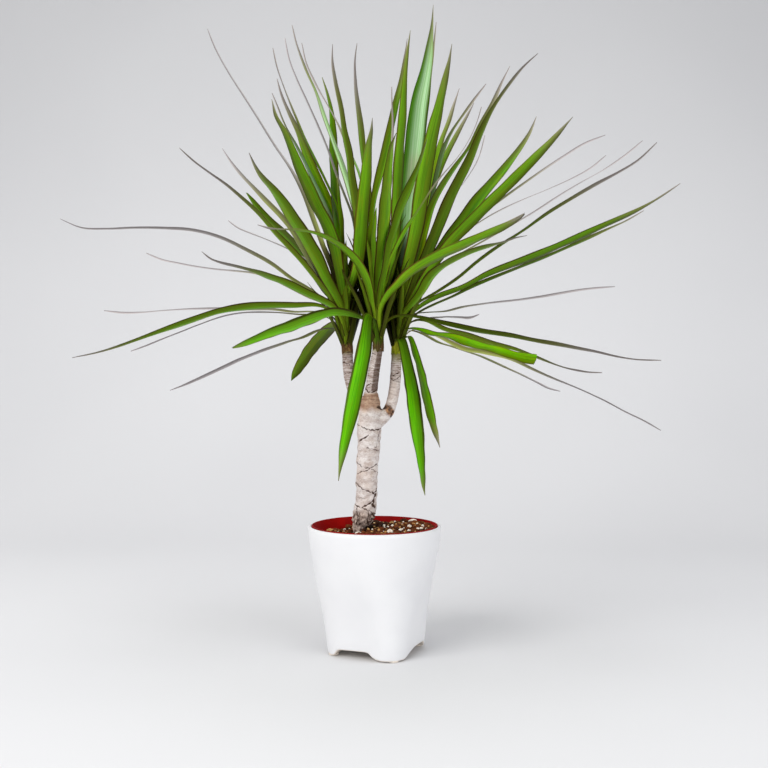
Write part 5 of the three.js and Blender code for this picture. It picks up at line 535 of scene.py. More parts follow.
    "leaf_right_06": ("right", "leaf_dark", 0.308, 0.9, 0.82, "point", [[22.1, 9.8, 329.9, 33, -5, 3.4], [22.4, 11, 341.9, 25, -13, 3.6], [26.9, 13.3, 355.2, 5, -24, 4.4], [34.5, 17.4, 370.1, -24, -17, 6.3], [42.9, 23.4, 387.7, -43, -2, 8.2], [48.6, 30.5, 407.7, -53, 7, 9.8], [54.4, 38.4, 429.5, -58, 10, 10.8], [60.1, 47, 453, -59, 12, 10.9], [65, 55.9, 477.2, -58, 11, 10.5], [71.1, 65.1, 501.5, -56, 8, 9.5], [81.3, 74.5, 524.6, -53, 1, 7.6], [94.1, 83.6, 545.5, -49, -5, 5.4], [107, 92.3, 564.9, -35, -16, 3], [119.1, 100, 582.3, -6, -33, 0.8]]),
    "leaf_right_07": ("right", "leaf_dark", 0.893, 1.7, 0.84, "point", [[28.1, 9.2, 343.4, -36, 4, 3.4], [30, 12.7, 350.8, -33, -1, 4], [33.7, 17.2, 358.8, -33, -4, 4.4], [38.4, 23.2, 369.6, -36, -1, 6.3], [43.6, 30.4, 383.8, -42, 4, 8.2], [48.4, 37.8, 402, -47, 9, 9.8], [52.7, 47, 422.1, -50, 13, 10.8], [57.1, 57.5, 443.9, -50, 13, 10.9], [62.5, 68.7, 466.2, -48, 10, 10.5], [70.1, 80.2, 488.4, -43, 4, 9.5], [79.6, 92, 510.3, -32, -5, 7.6], [89.5, 103.4, 531.2, -20, -15, 5.4], [99.4, 114.3, 551, -17, -18, 3.3], [108.4, 124, 569, -30, -9, 0.8]]),
    "leaf_right_08": ("right", "leaf_dark", 0.569, 1.15, 0.8, "point", [[28, 3.2, 326.6, 55, -7, 3.4], [31.9, 2.1, 337.4, 49, -10, 8.1], [37.7, 0.5, 351.3, 37, -13, 9.3], [44.3, -1.7, 368.8, 23, -17, 10.1], [52.9, -5.1, 388.6, 17, -18, 10.9], [61.4, -9.2, 409.3, 24, -16, 12.1], [70.7, -14, 431, 34, -13, 13.1], [81.3, -19.3, 452.9, 43, -11, 12.8], [92.2, -24.8, 474.5, 51, -6, 12.9], [101.8, -30.5, 496.4, 59, -1, 11.7], [112, -36.3, 517.4, 65, 1, 9.8], [124.3, -41.9, 535.4, 66, -1, 7.1], [137.3, -47.2, 551, 63, -6, 3.9], [150.7, -52, 562.8, 59, -14, 0.8]]),
    "leaf_right_09": ("right", "leaf_dark", 0.867, 1.55, 0.8, "point", [[27.7, 9.3, 328.3, -46, -22, 3.4], [31.6, 6.2, 340.5, -40, -18, 6], [34.4, 3.7, 354.6, -35, -12, 6.9], [38.3, 4.2, 370.9, -35, -10, 7.4], [45.1, 8.3, 389.6, -38, -4, 9.6], [50.5, 14.9, 411.4, -43, 2, 11.4], [57.4, 24, 435, -46, 4, 12.5], [69.1, 37, 459.3, -49, 5, 12.6], [83.9, 52.1, 483.2, -53, 6, 12], [99.8, 66.6, 507.4, -54, 6, 9.9], [112.5, 79.2, 533.8, -50, 1, 8.8], [125.3, 89.9, 558.5, -42, -4, 6.2], [135.8, 99.6, 582.8, -39, -6, 3.5], [146.1, 108, 604.4, -43, -5, 0.8]]),
    "leaf_right_10": ("right", "leaf_green", 0.834, 0.9, 0.88, "point", [[26.6, 10.1, 323.2, -33, -5, 3.4], [29.5, 12.5, 335.2, -33, -15, 8.1], [37.8, 16.6, 345.9, -29, -24, 9.5], [46.8, 22.2, 358.9, -16, -25, 10.4], [56.2, 30.3, 374.9, -10, -25, 11.6], [66.8, 39.7, 393.1, -15, -25, 13], [79.8, 50.4, 412.1, -22, -23, 14.2], [94.1, 62.3, 432.3, -25, -22, 14.2], [108.8, 74.5, 453.2, -26, -23, 13.4], [125.2, 87.1, 473.5, -28, -24, 12.1], [141.8, 100, 494.5, -27, -22, 9.6], [157.2, 112.5, 515.3, -27, -19, 6.8], [170, 124.4, 536.5, -30, -11, 4], [179.2, 135, 557.1, -39, -2, 0.8]]),
    "leaf_right_11": ("right", "leaf_green", 0.508, 0.92, 0.9, "point", [[28.1, 3.6, 321.5, 62, -6, 3.4], [32, 2.7, 330.9, 55, -8, 7.9], [38.4, 0, 342.6, 42, -11, 9], [46.5, -5, 356.9, 31, -16, 9.4], [57, -12.2, 372.6, 29, -20, 10.5], [68.8, -19.5, 388.1, 35, -21, 12.4], [82.8, -27.7, 402.7, 40, -21, 13.6], [98.1, -36.7, 417, 41, -21, 13.4], [113, -46.1, 431.2, 38, -22, 12.6], [127.5, -55.6, 445.2, 33, -26, 11.2], [141.2, -65.4, 458.7, 25, -34, 9], [154.2, -74.9, 471.1, 17, -39, 6.4], [165.5, -84, 482.9, 23, -30, 3.8], [175, -92, 493.4, 46, -5, 0.7]]),
    "leaf_right_12": ("right", "leaf_grey", 0.417, 0.72, 0.68, "point", [[20.7, 9.7, 319.8, -142, 20, 2.4], [23.4, 13.8, 333, -130, 31, 3], [32.4, 21.5, 347, -96, 35, 4.4], [45.3, 32.1, 363, -73, 20, 6.3], [60.9, 43.4, 381.4, -67, 10, 8.2], [75.1, 52, 401.2, -66, 3, 9.8], [93.3, 60.3, 420, -66, 0, 10.8], [114.7, 68.9, 438.3, -66, -2, 10.9], [137.2, 78.1, 456.3, -65, -4, 10.5], [160.7, 88.2, 474.1, -63, -5, 9.5], [184.6, 99.3, 492.3, -60, -7, 7.6], [208.7, 110.7, 509.2, -56, -14, 5.4], [232.2, 121.9, 524.6, -44, -36, 3], [255.1, 132.1, 535.5, 24, -67, 0.8]]),
    "leaf_right_13": ("right", "leaf_grey", 0.595, 1.35, 0.45, "point", [[28.1, 8.3, 320.4, -65, -13, 2], [32.1, 7.5, 331.1, -66, -10, 2.5], [37.7, 8.3, 343.3, -65, -2, 3.6], [45.7, 12.8, 357.8, -65, 5, 5.1], [57.4, 20.7, 374.4, -66, 8, 6.7], [71.4, 29.7, 393.1, -66, 7, 8], [89.3, 39.5, 410.9, -66, 4, 8.9], [111, 49.6, 427, -66, 0, 8.9], [134.5, 59.8, 441.1, -66, -3, 8.6], [159.5, 70, 453.8, -66, -4, 7.8], [185.3, 80.3, 465.8, -66, -5, 6.2], [209.8, 90.2, 478.1, -63, -8, 4.4], [232.2, 99.6, 491.8, -49, -25, 2.4], [250.4, 108, 507.2, 3, -51, 0.8]]),
    "leaf_right_14": ("right", "leaf_grey", 0.434, 1.2, 0.42, "point", [[28.3, 7.5, 314.8, -73, 0, 2], [32.6, 8.9, 327.9, -72, -1, 2.5], [40.9, 11.2, 342, -70, -1, 3.6], [51.8, 15.1, 358.6, -69, -2, 5.3], [68, 20.4, 375.1, -70, -4, 7.1], [88.4, 25.9, 390.1, -71, -6, 8.8], [112.2, 32.2, 404, -71, -6, 9.1], [137.4, 39.2, 419.2, -71, -6, 8.9], [163.2, 46.4, 434.8, -71, -5, 8.6], [188.6, 53.8, 452, -71, -5, 7.8], [214.8, 61.4, 468.5, -71, -5, 6.2], [240.4, 68.7, 483.7, -68, -9, 4.4], [263.5, 75.8, 500.1, -52, -26, 2.4], [283.1, 82, 516.6, 2, -50, 0.8]]),
    "leaf_right_15": ("right", "leaf_green", 0.175, 1.2, 0.82, "point", [[23.4, 1, 316.2, 1, -17, 3.4], [25.8, -0.1, 323.9, 7, -26, 5.8], [31.4, -4, 330.6, 20, -27, 7.2], [38, -11.7, 337.8, 25, -16, 8.2], [45.2, -23, 345.7, 27, -1, 10.8], [50.8, -34.7, 355.2, 32, 7, 13.3], [58.7, -47.7, 363, 36, 6, 14.9], [68.9, -62, 368.5, 36, 3, 15.3], [79.4, -76.9, 372.6, 36, 1, 15.1], [90.1, -92.1, 375.5, 35, 0, 13], [100.4, -107.7, 377.5, 34, 0, 9.2], [110.1, -122.8, 378.6, 32, 0, 6.6], [118.5, -137.2, 380, 31, -4, 3.7], [126, -150, 380.1, 30, -14, 0.8]]),
    "leaf_right_16": ("right", "leaf_dark", 0.313, 1, 0.66, "point", [[27, 2.5, 315, 48, -11, 2.4], [31.1, 1.7, 326, 56, -17, 3], [41.8, 0.7, 337, 70, -18, 4.4], [59.8, -1.1, 347.1, 75, -13, 6.4], [80.3, -4, 360.3, 75, -7, 8.2], [99.1, -8.1, 375.6, 75, -4, 8.9], [119.7, -12.6, 390.4, 76, -3, 9.8], [142.1, -17.6, 404.6, 75, -3, 10.4], [163.9, -22.7, 419.4, 74, -5, 10.5], [186, -28, 432.8, 72, -7, 9.8], [208, -33.4, 445.5, 71, -10, 7.8], [229, -38.6, 456.8, 68, -13, 5.4], [247.5, -43.6, 468.6, 58, -20, 3], [261.4, -48, 482, 37, -32, 0.8]]),
    "leaf_right_17": ("right", "leaf_green", 0.8, 0.65, 0.86, "point", [[27.7, 3.5, 311.4, 60, 3, 3.4], [32.8, -0.1, 322.8, 62, -13, 5.2], [44.3, 0.6, 333.5, 74, -32, 6.8], [62.2, 5.5, 344, 83, -39, 7.6], [86.3, 11.2, 353.1, 84, -35, 9], [109, 14.6, 365, 83, -29, 10.8], [134.3, 17.7, 375.5, 85, -28, 12.9], [161.3, 20.8, 386.1, 84, -29, 13.5], [188.2, 24.1, 397.8, 82, -30, 13], [215.2, 27.4, 410.1, 82, -29, 11.9], [241.8, 30.8, 423, 82, -28, 8.9], [267.4, 34.1, 435.2, 80, -30, 6.6], [290.4, 37.2, 448.9, 72, -35, 3.6], [310.1, 40, 462.5, 61, -42, 0.8]]),
    "leaf_right_18": ("right", "leaf_dark", 0.062, 1, 0.86, "point", [[28.1, 7.2, 309.7, -77, -2, 2.8], [32.6, 7.9, 319.9, -76, -3, 3.4], [42.9, 9.9, 328.7, -73, -6, 5], [58.4, 13.7, 336.8, -72, -10, 6.6], [78.5, 19, 345.7, -71, -12, 7.7], [98.7, 24.2, 355.6, -70, -12, 10.2], [120.9, 30.1, 365.3, -70, -11, 11.3], [144.7, 36.5, 375.4, -70, -11, 11.7], [169.1, 43.2, 385.4, -70, -12, 12], [193.4, 50, 396.5, -69, -12, 10.9], [217.9, 57, 408, -67, -14, 8.6], [241.4, 63.8, 419.2, -65, -18, 6.1], [263.6, 70.3, 430, -58, -28, 3.4], [282.7, 76, 441.3, -43, -42, 0.8]]),
    "leaf_right_19": ("right", "leaf_grey", 0.064, 1, 0.3, "point", [[26.4, 10, 308, -43, -6, 2.2], [29.8, 11.9, 319.5, -47, -8, 2.7], [38.3, 17.1, 327.7, -54, -9, 4], [53.2, 26.7, 330.5, -55, -9, 5.7], [72.4, 40.2, 332.5, -53, -10, 7.4], [91.2, 54, 338.1, -52, -9, 8.9], [112.3, 69.3, 342.4, -52, -9, 9.8], [135.3, 86.3, 346.2, -52, -11, 9.9], [159.2, 103.7, 350.1, -52, -12, 9.6], [183.7, 121.7, 354.8, -51, -15, 8.6], [208.9, 140.1, 360.8, -50, -20, 6.9], [233.6, 157.9, 366.1, -50, -28, 4.9], [257.6, 174.9, 370.1, -47, -50, 2.7], [279.7, 190, 372.9, 55, -84, 0.8]]),
    "leaf_right_20": ("right", "leaf_green", 0.621, 1.1, 1.4, "cut", [[26.7, 2.4, 304.7, -130, 6, 3.1], [28.7, 1.5, 310.5, -124, 2, 3.8], [34.3, -2.4, 312.6, -128, -9, 5.6], [43, -10.1, 310.4, -135, -13, 8.7], [54.2, -21.1, 305.4, -138, -15, 12.2], [64.5, -32.1, 303.6, -141, -16, 14.6], [74.5, -44.3, 300.7, -145, -15, 16.1], [84.3, -57.7, 296.1, -149, -16, 16.2], [94.2, -71.6, 291.9, -152, -21, 15.7], [104.5, -85.8, 289.8, -155, -30, 10.8], [113.5, -100.4, 286.1, -162, -47, 8.7], [121.8, -114.5, 282.8, -174, -66, 7.2], [129.3, -128, 280.3, 171, -78, 9], [135.9, -140, 279, 159, -83, 8.9]]),
    "leaf_right_21": ("right", "leaf_grey", 0.289, 2.5, 0.5, "point", [[27.8, 6.9, 299.6, 98, 1, 2.9], [32.5, 7.4, 309.1, 96, -1, 3.3], [44.7, 8.9, 312.6, 100, -15, 4.4], [63.5, 11.9, 305.3, 110, -23, 6.4], [87.7, 16, 293.9, 110, -27, 7.9], [110.2, 20.1, 290, 107, -24, 8.9], [134, 24.6, 284.2, 107, -14, 9.1], [157.7, 29.6, 273.6, 104, -6, 9.9], [182, 34.7, 263.4, 103, -2, 10.5], [207, 40, 253.7, 102, 0, 9.5], [231.5, 45.4, 242.8, 102, 0, 7.6], [254.6, 50.6, 231.4, 104, -3, 5.4], [276.8, 55.6, 221.1, 113, -19, 3], [296.1, 60, 210.6, 140, -49, 0.8]]),
    "leaf_right_22": ("right", "leaf_grey", 0.533, 1, 0.7, "point", [[25.6, 10.5, 301.3, 141, 10, 2.2], [28.7, 12.1, 309.3, 128, 9, 2.7], [36.6, 17.1, 311.6, 126, -4, 4], [49.1, 26.6, 308.2, 130, -4, 5.6], [64.8, 40.2, 300.7, 132, 0, 7.1], [79.2, 54, 297.1, 134, 2, 8.3], [94.8, 69.3, 292.7, 134, 4, 8.9], [111.8, 86.3, 288, 134, 6, 9.5], [129, 103.7, 281.8, 134, 7, 9.6], [146.6, 121.7, 275, 134, 6, 8.6], [164.8, 140.1, 268.3, 134, 3, 6.9], [182.5, 157.9, 260.9, 136, -4, 4.9], [199.3, 174.9, 254, 141, -28, 2.7], [215.7, 190, 250.3, 171, -75, 0.8]]),
    "leaf_right_23": ("right", "leaf_dark", 0.472, 1.8, 0.72, "point", [[27.5, 8.3, 303, 114, 2, 2.2], [30.5, 9.2, 313, 110, -1, 2.7], [38.1, 12.3, 320.9, 111, -9, 4], [51.2, 18.4, 320.8, 118, -15, 6.7], [69.2, 26.8, 313, 121, -19, 8.7], [86.8, 35.2, 309, 121, -20, 10.4], [105.3, 44.5, 303.8, 122, -19, 11.5], [125.6, 54.8, 298.8, 121, -16, 9.1], [146.5, 65.5, 293.9, 120, -11, 8.8], [167.4, 76.4, 287.6, 119, -5, 8.6], [188.3, 87.6, 280.2, 118, -2, 6.9], [209.2, 98.5, 274.5, 119, -8, 4.9], [229.6, 108.8, 271.6, 120, -34, 2.7], [248.4, 118, 271.2, 153, -87, 0.8]]),
    "thin_leaf_left_01": ("left", "leaf_grey", 0.349, 1, 0.3, "point", [[-32.6, 6.2, 303.2, -102, -1, 2], [-35.2, 6.6, 312.8, -99, 1, 2.5], [-42.3, 8.1, 321.7, -99, 5, 3.6], [-55.7, 11.1, 326.6, -101, 8, 5.2], [-75, 15.2, 327.4, -102, 8, 6.9], [-93.6, 19.3, 329.4, -102, 7, 8], [-113.6, 23.9, 330.2, -103, 5, 8.9], [-135, 29, 329.8, -104, 2, 8.9], [-156.2, 34.2, 326.1, -104, -1, 8.6], [-177, 39.6, 319.5, -104, -2, 7.8], [-197.6, 45.1, 312.1, -104, -2, 6.2], [-217.5, 50.4, 305.3, -106, 4, 4.4], [-236.1, 55.5, 298.4, -115, 26, 2.4], [-253.1, 60, 292.8, -160, 69, 0.8]]),
    "thin_leaf_left_02": ("left", "leaf_grey", 0.977, 1, 0.3, "point", [[-30.7, 9.2, 311.6, 36, 1, 1.8], [-31.5, 10.1, 320.5, 40, -2, 2.2], [-33.1, 12.8, 330.3, 45, -7, 3.2], [-36.4, 18.3, 340.7, 52, -13, 4.6], [-42, 26.3, 351.8, 58, -17, 6], [-49.4, 35, 364.2, 60, -16, 7.1], [-59.8, 44.6, 376.6, 59, -12, 7.9], [-72.5, 55.2, 387.9, 56, -8, 8], [-87.3, 66.1, 397.5, 55, -3, 7.6], [-102.9, 77.3, 406.1, 54, 1, 6.9], [-119.2, 88.8, 414, 53, 4, 5.5], [-135.1, 99.9, 421.4, 51, 9, 3.9], [-150, 110.6, 429, 39, 26, 2.2], [-162.1, 120, 438.4, -4, 53, 0.8]]),
    "thin_leaf_left_03": ("left", "leaf_pale", 0.208, 0.8, 0.82, "point", [[-30, 9.4, 323.4, 22, 1, 3], [-30.6, 10.5, 334.7, 23, -1, 3], [-30.9, 12.3, 348.2, 29, -3, 3.6], [-31.7, 15.6, 363.9, 39, -6, 5.1], [-33.4, 20.8, 381.8, 50, -8, 6.7], [-37.2, 27.2, 401.1, 55, -7, 8.1], [-44.1, 34.3, 421.7, 56, -5, 9], [-53, 42.1, 443.2, 56, -4, 9], [-62.8, 50.2, 464.8, 56, -4, 8.7], [-73, 58.5, 486.7, 58, -4, 8], [-83.7, 67, 508.7, 59, -5, 6.3], [-94.3, 75.2, 529.7, 57, -4, 4.4], [-102.8, 83, 550.5, 44, 2, 2.4], [-110.5, 90, 569.3, 18, 14, 0.8]]),
    "thin_leaf_left_04": ("left", "leaf_dark", 0.416, 1.4, 0.74, "point", [[-29.5, 9.5, 326.8, 15, 1, 2], [-30.3, 11.1, 340.1, 19, 0, 2.2], [-30.6, 13.2, 355.9, 28, -4, 3.2], [-31.1, 17, 374.4, 43, -8, 4.5], [-32.5, 22.6, 395.6, 55, -11, 5.9], [-35.3, 29.8, 418.6, 61, -11, 6.9], [-41.2, 37.7, 443.1, 60, -7, 7.6], [-52, 46.4, 468, 60, -4, 7.6], [-64, 55.5, 493.2, 61, -5, 7.1], [-75.9, 64.7, 519.2, 63, -7, 6.4], [-87, 74.3, 546, 65, -8, 5.2], [-96.8, 83.4, 572.2, 62, -8, 3.7], [-105.3, 92.2, 597.4, 44, -2, 2.1], [-110.7, 100, 621, 2, 12, 0.8]]),
    "thin_leaf_left_05": ("left", "leaf_pale", 0.215, 1, 0.6, "point", [[-25.5, 8.5, 328.5, 139, 3, 2], [-23.5, 9.9, 341.7, 131, 4, 2.2], [-18.3, 12.3, 356.9, 115, -2, 3.2], [-11.7, 16.5, 374.7, 97, -13, 4.6], [-7.3, 22.6, 395.6, 80, -17, 6], [-7.4, 29.8, 419.5, 72, -15, 7.1], [-9.4, 37.7, 445.6, 69, -13, 7.9], [-14.8, 46.4, 473, 66, -10, 8], [-25.7, 55.5, 499.3, 64, -8, 7.6], [-36.6, 64.7, 526.1, 63, -6, 6.9], [-49.9, 74.3, 552.2, 63, -5, 5.5], [-63.2, 83.4, 577.6, 59, -4, 3.9], [-74.1, 92.2, 602.5, 40, 2, 2], [-79.6, 100, 626.5, 0, 13, 0.7]]),
    "thin_leaf_left_06": ("left", "leaf_dark", 0.627, 1.5, 0.97, "point", [[-32.3, 7.5, 336.9, 54, 1, 3.4], [-32.3, 7.3, 342.3, 49, 1, 4.1], [-31.9, 6.9, 349.2, 43, -1, 4.5], [-31.4, 6.5, 357.5, 41, -1, 5.1], [-31.1, 6.5, 367, 46, 0, 6.7], [-31.8, 7.1, 377.1, 53, -1, 8], [-32.3, 7.8, 387.9, 58, -2, 8.9], [-32.8, 8.5, 399.2, 60, -2, 8.9], [-33.3, 9.2, 410.6, 58, -2, 8.6], [-33.9, 10, 422, 54, -1, 7.8], [-34.7, 10.8, 433.4, 50, 0, 6.2], [-35.6, 11.6, 444.2, 46, 0, 4.4], [-36.4, 12.3, 454.3, 31, 2, 2.4], [-37.1, 13, 463.4, 2, 5, 0.8]]),
    "thin_leaf_centre_01": ("centre", "leaf_green", 0.285, 1, 1.2, "point", [[1, -13.1, 343.8, -11, 2, 3.4], [0.9, -12.9, 347.7, -11, 2, 3.8], [0.6, -13.4, 352.1, -16, 0, 3.8], [0.2, -15.3, 357.3, -26, -7, 5.1], [-0.4, -18.5, 363.1, -37, -16, 6.7], [-0.8, -22.3, 369.4, -44, -22, 8], [-1.1, -26.6, 376, -46, -24, 8.9], [-1.3, -31.2, 382.8, -46, -26, 8.9], [-1.4, -36.1, 389.6, -44, -27, 8.6], [-1.2, -41.1, 396.2, -44, -30, 7.8], [-0.4, -46.2, 402.7, -45, -33, 6.2], [0.5, -51.1, 408.8, -43, -34, 4.4], [1.3, -55.8, 414.4, -27, -27, 2.4], [2, -60, 419.3, 2, -7, 0.8]]),
    "thin_leaf_centre_02": ("centre", "leaf_dark", 0.362, 1.1, 0.6, "point", [[3.1, -4.9, 340.1, -16, 1, 1.9], [3.3, -3.6, 350.4, -19, 1, 1.9], [4, -1.3, 362.3, -28, 3, 2.8], [5.4, 3, 376.1, -43, 9, 4], [7.3, 9.4, 392, -56, 15, 5.2], [9.2, 16.8, 409.9, -65, 18, 6.2], [11.5, 25.1, 429.3, -67, 20, 6.9], [13.9, 34.2, 450.1, -68, 20, 7], [15.8, 43.6, 471.4, -68, 21, 6.7], [17.3, 53.3, 493.3, -66, 21, 6.1], [18.4, 63.2, 515.6, -63, 21, 4.8], [18.4, 72.7, 537.1, -56, 21, 3.4], [17.5, 81.9, 557.6, -36, 16, 1.9], [17.3, 90, 576.2, -1, 1, 0.8]]),
    "thin_leaf_right_01": ("right", "leaf_green", 0.737, 0.6, 0.86, "point", [[27.8, 9.4, 336.7, -39, -2, 3.4], [29.3, 10.4, 349.4, -35, -2, 3.9], [30.3, 11.5, 364.9, -35, 0, 4], [31.3, 13.2, 383.5, -40, 1, 5.7], [33, 16, 404.9, -48, 2, 7.4], [36.2, 20.1, 428, -53, 3, 8.9], [40.4, 24.6, 452.6, -54, 3, 9.8], [44.8, 29.6, 478.9, -54, 4, 9.9], [48.5, 34.7, 505.7, -53, 4, 9.6], [51.6, 40, 532.8, -51, 4, 8.6], [55.1, 45.4, 560.2, -49, 4, 6.9], [58.1, 50.6, 586.5, -46, 4, 4.9], [61, 55.6, 611.3, -42, 3, 2.7], [63.3, 60, 633.7, -34, 1, 0.8]]),
    "thin_leaf_right_02": ("right", "leaf_grey", 0.328, 0.85, 0.35, "point", [[28.1, 8.6, 324.9, -57, -2, 1.5], [29.4, 9.1, 334, -58, -1, 1.9], [31.1, 10.2, 345.1, -62, 2, 2.8], [34.1, 12.5, 357.9, -67, 5, 4], [39, 16, 372.4, -72, 7, 5.3], [45.3, 20.1, 387.7, -74, 8, 6.4], [52.7, 24.6, 403.7, -75, 9, 7.2], [61.2, 29.6, 420.4, -74, 8, 7.4], [70.6, 34.7, 436.9, -74, 7, 7.2], [81.8, 40, 452.9, -73, 6, 6.6], [93.7, 45.4, 468.6, -73, 7, 4.8], [103.4, 50.6, 484.5, -68, 6, 3.4], [109.7, 55.6, 501.1, -48, 1, 1.9], [113.7, 60, 516.5, -3, -12, 0.8]]),
    "thin_leaf_right_03": ("right", "leaf_grey", 0.556, 1.8, 0.4, "point", [[26.9, 9.4, 306.3, -50, -3, 1.8], [27.4, 9.5, 310.9, -51, -2, 2.2], [29.2, 11, 315.1, -50, 0, 3.2], [33.1, 14.5, 318.8, -48, -1, 4.8], [39, 19.7, 321, -48, -4, 6.5], [45.6, 25.3, 322.9, -50, -7, 8], [53.4, 31.5, 324.4, -50, -9, 9.2], [61.6, 38.3, 325.9, -49, -10, 9.3], [70.1, 45.3, 327.1, -49, -13, 7.6], [78.6, 52.5, 327.5, -49, -18, 6.9], [87.2, 59.9, 327.7, -49, -27, 5.5], [95.5, 67.1, 327.8, -45, -43, 3.9], [103.1, 73.9, 329.5, -25, -59, 2.2], [109.6, 80, 332.4, 4, -66, 0.8]]),
}

MILKY = {"leaf_left_16": 0.85, "leaf_right_06": 0.25}

for name, (crown, slot, seed, tone, grey_from, tip, rows) in LEAVES.items():
    flat = slot == "leaf_grey"
    mint = MILKY.get(name, 0.0)
    v, f, att = blade(name, crown, rows, slot, seed, grey_from, tip, channel=0.4 if flat else 1.0, wave=0.4 if flat else 1.0, fold=0.02 if flat else 0.085, tone=tone, mint=mint)
    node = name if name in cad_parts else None
    piece = mesh_object(name + "_blade", v, f, BLADES[slot], att)
    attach(piece, "root")
    if node:
        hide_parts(node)


# ------------------------------------------------------------ the young hearts
def short_leaf(crown, turn, z0, length, lean, curve, width, seed, slot, start_radius=0.8):
    """A leaf of the crown's inside: it leaves the stem at a height z0 above the
    axis's foot, towards turn, and leans out more the further it goes."""
    a, b = HEARTS[crown]
    up = unit(b - a)
    ex = unit(np.cross(up, [0, 1, 0.01]))
    ey = np.cross(up, ex)
    out = ex * math.cos(turn) + ey * math.sin(turn)
    rows = []
    for s in STATIONS:
        z = z0 + s * length * (1 - 0.12 * curve * s)
        rad = heart_radius(crown, a[2] + z0) * start_radius + length * (lean * s + curve * s**2.2 * 0.35)
        c = a + up * z + out * rad
        w = np.cross(up, out)
        rows.append([*c, math.degrees(math.atan2(w[1], w[0])), math.degrees(math.asin(w[2])), width * np.interp(s, [0, 0.15, 0.5, 0.8, 1], [0.9, 0.85, 1.0, 0.62, 0.05])])
    return blade("inner", crown, rows, slot, seed, 1.3, rings=40, channel=1.5, wave=0.5, sheath=10.0)


def gather(name, slot, parts, node=None):
    """One object from several closed blades."""
    verts, faces, atts, start = [], [], {}, 0
    for v, f, att in parts:
        verts.append(v)
        faces += [[k + start for k in face] for face in f]
        start += len(v)
        for key, val in att.items():
            atts.setdefault(key, []).append(val)
    piece = mesh_object(name, np.vstack(verts), faces, BLADES[slot], {k: np.concatenate(x) for k, x in atts.items()})
    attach(piece, "root")
    if node:
        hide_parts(node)


def heart(crown):
    """The growing point: short young leaves wrapped round each other."""
    a, b = HEARTS[crown]
    up = unit(b - a)
    r = np.random.default_rng({"left": 3, "centre": 4, "right": 5}[crown])
    parts = []
    for i in range(12):
        turn = math.radians(137.5 * i + 40)
        parts.append(short_leaf(crown, turn, 5 + 3.9 * i, r.uniform(46, 74), 0.20 - 0.014 * i, 0.25, 7.0, 0.1 + 0.07 * i, "young_leaf"))
    # the rolled leaf in the middle
    n, sides = 40, 20
    z = np.linspace(-2, np.linalg.norm(b - a) + 18, n)
    ang = np.linspace(0, 2 * np.pi, sides, endpoint=False)
    rad = np.interp(z / z[-1], [0, 0.1, 0.6, 0.95, 1], [4.6, 4.2, 2.6, 0.8, 0.1])
    ex = unit(np.cross(up, [0, 1, 0.01]))
    ey = np.cross(up, ex)
    roll = 1 + 0.10 * np.cos(ang[None, :] * 2 + z[:, None] * 0.05) + 0.05 * np.cos(5 * ang[None, :] - z[:, None] * 0.08)
    ring = a + up * z[:, None, None] + (rad[:, None] * roll)[..., None] * (ex * np.cos(ang)[None, :, None] + ey * np.sin(ang)[None, :, None])
    v = ring.reshape(-1, 3)
    f = [list(x) for x in ring_faces(n, sides)] + [list(range(sides))[::-1], [(n - 1) * sides + j for j in range(sides)]]
    cuff, lime = cuffs(crown, v)
    parts.append((v, f, {
        "tone": np.ones(len(v)),
        "mint": np.zeros(len(v)),
        "cuff": cuff,
        "lime": lime,
        "along": np.repeat(np.linspace(0, 1, n), sides),
        "across": np.tile(0.8 * np.cos(ang), n),
        "under": np.zeros(len(v)),
        "seed": np.full(len(v), 0.5),
        "grey_from": np.full(len(v), 1.3),
        "crown_shade": painted_crown_shade(v),
    }))
    gather(f"heart_{crown}_leaves", "young_leaf", parts, f"heart_{crown}")


FILL = {"left": (192, 215), "centre": (325, 200), "right": (340, 322)}


def inner_leaves(crown):
    """Older leaves of the crown that mostly hide behind the others: their bases wrap the stem and flare out,
    and they fill the space between the crowns, their near-black colour partly painted shade in the gaps."""
    r = np.random.default_rng({"left": 31, "centre": 41, "right": 51}[crown])
    parts = []
    for i in range(20):
        turn = math.radians(137.5 * i + 15)
        z0 = 3.0 + 2.2 * i
        lean = 0.30 - 0.008 * i + r.uniform(-0.04, 0.05)
        size = (r.uniform(66, 92), r.uniform(0.2, 0.45), r.uniform(9.5, 12.5), float(r.uniform(0.05, 0.95)))
        if -math.sin(turn) < -0.2 and i > 2:
            continue  # the front of the crown shows its real leaves
        parts.append(short_leaf(crown, turn, z0, size[0], lean, *size[1:3], size[3], "old_leaf", 0.95))
    # towards the neighbouring crowns
    for side_turn in FILL[crown]:
        for k, (z0, lean, length) in enumerate([(7, 0.36, 62), (13, 0.27, 78), (20, 0.20, 92), (28, 0.13, 96), (16, 0.46, 60)]):
            turn = math.radians(side_turn + r.uniform(-16, 16))
            parts.append(short_leaf(crown, turn, z0, length, lean, 0.1, r.uniform(11, 13.5), float(r.uniform(0.05, 0.95)), "old_leaf", 1.0))
    gather(f"inner_leaves_{crown}", "old_leaf", parts)


for crown in HEARTS:
    heart(crown)
    inner_leaves(crown)


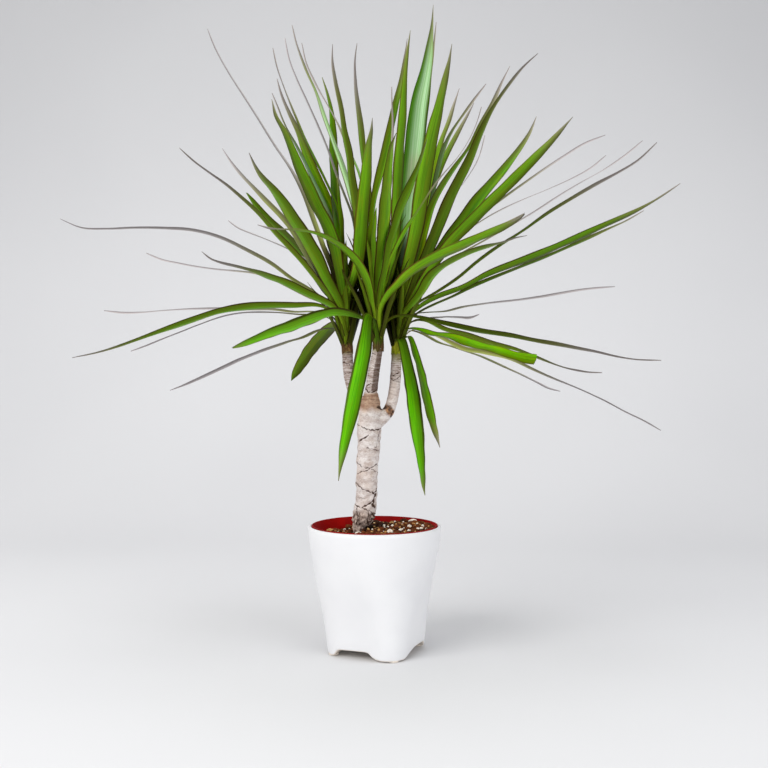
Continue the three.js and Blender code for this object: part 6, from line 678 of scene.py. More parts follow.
# -------------------------------------------------------------------- the cane
TRUNK = [
    [-14.4, 0, 80, 6.0], [-14.6, 0, 104, 5.6], [-15.2, 0, 114, 5.2], [-15.7, 0, 119.9, 5.5], [-14.5, 0, 124.2, 7.5],
    [-11.9, 0, 128.6, 10.1], [-10.5, 0, 132.4, 10.9], [-9.4, 0, 137, 10.8], [-8.4, 0, 145, 10.3], [-7.7, 0, 154.8, 10.2],
    [-7.9, 0, 164.5, 10.6], [-7.0, 0, 174.2, 10.2], [-7.0, 0, 184, 10.8], [-5.8, 0, 193.7, 10.9], [-5.5, 0, 203.5, 11.0],
    [-5.4, 0, 213.2, 12.0], [-4.6, 0, 224, 11.6], [-4.2, -0.4, 234, 10.7], [-4.0, -0.8, 243, 8.9],
    [-3.4, -1.6, 250, 6.9],
]
BRANCHES = {
    "left": [
        [-7.5, 0.6, 223, 5.2], [-13.0, 1.4, 236, 5.6], [-17.6, 2.2, 245, 5.7], [-21.4, 3.0, 254, 5.6],
        [-24.0, 3.6, 263, 5.5], [-25.6, 4.2, 272.5, 5.4], [-26.4, 4.8, 282, 5.3], [-26.6, 5.0, 290.6, 5.1],
    ],
    "centre": [
        [-3.8, -1.2, 246, 6.4], [-3.2, -2.6, 253, 6.1], [-2.0, -4.2, 262, 5.9], [-0.7, -6.0, 271.5, 5.7],
        [1.2, -7.8, 281.5, 5.2], [3.2, -9.0, 293.2, 4.9],
    ],
    "right": [
        [-4.0, 0.6, 214, 5.0], [1.5, 0.8, 221, 6.9], [7.4, 1.4, 226.4, 6.9], [12.6, 2.3, 231.3, 6.0],
        [15.8, 3.0, 238, 5.4], [17.9, 3.6, 246, 5.4], [19.4, 4.2, 255, 5.4], [20.4, 5.0, 266, 5.3],
        [20.9, 5.6, 277, 5.1], [21.4, 6.0, 288.6, 4.9],
    ],
}


def tube(sections, sides=40, step=1.5):
    """Points and faces of a closed tube through [x, y, z, radius]."""
    S = np.array(sections, float)
    d = np.r_[0, np.cumsum(np.linalg.norm(np.diff(S[:, :3], axis=0), axis=1))]
    q = np.linspace(0, d[-1], max(int(d[-1] / step), 4))
    C = hermite(d, S[:, :3], q)
    R = hermite(d, S[:, 3], q, monotone=True)
    T = unit(np.gradient(C, q, axis=0))
    X = unit(np.cross(T, [0, 1, 0]))
    Y = np.cross(T, X)
    ang = np.linspace(0, 2 * np.pi, sides, endpoint=False)
    ring = C[:, None] + R[:, None, None] * (X[:, None] * np.cos(ang)[None, :, None] + Y[:, None] * np.sin(ang)[None, :, None])
    n = len(q)
    faces = [list(f) for f in ring_faces(n, sides)] + [list(range(sides))[::-1], [(n - 1) * sides + j for j in range(sides)]]
    return ring.reshape(-1, 3), faces, (C, R, T, q)


# Cracks and leaf scars on the side of the cane that faces the camera: strength,
# half-width in mm, and the line as [x, z] in mm.
CRACKS = [
    (1.0, 0.55, [[-17.3, 220.4], [-13.7, 218.1], [-8.8, 215.9], [-4.0, 214.5], [1.7, 214.5], [6.4, 215.3]]),
    (1.0, 0.8, [[-14.8, 203.3], [-12.0, 205.7], [-8.8, 207.3], [-6.0, 209.3]]),
    (0.45, 0.8, [[4.8, 212.9], [4.0, 209.3], [3.3, 205.0]]),
    (0.55, 0.8, [[-7.4, 197.3], [-3.0, 196.2], [1.0, 195.0], [4.5, 194.3]]),
    (0.45, 0.6, [[-5.8, 201.5], [-2.0, 199.0], [1.5, 197.5]]),
    (0.4, 0.6, [[1.5, 197.5], [4.0, 206.0]]),
    (0.9, 0.5, [[-17.2, 183.0], [-12.7, 179.3], [-8.0, 177.7], [-3.2, 178.1], [0.0, 179.7], [2.9, 181.7]]),
    (0.8, 0.45, [[-3.2, 177.3], [0.0, 174.9], [2.9, 172.5]]),
    (0.75, 0.6, [[-16.3, 171.7], [-12.7, 174.5], [-8.0, 174.9], [-4.7, 177.0]]),
    (0.9, 0.55, [[-18.4, 163.3], [-14.4, 159.7], [-9.5, 156.5], [-4.7, 154.9], [0.1, 154.5], [2.5, 155.6]]),
    (0.8, 1.0, [[-2.0, 154.0], [-0.5, 153.2]]),
    (0.5, 0.45, [[-17.6, 149.3], [-13.0, 148.7], [-8.7, 148.1]]),
    (1.0, 0.75, [[0.9, 152.5], [-0.7, 147.0], [-3.9, 144.1], [-7.2, 142.1], [-11.9, 140.2]]),
    (0.85, 1.4, [[-1.2, 145.6], [-1.8, 142.0], [0.4, 139.7]]),
    (0.8, 0.6, [[-19.9, 142.1], [-15.1, 140.2], [-10.4, 138.9], [-5.5, 136.5], [-2.0, 134.3], [0.6, 132.4]]),
    (0.85, 0.8, [[-17.5, 138.5], [-16.3, 129.8], [-17.4, 122.5]]),
    (0.75, 0.8, [[-5.5, 135.5], [-7.0, 127.5], [-6.2, 121.0]]),
    (0.9, 1.6, [[-2.2, 132.6], [0.4, 130.2]]),
    (0.55, 0.6, [[-11.5, 134.0], [-12.8, 127.0], [-11.0, 120.0]]),
    (0.5, 0.7, [[-9.0, 131.0], [-9.6, 124.0]]),
    (0.6, 0.5, [[-20.5, 133.0], [-19.2, 127.0], [-20.2, 121.5]]),
    (0.6, 0.5, [[-14.8, 136.5], [-14.2, 131.0], [-15.2, 126.0], [-14.0, 121.0]]),
    (0.5, 0.5, [[-12.0, 129.5], [-9.4, 127.2], [-8.0, 123.5]]),
    (0.6, 0.6, [[-3.2, 131.5], [-2.6, 127.0], [-4.2, 124.0]]),
    (0.8, 1.1, [[-4.4, 128.4], [-1.4, 127.4], [0.2, 128.8]]),
    (0.4, 0.45, [[-14.4, 194.6], [-8.6, 193.8], [-4.6, 195.0]]),
    (0.35, 0.4, [[-16.0, 188.6], [-10.4, 187.6], [-5.0, 188.4], [0.6, 187.6]]),
    (0.35, 0.4, [[-15.4, 168.0], [-9.8, 166.6], [-3.6, 167.8], [1.6, 168.6]]),
    (0.4, 0.4, [[-13.6, 228.6], [-9.0, 227.2], [-6.4, 229.4], [-3.8, 226.6]]),
    (0.35, 0.5, [[-2.0, 224.0], [0.6, 227.4], [0.0, 230.6]]),
    (1.0, 0.8, [[-9.0, 254.5], [-6.4, 251.3], [-3.2, 250.6], [0.2, 251.4], [2.2, 253.2]]),
    (0.8, 0.6, [[-8.2, 256.2], [-5.6, 258.4], [-3.8, 259.0]]),
    (1.0, 1.7, [[2.6, 236.4], [5.8, 235.0], [9.0, 236.8]]),
    (0.45, 0.5, [[10.8, 239.0], [14.0, 235.6], [16.5, 232.2]]),
    (0.5, 0.5, [[9.4, 236.6], [12.0, 233.0], [14.2, 228.8]]),
    (0.35, 0.5, [[7.6, 234.6], [10.0, 231.2], [12.2, 227.6]]),
    (0.7, 1.3, [[17.6, 232.4], [15.8, 226.4]]),
    (0.45, 0.5, [[-14.0, 247.4], [-8.0, 246.8], [-2.0, 247.6], [3.4, 246.8]]),
    (0.6, 0.45, [[-12.8, 244.0], [-7.0, 243.4], [-1.0, 244.0], [4.0, 243.0]]),
    (0.4, 0.45, [[-12.0, 240.6], [-6.0, 240.2], [0.0, 240.4], [4.6, 239.6]]),
    (0.35, 0.45, [[-11.0, 237.2], [-4.0, 237.0], [2.0, 237.4]]),
    (0.9, 0.6, [[15.0, 267.8], [18.0, 267.0], [21.0, 268.6], [24.4, 270.2]]),
    (0.8, 0.5, [[15.6, 263.6], [18.5, 262.8], [22.0, 264.0], [24.6, 266.6]]),
    (0.9, 0.6, [[-31.8, 280.6], [-28.0, 279.0], [-23.6, 277.4]]),
    (0.9, 0.6, [[-32.2, 290.2], [-27.0, 289.4], [-21.8, 290.0]]),
    (0.7, 0.5, [[-31.0, 270.4], [-27.0, 269.2], [-22.5, 270.0]]),
]


def wood_material():
    n = Nodes("cane_bark")
    where = n.coords()
    groove, age, twig, fresh, shade, warm = (n.attr(k) for k in ("groove", "age", "twig", "fresh", "shade", "warm"))
    fine = n.noise(n.stretch(where, (1, 1, 2.2)), 520.0, 5.0, 0.65)
    blotch = n.noise(n.stretch(where, (1, 1, 1.3)), 105.0, 4.0, 0.6)
    fleck = n.noise(where, 900.0, 3.0, 0.6)
    big = n.noise(where, 34.0, 2.0, 0.5)
    wrinkle = n.noise(n.stretch(where, (0.5, 0.5, 6.0)), 190.0, 3.0, 0.6)
    color = n.mix(n.ramp(blotch, 0.36, 0.62), (0.52, 0.425, 0.385), (0.78, 0.715, 0.69))
    color = n.mix(n.math("MULTIPLY", n.ramp(fine, 0.5, 0.66), 0.5), color, (0.86, 0.82, 0.805))
    color = n.mix(n.math("MULTIPLY", n.ramp(fine, 0.46, 0.32), 0.6), color, (0.33, 0.24, 0.205))
    color = n.mix(n.math("MULTIPLY", n.ramp(big, 0.52, 0.68), 0.4), color, (0.62, 0.46, 0.37))
    # the foot is rough, grey and brown
    foot = n.ramp(age, 0.215, 0.165)
    flake = n.noise(n.stretch(where, (1, 1, 0.7)), 210.0, 4.0, 0.65)
    rough_bark = n.mix(n.ramp(flake, 0.38, 0.55), (0.095, 0.050, 0.036), (0.54, 0.42, 0.355))
    rough_bark = n.mix(n.math("MULTIPLY", n.ramp(fine, 0.55, 0.68), 0.6), rough_bark, (0.62, 0.53, 0.48))
    color = n.mix(n.math("MULTIPLY", foot, 0.92), color, rough_bark)
    # the head of the trunk is tan where the bark is young
    tan = n.mix(n.ramp(blotch, 0.35, 0.65), (0.30, 0.155, 0.09), (0.56, 0.37, 0.245))
    tan = n.mix(n.math("MULTIPLY", n.ramp(wrinkle, 0.52, 0.64), 0.55), tan, (0.22, 0.11, 0.06))
    color = n.mix(n.math("MULTIPLY", warm, 0.9), color, tan)
    # the branches are younger: pinkish with fine brown wrinkles
    pink = n.mix(n.ramp(fine, 0.38, 0.62), (0.50, 0.40, 0.365), (0.74, 0.66, 0.63))
    color = n.mix(n.math("MULTIPLY", twig, 0.8), color, pink)
    brown = n.mix(n.ramp(fine, 0.4, 0.6), (0.13, 0.07, 0.045), (0.32, 0.20, 0.15))
    color = n.mix(n.math("MULTIPLY", twig, n.ramp(wrinkle, 0.48, 0.60, 0.0, 0.8)), color, brown)
    color = n.mix(n.math("MULTIPLY", fresh, 0.85), color, (0.20, 0.19, 0.012))
    # a dark side: painted shade on the branches' sides turned from the light, over some brown bark of their own
    color = n.mix(n.math("MULTIPLY", shade, n.ramp(fleck, 0.3, 0.6, 1.0, 0.8)), color, (0.078, 0.037, 0.021))
    # torn orange-brown bark on the outside of the elbow
    torn = n.noise(n.stretch(where, (2.6, 1, 1)), 230.0, 4.0, 0.65)
    rust = n.mix(n.ramp(torn, 0.42, 0.58), (0.085, 0.035, 0.018), (0.40, 0.20, 0.09))
    color = n.mix(n.math("MULTIPLY", n.attr("elbow"), 0.95), color, rust)
    # leaf scars and cracks, and the painted shadow in the notch under the elbow
    color = n.mix(n.ramp(groove, 0.14, 0.66), color, (0.072, 0.038, 0.026))
    n.bump(n.math("ADD", n.math("MULTIPLY", fine, 0.7), blotch), 0.8, 0.0005)
    return n.finish(color, n.ramp(fine, 0.3, 0.7, 0.72, 0.9), 0.2)


def line_distance(p, line):
    best = np.full(len(p), 1e9)
    line = np.array(line, float)
    for a, b in zip(line[:-1], line[1:]):
        d = b - a
        t = np.clip(((p - a) @ d) / (d @ d), 0, 1)
        best = np.minimum(best, np.linalg.norm(p - (a + t[:, None] * d), axis=1))
    return best


def cane():
    parts = {"trunk": tube(TRUNK)}
    for key, sections in BRANCHES.items():
        parts[key] = tube(sections, 28, 1.2)
    verts, faces, start = [], [], 0
    for v, f, _ in parts.values():
        verts.append(v)
        faces += [[k + start for k in face] for face in f]
        start += len(v)
    rough = mesh_object("cane_rough", np.vstack(verts), faces, bpy.data.materials.new("tmp"))
    mod = rough.modifiers.new("fuse", "REMESH")
    mod.mode = "VOXEL"
    mod.voxel_size = 0.56 * MM
    smooth = rough.modifiers.new("soften", "SMOOTH")
    smooth.factor = 0.5
    smooth.iterations = 8
    dg = bpy.context.evaluated_depsgraph_get()
    me = bpy.data.meshes.new_from_object(rough.evaluated_get(dg))
    bpy.data.objects.remove(rough)
    me.name = "cane_bark"
    n = len(me.vertices)
    co = np.zeros(n * 3, np.float32)
    me.vertices.foreach_get("co", co)
    co = co.reshape(-1, 3).astype(float) / MM
    nrm = np.zeros(n * 3, np.float32)
    me.vertices.foreach_get("normal", nrm)
    nrm = nrm.reshape(-1, 3).astype(float)
    best = np.full(n, 1e9)
    U, TH, kind = np.zeros(n), np.zeros(n), np.zeros(n, int)
    tops = {}
    for ki, (key, (_, _, (C, R, T, q))) in enumerate(parts.items()):
        d = np.linalg.norm(co[:, None] - C[None], axis=2) - R[None]
        j = d.argmin(1)
        dist = d[np.arange(n), j]
        rel = co - C[j]
        u = q[j] + (rel * T[j]).sum(1)
        X = unit(np.cross(T[j], [0, 1, 0]))
        Y = np.cross(T[j], X)
        th = np.arctan2((rel * Y).sum(1), (rel * X).sum(1))
        take = dist < best - (0.0 if key == "trunk" else 0.15)
        best[take] = dist[take]
        U[take], TH[take], kind[take] = u[take], th[take], ki
        tops[ki] = q[-1]
    groove = np.zeros(n)
    lift = np.zeros(n)
    r = np.random.default_rng(21)
    for ki in range(4):
        sel = kind == ki
        u, th = U[sel], TH[sel]
        g = np.zeros(sel.sum())
        l = np.zeros(sel.sum())
        gap = 4.6 if ki == 0 else 2.05
        count = int(tops[ki] / gap) + 2
        for i in range(count):
            c = (137.5 * i + r.uniform(-16, 16)) * math.pi / 180
            u0 = i * gap + r.uniform(-0.7, 0.7) * (1.4 if ki == 0 else 0.6)
            dth = (th - c + np.pi) % (2 * np.pi) - np.pi
            drop = (4.4 if ki == 0 else 0.7) * r.uniform(0.4, 1.25)
            line = u - u0 + drop * (1 - np.cos(dth)) * 0.5 + (0.5 if ki == 0 else 0.22) * np.sin(3 * dth + r.uniform(0, 6))
            half = r.uniform(0.9, 1.9) if ki == 0 else r.uniform(0.6, 1.7)
            window = smoothstep(half, half - 0.5, np.abs(dth))
            w = r.uniform(0.3, 0.55) if ki == 0 else r.uniform(0.28, 0.5)
            strength = r.uniform(0.3, 0.9) if ki == 0 else r.uniform(0.15, 0.75)
            if ki == 3:
                # the lower half of the right branch is nearly smooth
                strength = strength * np.where(u < 0.58 * tops[ki], 0.3, 1.1)
            if ki == 0:
                # the near side of the trunk carries its own cracks, below
                strength = strength * np.where((th > 0.4) & (th < 2.7), 0.22, 1.0)
            g = np.maximum(g, strength * window * np.exp(-((line / w) ** 2)))
            l = l + 0.16 * strength * window * np.exp(-(((line - 1.2) / 1.3) ** 2))
        groove[sel] = g
        lift[sel] = l
    near = nrm[:, 1] < -0.05
    r2 = np.random.default_rng(8)
    for strength, w, line in CRACKS:
        wobble = 0.25 * np.sin(co[:, 0] * 1.7 + r2.uniform(0, 6)) + 0.2 * np.sin(co[:, 2] * 2.3 + r2.uniform(0, 6))
        d = line_distance(co[:, [0, 2]] + wobble[:, None], line)
        wide = w * (0.8 + 0.35 * np.sin(co[:, 0] * 1.1 + co[:, 2] * 0.8 + r2.uniform(0, 6)))
        hit = strength * np.exp(-((d / wide) ** 2)) * near
        groove = np.maximum(groove, hit)
        lift = lift + 0.10 * strength * np.exp(-(((d - 1.5) / 1.0) ** 2)) * near
    # the notch under the elbow: a small dent, painted near-black as the shadow inside it
    notch = np.exp(-(((co[:, 0] - 8.4) / 4.0) ** 2) - ((co[:, 2] - 236.2) / 2.2) ** 2) * near
    groove = np.maximum(groove, 0.95 * notch)
    depth = np.where(kind == 0, 0.55, 0.36)
    swell = 0.22 * np.sin(co[:, 2] * 0.55 + TH * 2) + 0.16 * np.sin(co[:, 2] * 0.9 - TH * 3 + 1.0)
    move = lift * np.where(kind == 0, 1.6, 0.8) - depth * groove + np.where(kind == 0, swell, 0.25 * swell)
    foot = smoothstep(139, 132, co[:, 2])
    move = move + foot * (0.35 * np.sin(TH * 7 + co[:, 2] * 0.35) + 0.3 * np.sin(TH * 11 - co[:, 2] * 0.6 + 2) + 0.2 * np.sin(co[:, 2] * 1.5 + TH * 3))
    inside = co[:, 2] < 104
    move[inside] = 0
    co = co + nrm * move[:, None]
    me.vertices.foreach_set("co", (co * MM).astype(np.float32).ravel())
    height = (co[:, 2] - 108) / (250 - 108)
    top_z = {1: 290.6, 2: 293.2, 3: 288.6}
    fresh = np.zeros(n)
    for ki, z in top_z.items():
        sel = kind == ki
        fresh[sel] = smoothstep(z - (12 if ki == 3 else 5), z, co[sel, 2])
    # the right side of the centre branch, and of the left one, dark: painted shade on the side turned from the key
    # light; the left branch is also browner all over and towards its top, the right branch darker on its left side
    shade = np.zeros(n)
    c2 = kind == 2
    shade[c2] = smoothstep(-0.15, 0.12, nrm[c2, 0]) * smoothstep(249, 253, co[c2, 2]) * (0.90 + 0.10 * np.sin(co[c2, 2] * 1.3))
    c1 = kind == 1
    shade[c1] = np.maximum(smoothstep(-0.1, 0.6, nrm[c1, 0]) * 0.8 * (0.65 + 0.35 * np.sin(co[c1, 2] * 1.15)), 0.30 + 0.10 * np.sin(co[c1, 2] * 2.3) + 0.35 * smoothstep(272, 290, co[c1, 2]))
    c3 = kind == 3
    shade[c3] = smoothstep(-0.5, -0.95, nrm[c3, 0]) * smoothstep(240, 246, co[c3, 2]) * 0.5
    warm = smoothstep(229, 238, co[:, 2] + 1.2 * np.sin(co[:, 0] * 0.5)) * smoothstep(251.5, 248.5, co[:, 2]) * (np.abs(co[:, 0] + 4) < 14)
    slant = co[:, 0] - 14.4 + 0.45 * (co[:, 2] - 233.4)
    elbow = smoothstep(6.4, 3.2, np.hypot(slant * 1.15, (co[:, 2] - 233.4) * 0.78 + 0.5 * np.sin(co[:, 0] * 1.1))) * (nrm[:, 1] < 0.35) * (kind == 3)
    for key, val in {"elbow": elbow, "shade": shade, "warm": warm, "groove": groove, "age": np.clip(height, 0, 1.2), "twig": (kind > 0) * smoothstep(228, 246, co[:, 2]) * np.where(kind == 3, 0.35 + 0.65 * smoothstep(258, 266, co[:, 2]), 1.0), "fresh": fresh}.items():
        at = me.attributes.new(key, "FLOAT", "POINT")
        at.data.foreach_set("value", val.astype(np.float32))
    me.materials.clear()
    me.materials.append(wood_material())
    me.polygons.foreach_set("use_smooth", [True] * len(me.polygons))
    me.update()
    obj = bpy.data.objects.new("cane_bark", me)
    scene.collection.objects.link(obj)
    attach(obj, "root")
    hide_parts("cane")


cane()


# ---------------------------------------------------------------- the cachepot
POT_HEIGHT, POT_WALL, POT_FLOOR = 121.6, 3.7, 11.0
PAD_R, PAD_H, PAD_AT = 5.0, 1.3, 43.6
BASE_SHIFT_X, BASE_SHIFT_TOP = 1.8, 80.0
CORNER = math.radians(-68.5)
# undersides of the openings between the feet: distance along the face, height
ARCH_FRONT = np.array([
    [-28, 1.3], [-25.6, 3.1], [-23, 6.0], [-20, 7.5], [-14, 7.8], [-4, 8.1], [6, 8.2],
    [9, 7.5], [11, 5.8], [13.2, 3.9], [16.5, 2.2], [21, 1.3],
])
ARCH_SIDE = np.array([
    [-23, 1.3], [-18.5, 2.2], [-14, 3.7], [-9.4, 5.3], [-4.5, 6.6], [1, 7.2], [10, 7.4],
    [18, 7.4], [21.5, 6.6], [24.5, 4.4], [28, 1.3],
])
PROFILE = np.array([
    [0, 39.2, 0.44], [13.5, 41.5, 0.5], [28, 43.6, 0.57], [47.6, 47.9, 0.68], [67, 53.0, 0.8],
    [86.6, 58.1, 0.9], [106, 63.0, 0.975], [119, 64.9, 1], [121.6, 65.2, 1],
])


def square_radius(theta, b, r):
    """Distance from the axis to a rounded square of half-width b, corner radius r."""
    a = np.mod(theta, np.pi / 2)
    a = np.where(a > np.pi / 4, np.pi / 2 - a, a)
    flat = b / np.cos(a)
    c = (b - r) * math.sqrt(2)
    d = np.pi / 4 - a
    curved = c * np.cos(d) + np.sqrt(np.maximum(r * r - (c * np.sin(d)) ** 2, 0))
    return np.where(flat * np.sin(a) <= b - r, flat, curved)


def pot_radius(theta, z):
    z = np.clip(z, 0, POT_HEIGHT)
    b = hermite(PROFILE[:, 0], PROFILE[:, 1], z, monotone=True)
    k = hermite(PROFILE[:, 0], PROFILE[:, 2], z, monotone=True)
    # in the frame where the corners lie on the diagonals
    return square_radius(theta - CORNER + np.pi / 4, b, b * k)


def base_shift(z):
    return BASE_SHIFT_X * (1 - smoothstep(0, BASE_SHIFT_TOP, z))


def arch(line, c):
    """Height of an opening's underside at a distance c along the face."""
    h = hermite(line[:, 0], line[:, 1], np.clip(c, line[0, 0], line[-1, 0]).ravel(), monotone=True).reshape(np.shape(c))
    return np.where((c < line[0, 0]) | (c > line[-1, 0]), -5.0, h)


def underside(x, y):
    """Height of the pot's underside: two crossing openings between four feet."""
    t = CORNER + np.pi / 4
    u = x * math.cos(t) + y * math.sin(t)
    v = -x * math.sin(t) + y * math.cos(t)
    return np.maximum(np.maximum(arch(ARCH_FRONT, u), arch(ARCH_SIDE, v)), PAD_H)


def pot_material():
    n = Nodes("pot_glaze")
    where = n.coords()
    soft = n.noise(where, 22.0, 2.0, 0.5)
    mottle = n.noise(where, 120.0, 3.0, 0.55)
    fine = n.noise(where, 900.0, 3.0, 0.6)
    streak = n.noise(n.stretch(where, (1, 1, 0.18)), 120.0, 3.0, 0.55)
    color = n.mix(n.ramp(soft, 0.3, 0.7), (0.81, 0.81, 0.826), (0.84, 0.84, 0.852))
    color = n.mix(n.math("MULTIPLY", n.ramp(mottle, 0.55, 0.75), 0.12), color, (0.80, 0.80, 0.82))
    color = n.mix(n.math("MULTIPLY", n.ramp(streak, 0.6, 0.8), 0.08), color, (0.78, 0.775, 0.78))
    # bare clay under the feet and along the lower edge
    bare = n.attr("bare")
    color = n.mix(n.math("MULTIPLY", bare, 0.75), color, (0.80, 0.70, 0.58))
    height = n.math("ADD", n.math("MULTIPLY", soft, 1.6), n.math("ADD", n.math("MULTIPLY", mottle, 0.4), n.math("MULTIPLY", fine, 0.10)))
    n.bump(height, 0.35, 0.0005)
    return n.finish(color, n.ramp(mottle, 0.3, 0.7, 0.42, 0.54), 0.4)


def cover_pot():
    sides = 480
    th = np.linspace(0, 2 * np.pi, sides, endpoint=False)
    rings = []

    def ring(rad, z):
        z = np.broadcast_to(z, th.shape)
        rings.append(np.stack([rad * np.cos(th) + base_shift(z), rad * np.sin(th), z], 1))

    # the underside, from the middle out
    edge_r = pot_radius(th, np.full(sides, 4.0)) - 1.1
    for share in np.r_[0.02, np.linspace(0.08, 1, 52) ** 0.8]:
        rad = edge_r * share
        ring(rad, underside(rad * np.cos(th), rad * np.sin(th)))
    base = underside(edge_r * np.cos(th), edge_r * np.sin(th))
    # the rounded lower edge, then the wall
    for dz, inset in ((0.12, 0.62), (0.4, 0.28), (0.9, 0.06), (1.5, 0.0)):
        z = base + dz
        ring(pot_radius(th, z) - inset, z)
    start = base + 1.5
    for f in np.linspace(0, 1, 10)[1:]:
        z = start + (20.0 - start) * f
        ring(pot_radius(th, z), z)
    for z in np.r_[np.linspace(22.5, 112, 34), 114, 116, 117.6]:
        ring(pot_radius(th, np.full(sides, z)), z)
    # the rim
    top = np.full(sides, 118.6)
    for a in np.radians([10, 25, 42, 60, 80, 100, 120, 138, 155, 172]):
        c = 1.75
        rad = pot_radius(th, np.full(sides, 118.2)) - c + c * math.cos(a)
        ring(rad, POT_HEIGHT - 1.75 + 1.75 * math.sin(a))
    for z in np.r_[117.2, 115.5, np.linspace(112, 20, 30), 16.5]:
        ring(pot_radius(th, np.full(sides, z)) - POT_WALL, z)
    for z, inset in ((13.6, 0.1), (12.2, 0.7), (11.3, 1.8), (11.0, 3.2)):
        ring(pot_radius(th, np.full(sides, 14.0)) - POT_WALL - inset, z)
    for share in (0.8, 0.55, 0.3, 0.1, 0.02):
        ring((pot_radius(th, np.full(sides, 14.0)) - POT_WALL - 3.2) * share, POT_FLOOR)
    n = len(rings)
    verts = np.concatenate(rings)
    # rings 0 to 53 are the underside; the four after them round the lower edge
    bare = [np.repeat(np.interp(np.arange(n), [53, 54, 55, 56], [1.0, 0.9, 0.3, 0.0]), sides)]
    faces = [list(f) for f in ring_faces(n, sides)] + [list(range(sides))[::-1], [(n - 1) * sides + j for j in range(sides)]]
    start_i = len(verts)
    verts = [verts]
    # four small pads under the feet
    m = 40
    a = np.linspace(0, 2 * np.pi, m, endpoint=False)
    for i in range(4):
        t = CORNER + i * np.pi / 2
        cx, cy = PAD_AT * math.cos(t) + BASE_SHIFT_X, PAD_AT * math.sin(t)
        prof = [(0.2, 0.0), (PAD_R - 1.0, 0.0), (PAD_R - 0.45, 0.12), (PAD_R - 0.12, 0.45), (PAD_R, 0.9), (PAD_R, PAD_H + 0.5), (0.2, PAD_H + 0.6)]
        pad = np.concatenate([np.stack([cx + r0 * np.cos(a), cy + r0 * np.sin(a), np.full(m, z)], 1) for r0, z in prof])
        faces += [[k + start_i for k in f] for f in ring_faces(len(prof), m)]
        faces += [[start_i + j for j in range(m)][::-1], [start_i + (len(prof) - 1) * m + j for j in range(m)]]
        verts.append(pad)
        bare.append(np.ones(len(pad)))
        start_i += len(pad)
    obj = mesh_object("cover_pot_shell", np.concatenate(verts), faces, pot_material(), {"bare": np.concatenate(bare)})
    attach(obj, "root")
    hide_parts("cover_pot")


cover_pot()


# ------------------------------------------------------------- the nursery pot
def nursery_material():
    n = Nodes("nursery_plastic")
    where = n.coords()
    grain = n.noise(where, 700.0, 3.0, 0.6)
    cloud = n.noise(where, 40.0, 3.0, 0.5)
    dust = n.noise(where, 210.0, 4.0, 0.65)
    color = n.mix(n.ramp(cloud, 0.35, 0.65), (0.24, 0.002, 0.002), (0.37, 0.003, 0.002))
    color = n.mix(n.math("MULTIPLY", n.ramp(dust, 0.60, 0.76), 0.35), color, (0.22, 0.03, 0.010))
    n.bump(grain, 0.3, 0.0002)
    return n.finish(color, n.ramp(grain, 0.3, 0.7, 0.45, 0.6), 0.04)


def nursery_pot():
    sides = 192
    prof = [
        (0.3, 11.3), (20, 11.3), (31.4, 11.3), (32.4, 11.7), (33.0, 12.6), (33.9, 16), (38.7, 35), (45.0, 60), (51.3, 85), (56.3, 105),
        (59.6, 118.8), (59.9, 119.3), (60.7, 119.6), (61.0, 120.0), (61.1, 121.6), (60.9, 122.05), (60.4, 122.2), (59.95, 122.05), (59.75, 121.6),
        (59.3, 120.0), (58.3, 118.0), (55.0, 105), (50.0, 85), (43.7, 60), (37.4, 35), (32.6, 16), (31.9, 13.6), (30.9, 12.7), (20, 12.6), (0.3, 12.6),
    ]
    th = np.linspace(0, 2 * np.pi, sides, endpoint=False)
    verts = np.concatenate([np.stack([r * np.cos(th), r * np.sin(th), np.full(sides, z)], 1) for r, z in prof])
    faces = [list(f) for f in ring_faces(len(prof), sides)] + [list(range(sides))[::-1], [(len(prof) - 1) * sides + j for j in range(sides)]]
    mat = nursery_material()
    obj = mesh_object("nursery_pot_shell", verts, faces, mat)
    # drain holes
    cv, cf, start = [], [], 0
    m = 24
    a = np.linspace(0, 2 * np.pi, m, endpoint=False)
    for i in range(4):
        t = i * np.pi / 2
        c = np.array([21 * math.cos(t), 21 * math.sin(t)])
        for z in (8, 16):
            cv.append(np.stack([c[0] + 4 * np.cos(a), c[1] + 4 * np.sin(a), np.full(m, z)], 1))
        cf += [[k + start for k in f] for f in ring_faces(2, m)]
        cf += [[start + j for j in range(m)][::-1], [start + m + j for j in range(m)]]
        start += 2 * m
    cutter = mesh_object("drain_cutter", np.concatenate(cv), cf, mat)
    mod = obj.modifiers.new("holes", "BOOLEAN")
    mod.operation = "DIFFERENCE"
    mod.solver = "EXACT"
    mod.object = cutter
    dg = bpy.context.evaluated_depsgraph_get()
    me = bpy.data.meshes.new_from_object(obj.evaluated_get(dg))
    obj.modifiers.clear()
    obj.data = me
    bpy.data.objects.remove(cutter)
    me.set_sharp_from_angle(angle=math.radians(38))
    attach(obj, "root")
    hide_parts("nursery_pot")


nursery_pot()


# -------------------------------------------------------------------- the soil
def soil_top(x, y):
    bump = np.sin(0.31 * x + 1.3) * np.cos(0.27 * y - 0.4) + 0.6 * np.sin(0.61 * x - 0.5 * y + 2.1) + 0.4 * np.cos(0.83 * y + 0.35 * x)
    heap = 111.6 + 7.0 * smoothstep(-36, -2, x) + 1.7 * smoothstep(12, 42, x) - 2.2 * np.exp(-(((x - 8) / 16) ** 2) - ((y - 50) / 22) ** 2)
    return np.minimum(heap + 0.55 * bump, 120.9)


def wall_radius(z):
    """Inside of the nursery pot."""
    return np.interp(z, [12.6, 60, 85, 105, 118.0, 120.0, 121.6], [30.9, 43.7, 50.0, 55.0, 58.3, 59.3, 59.75])


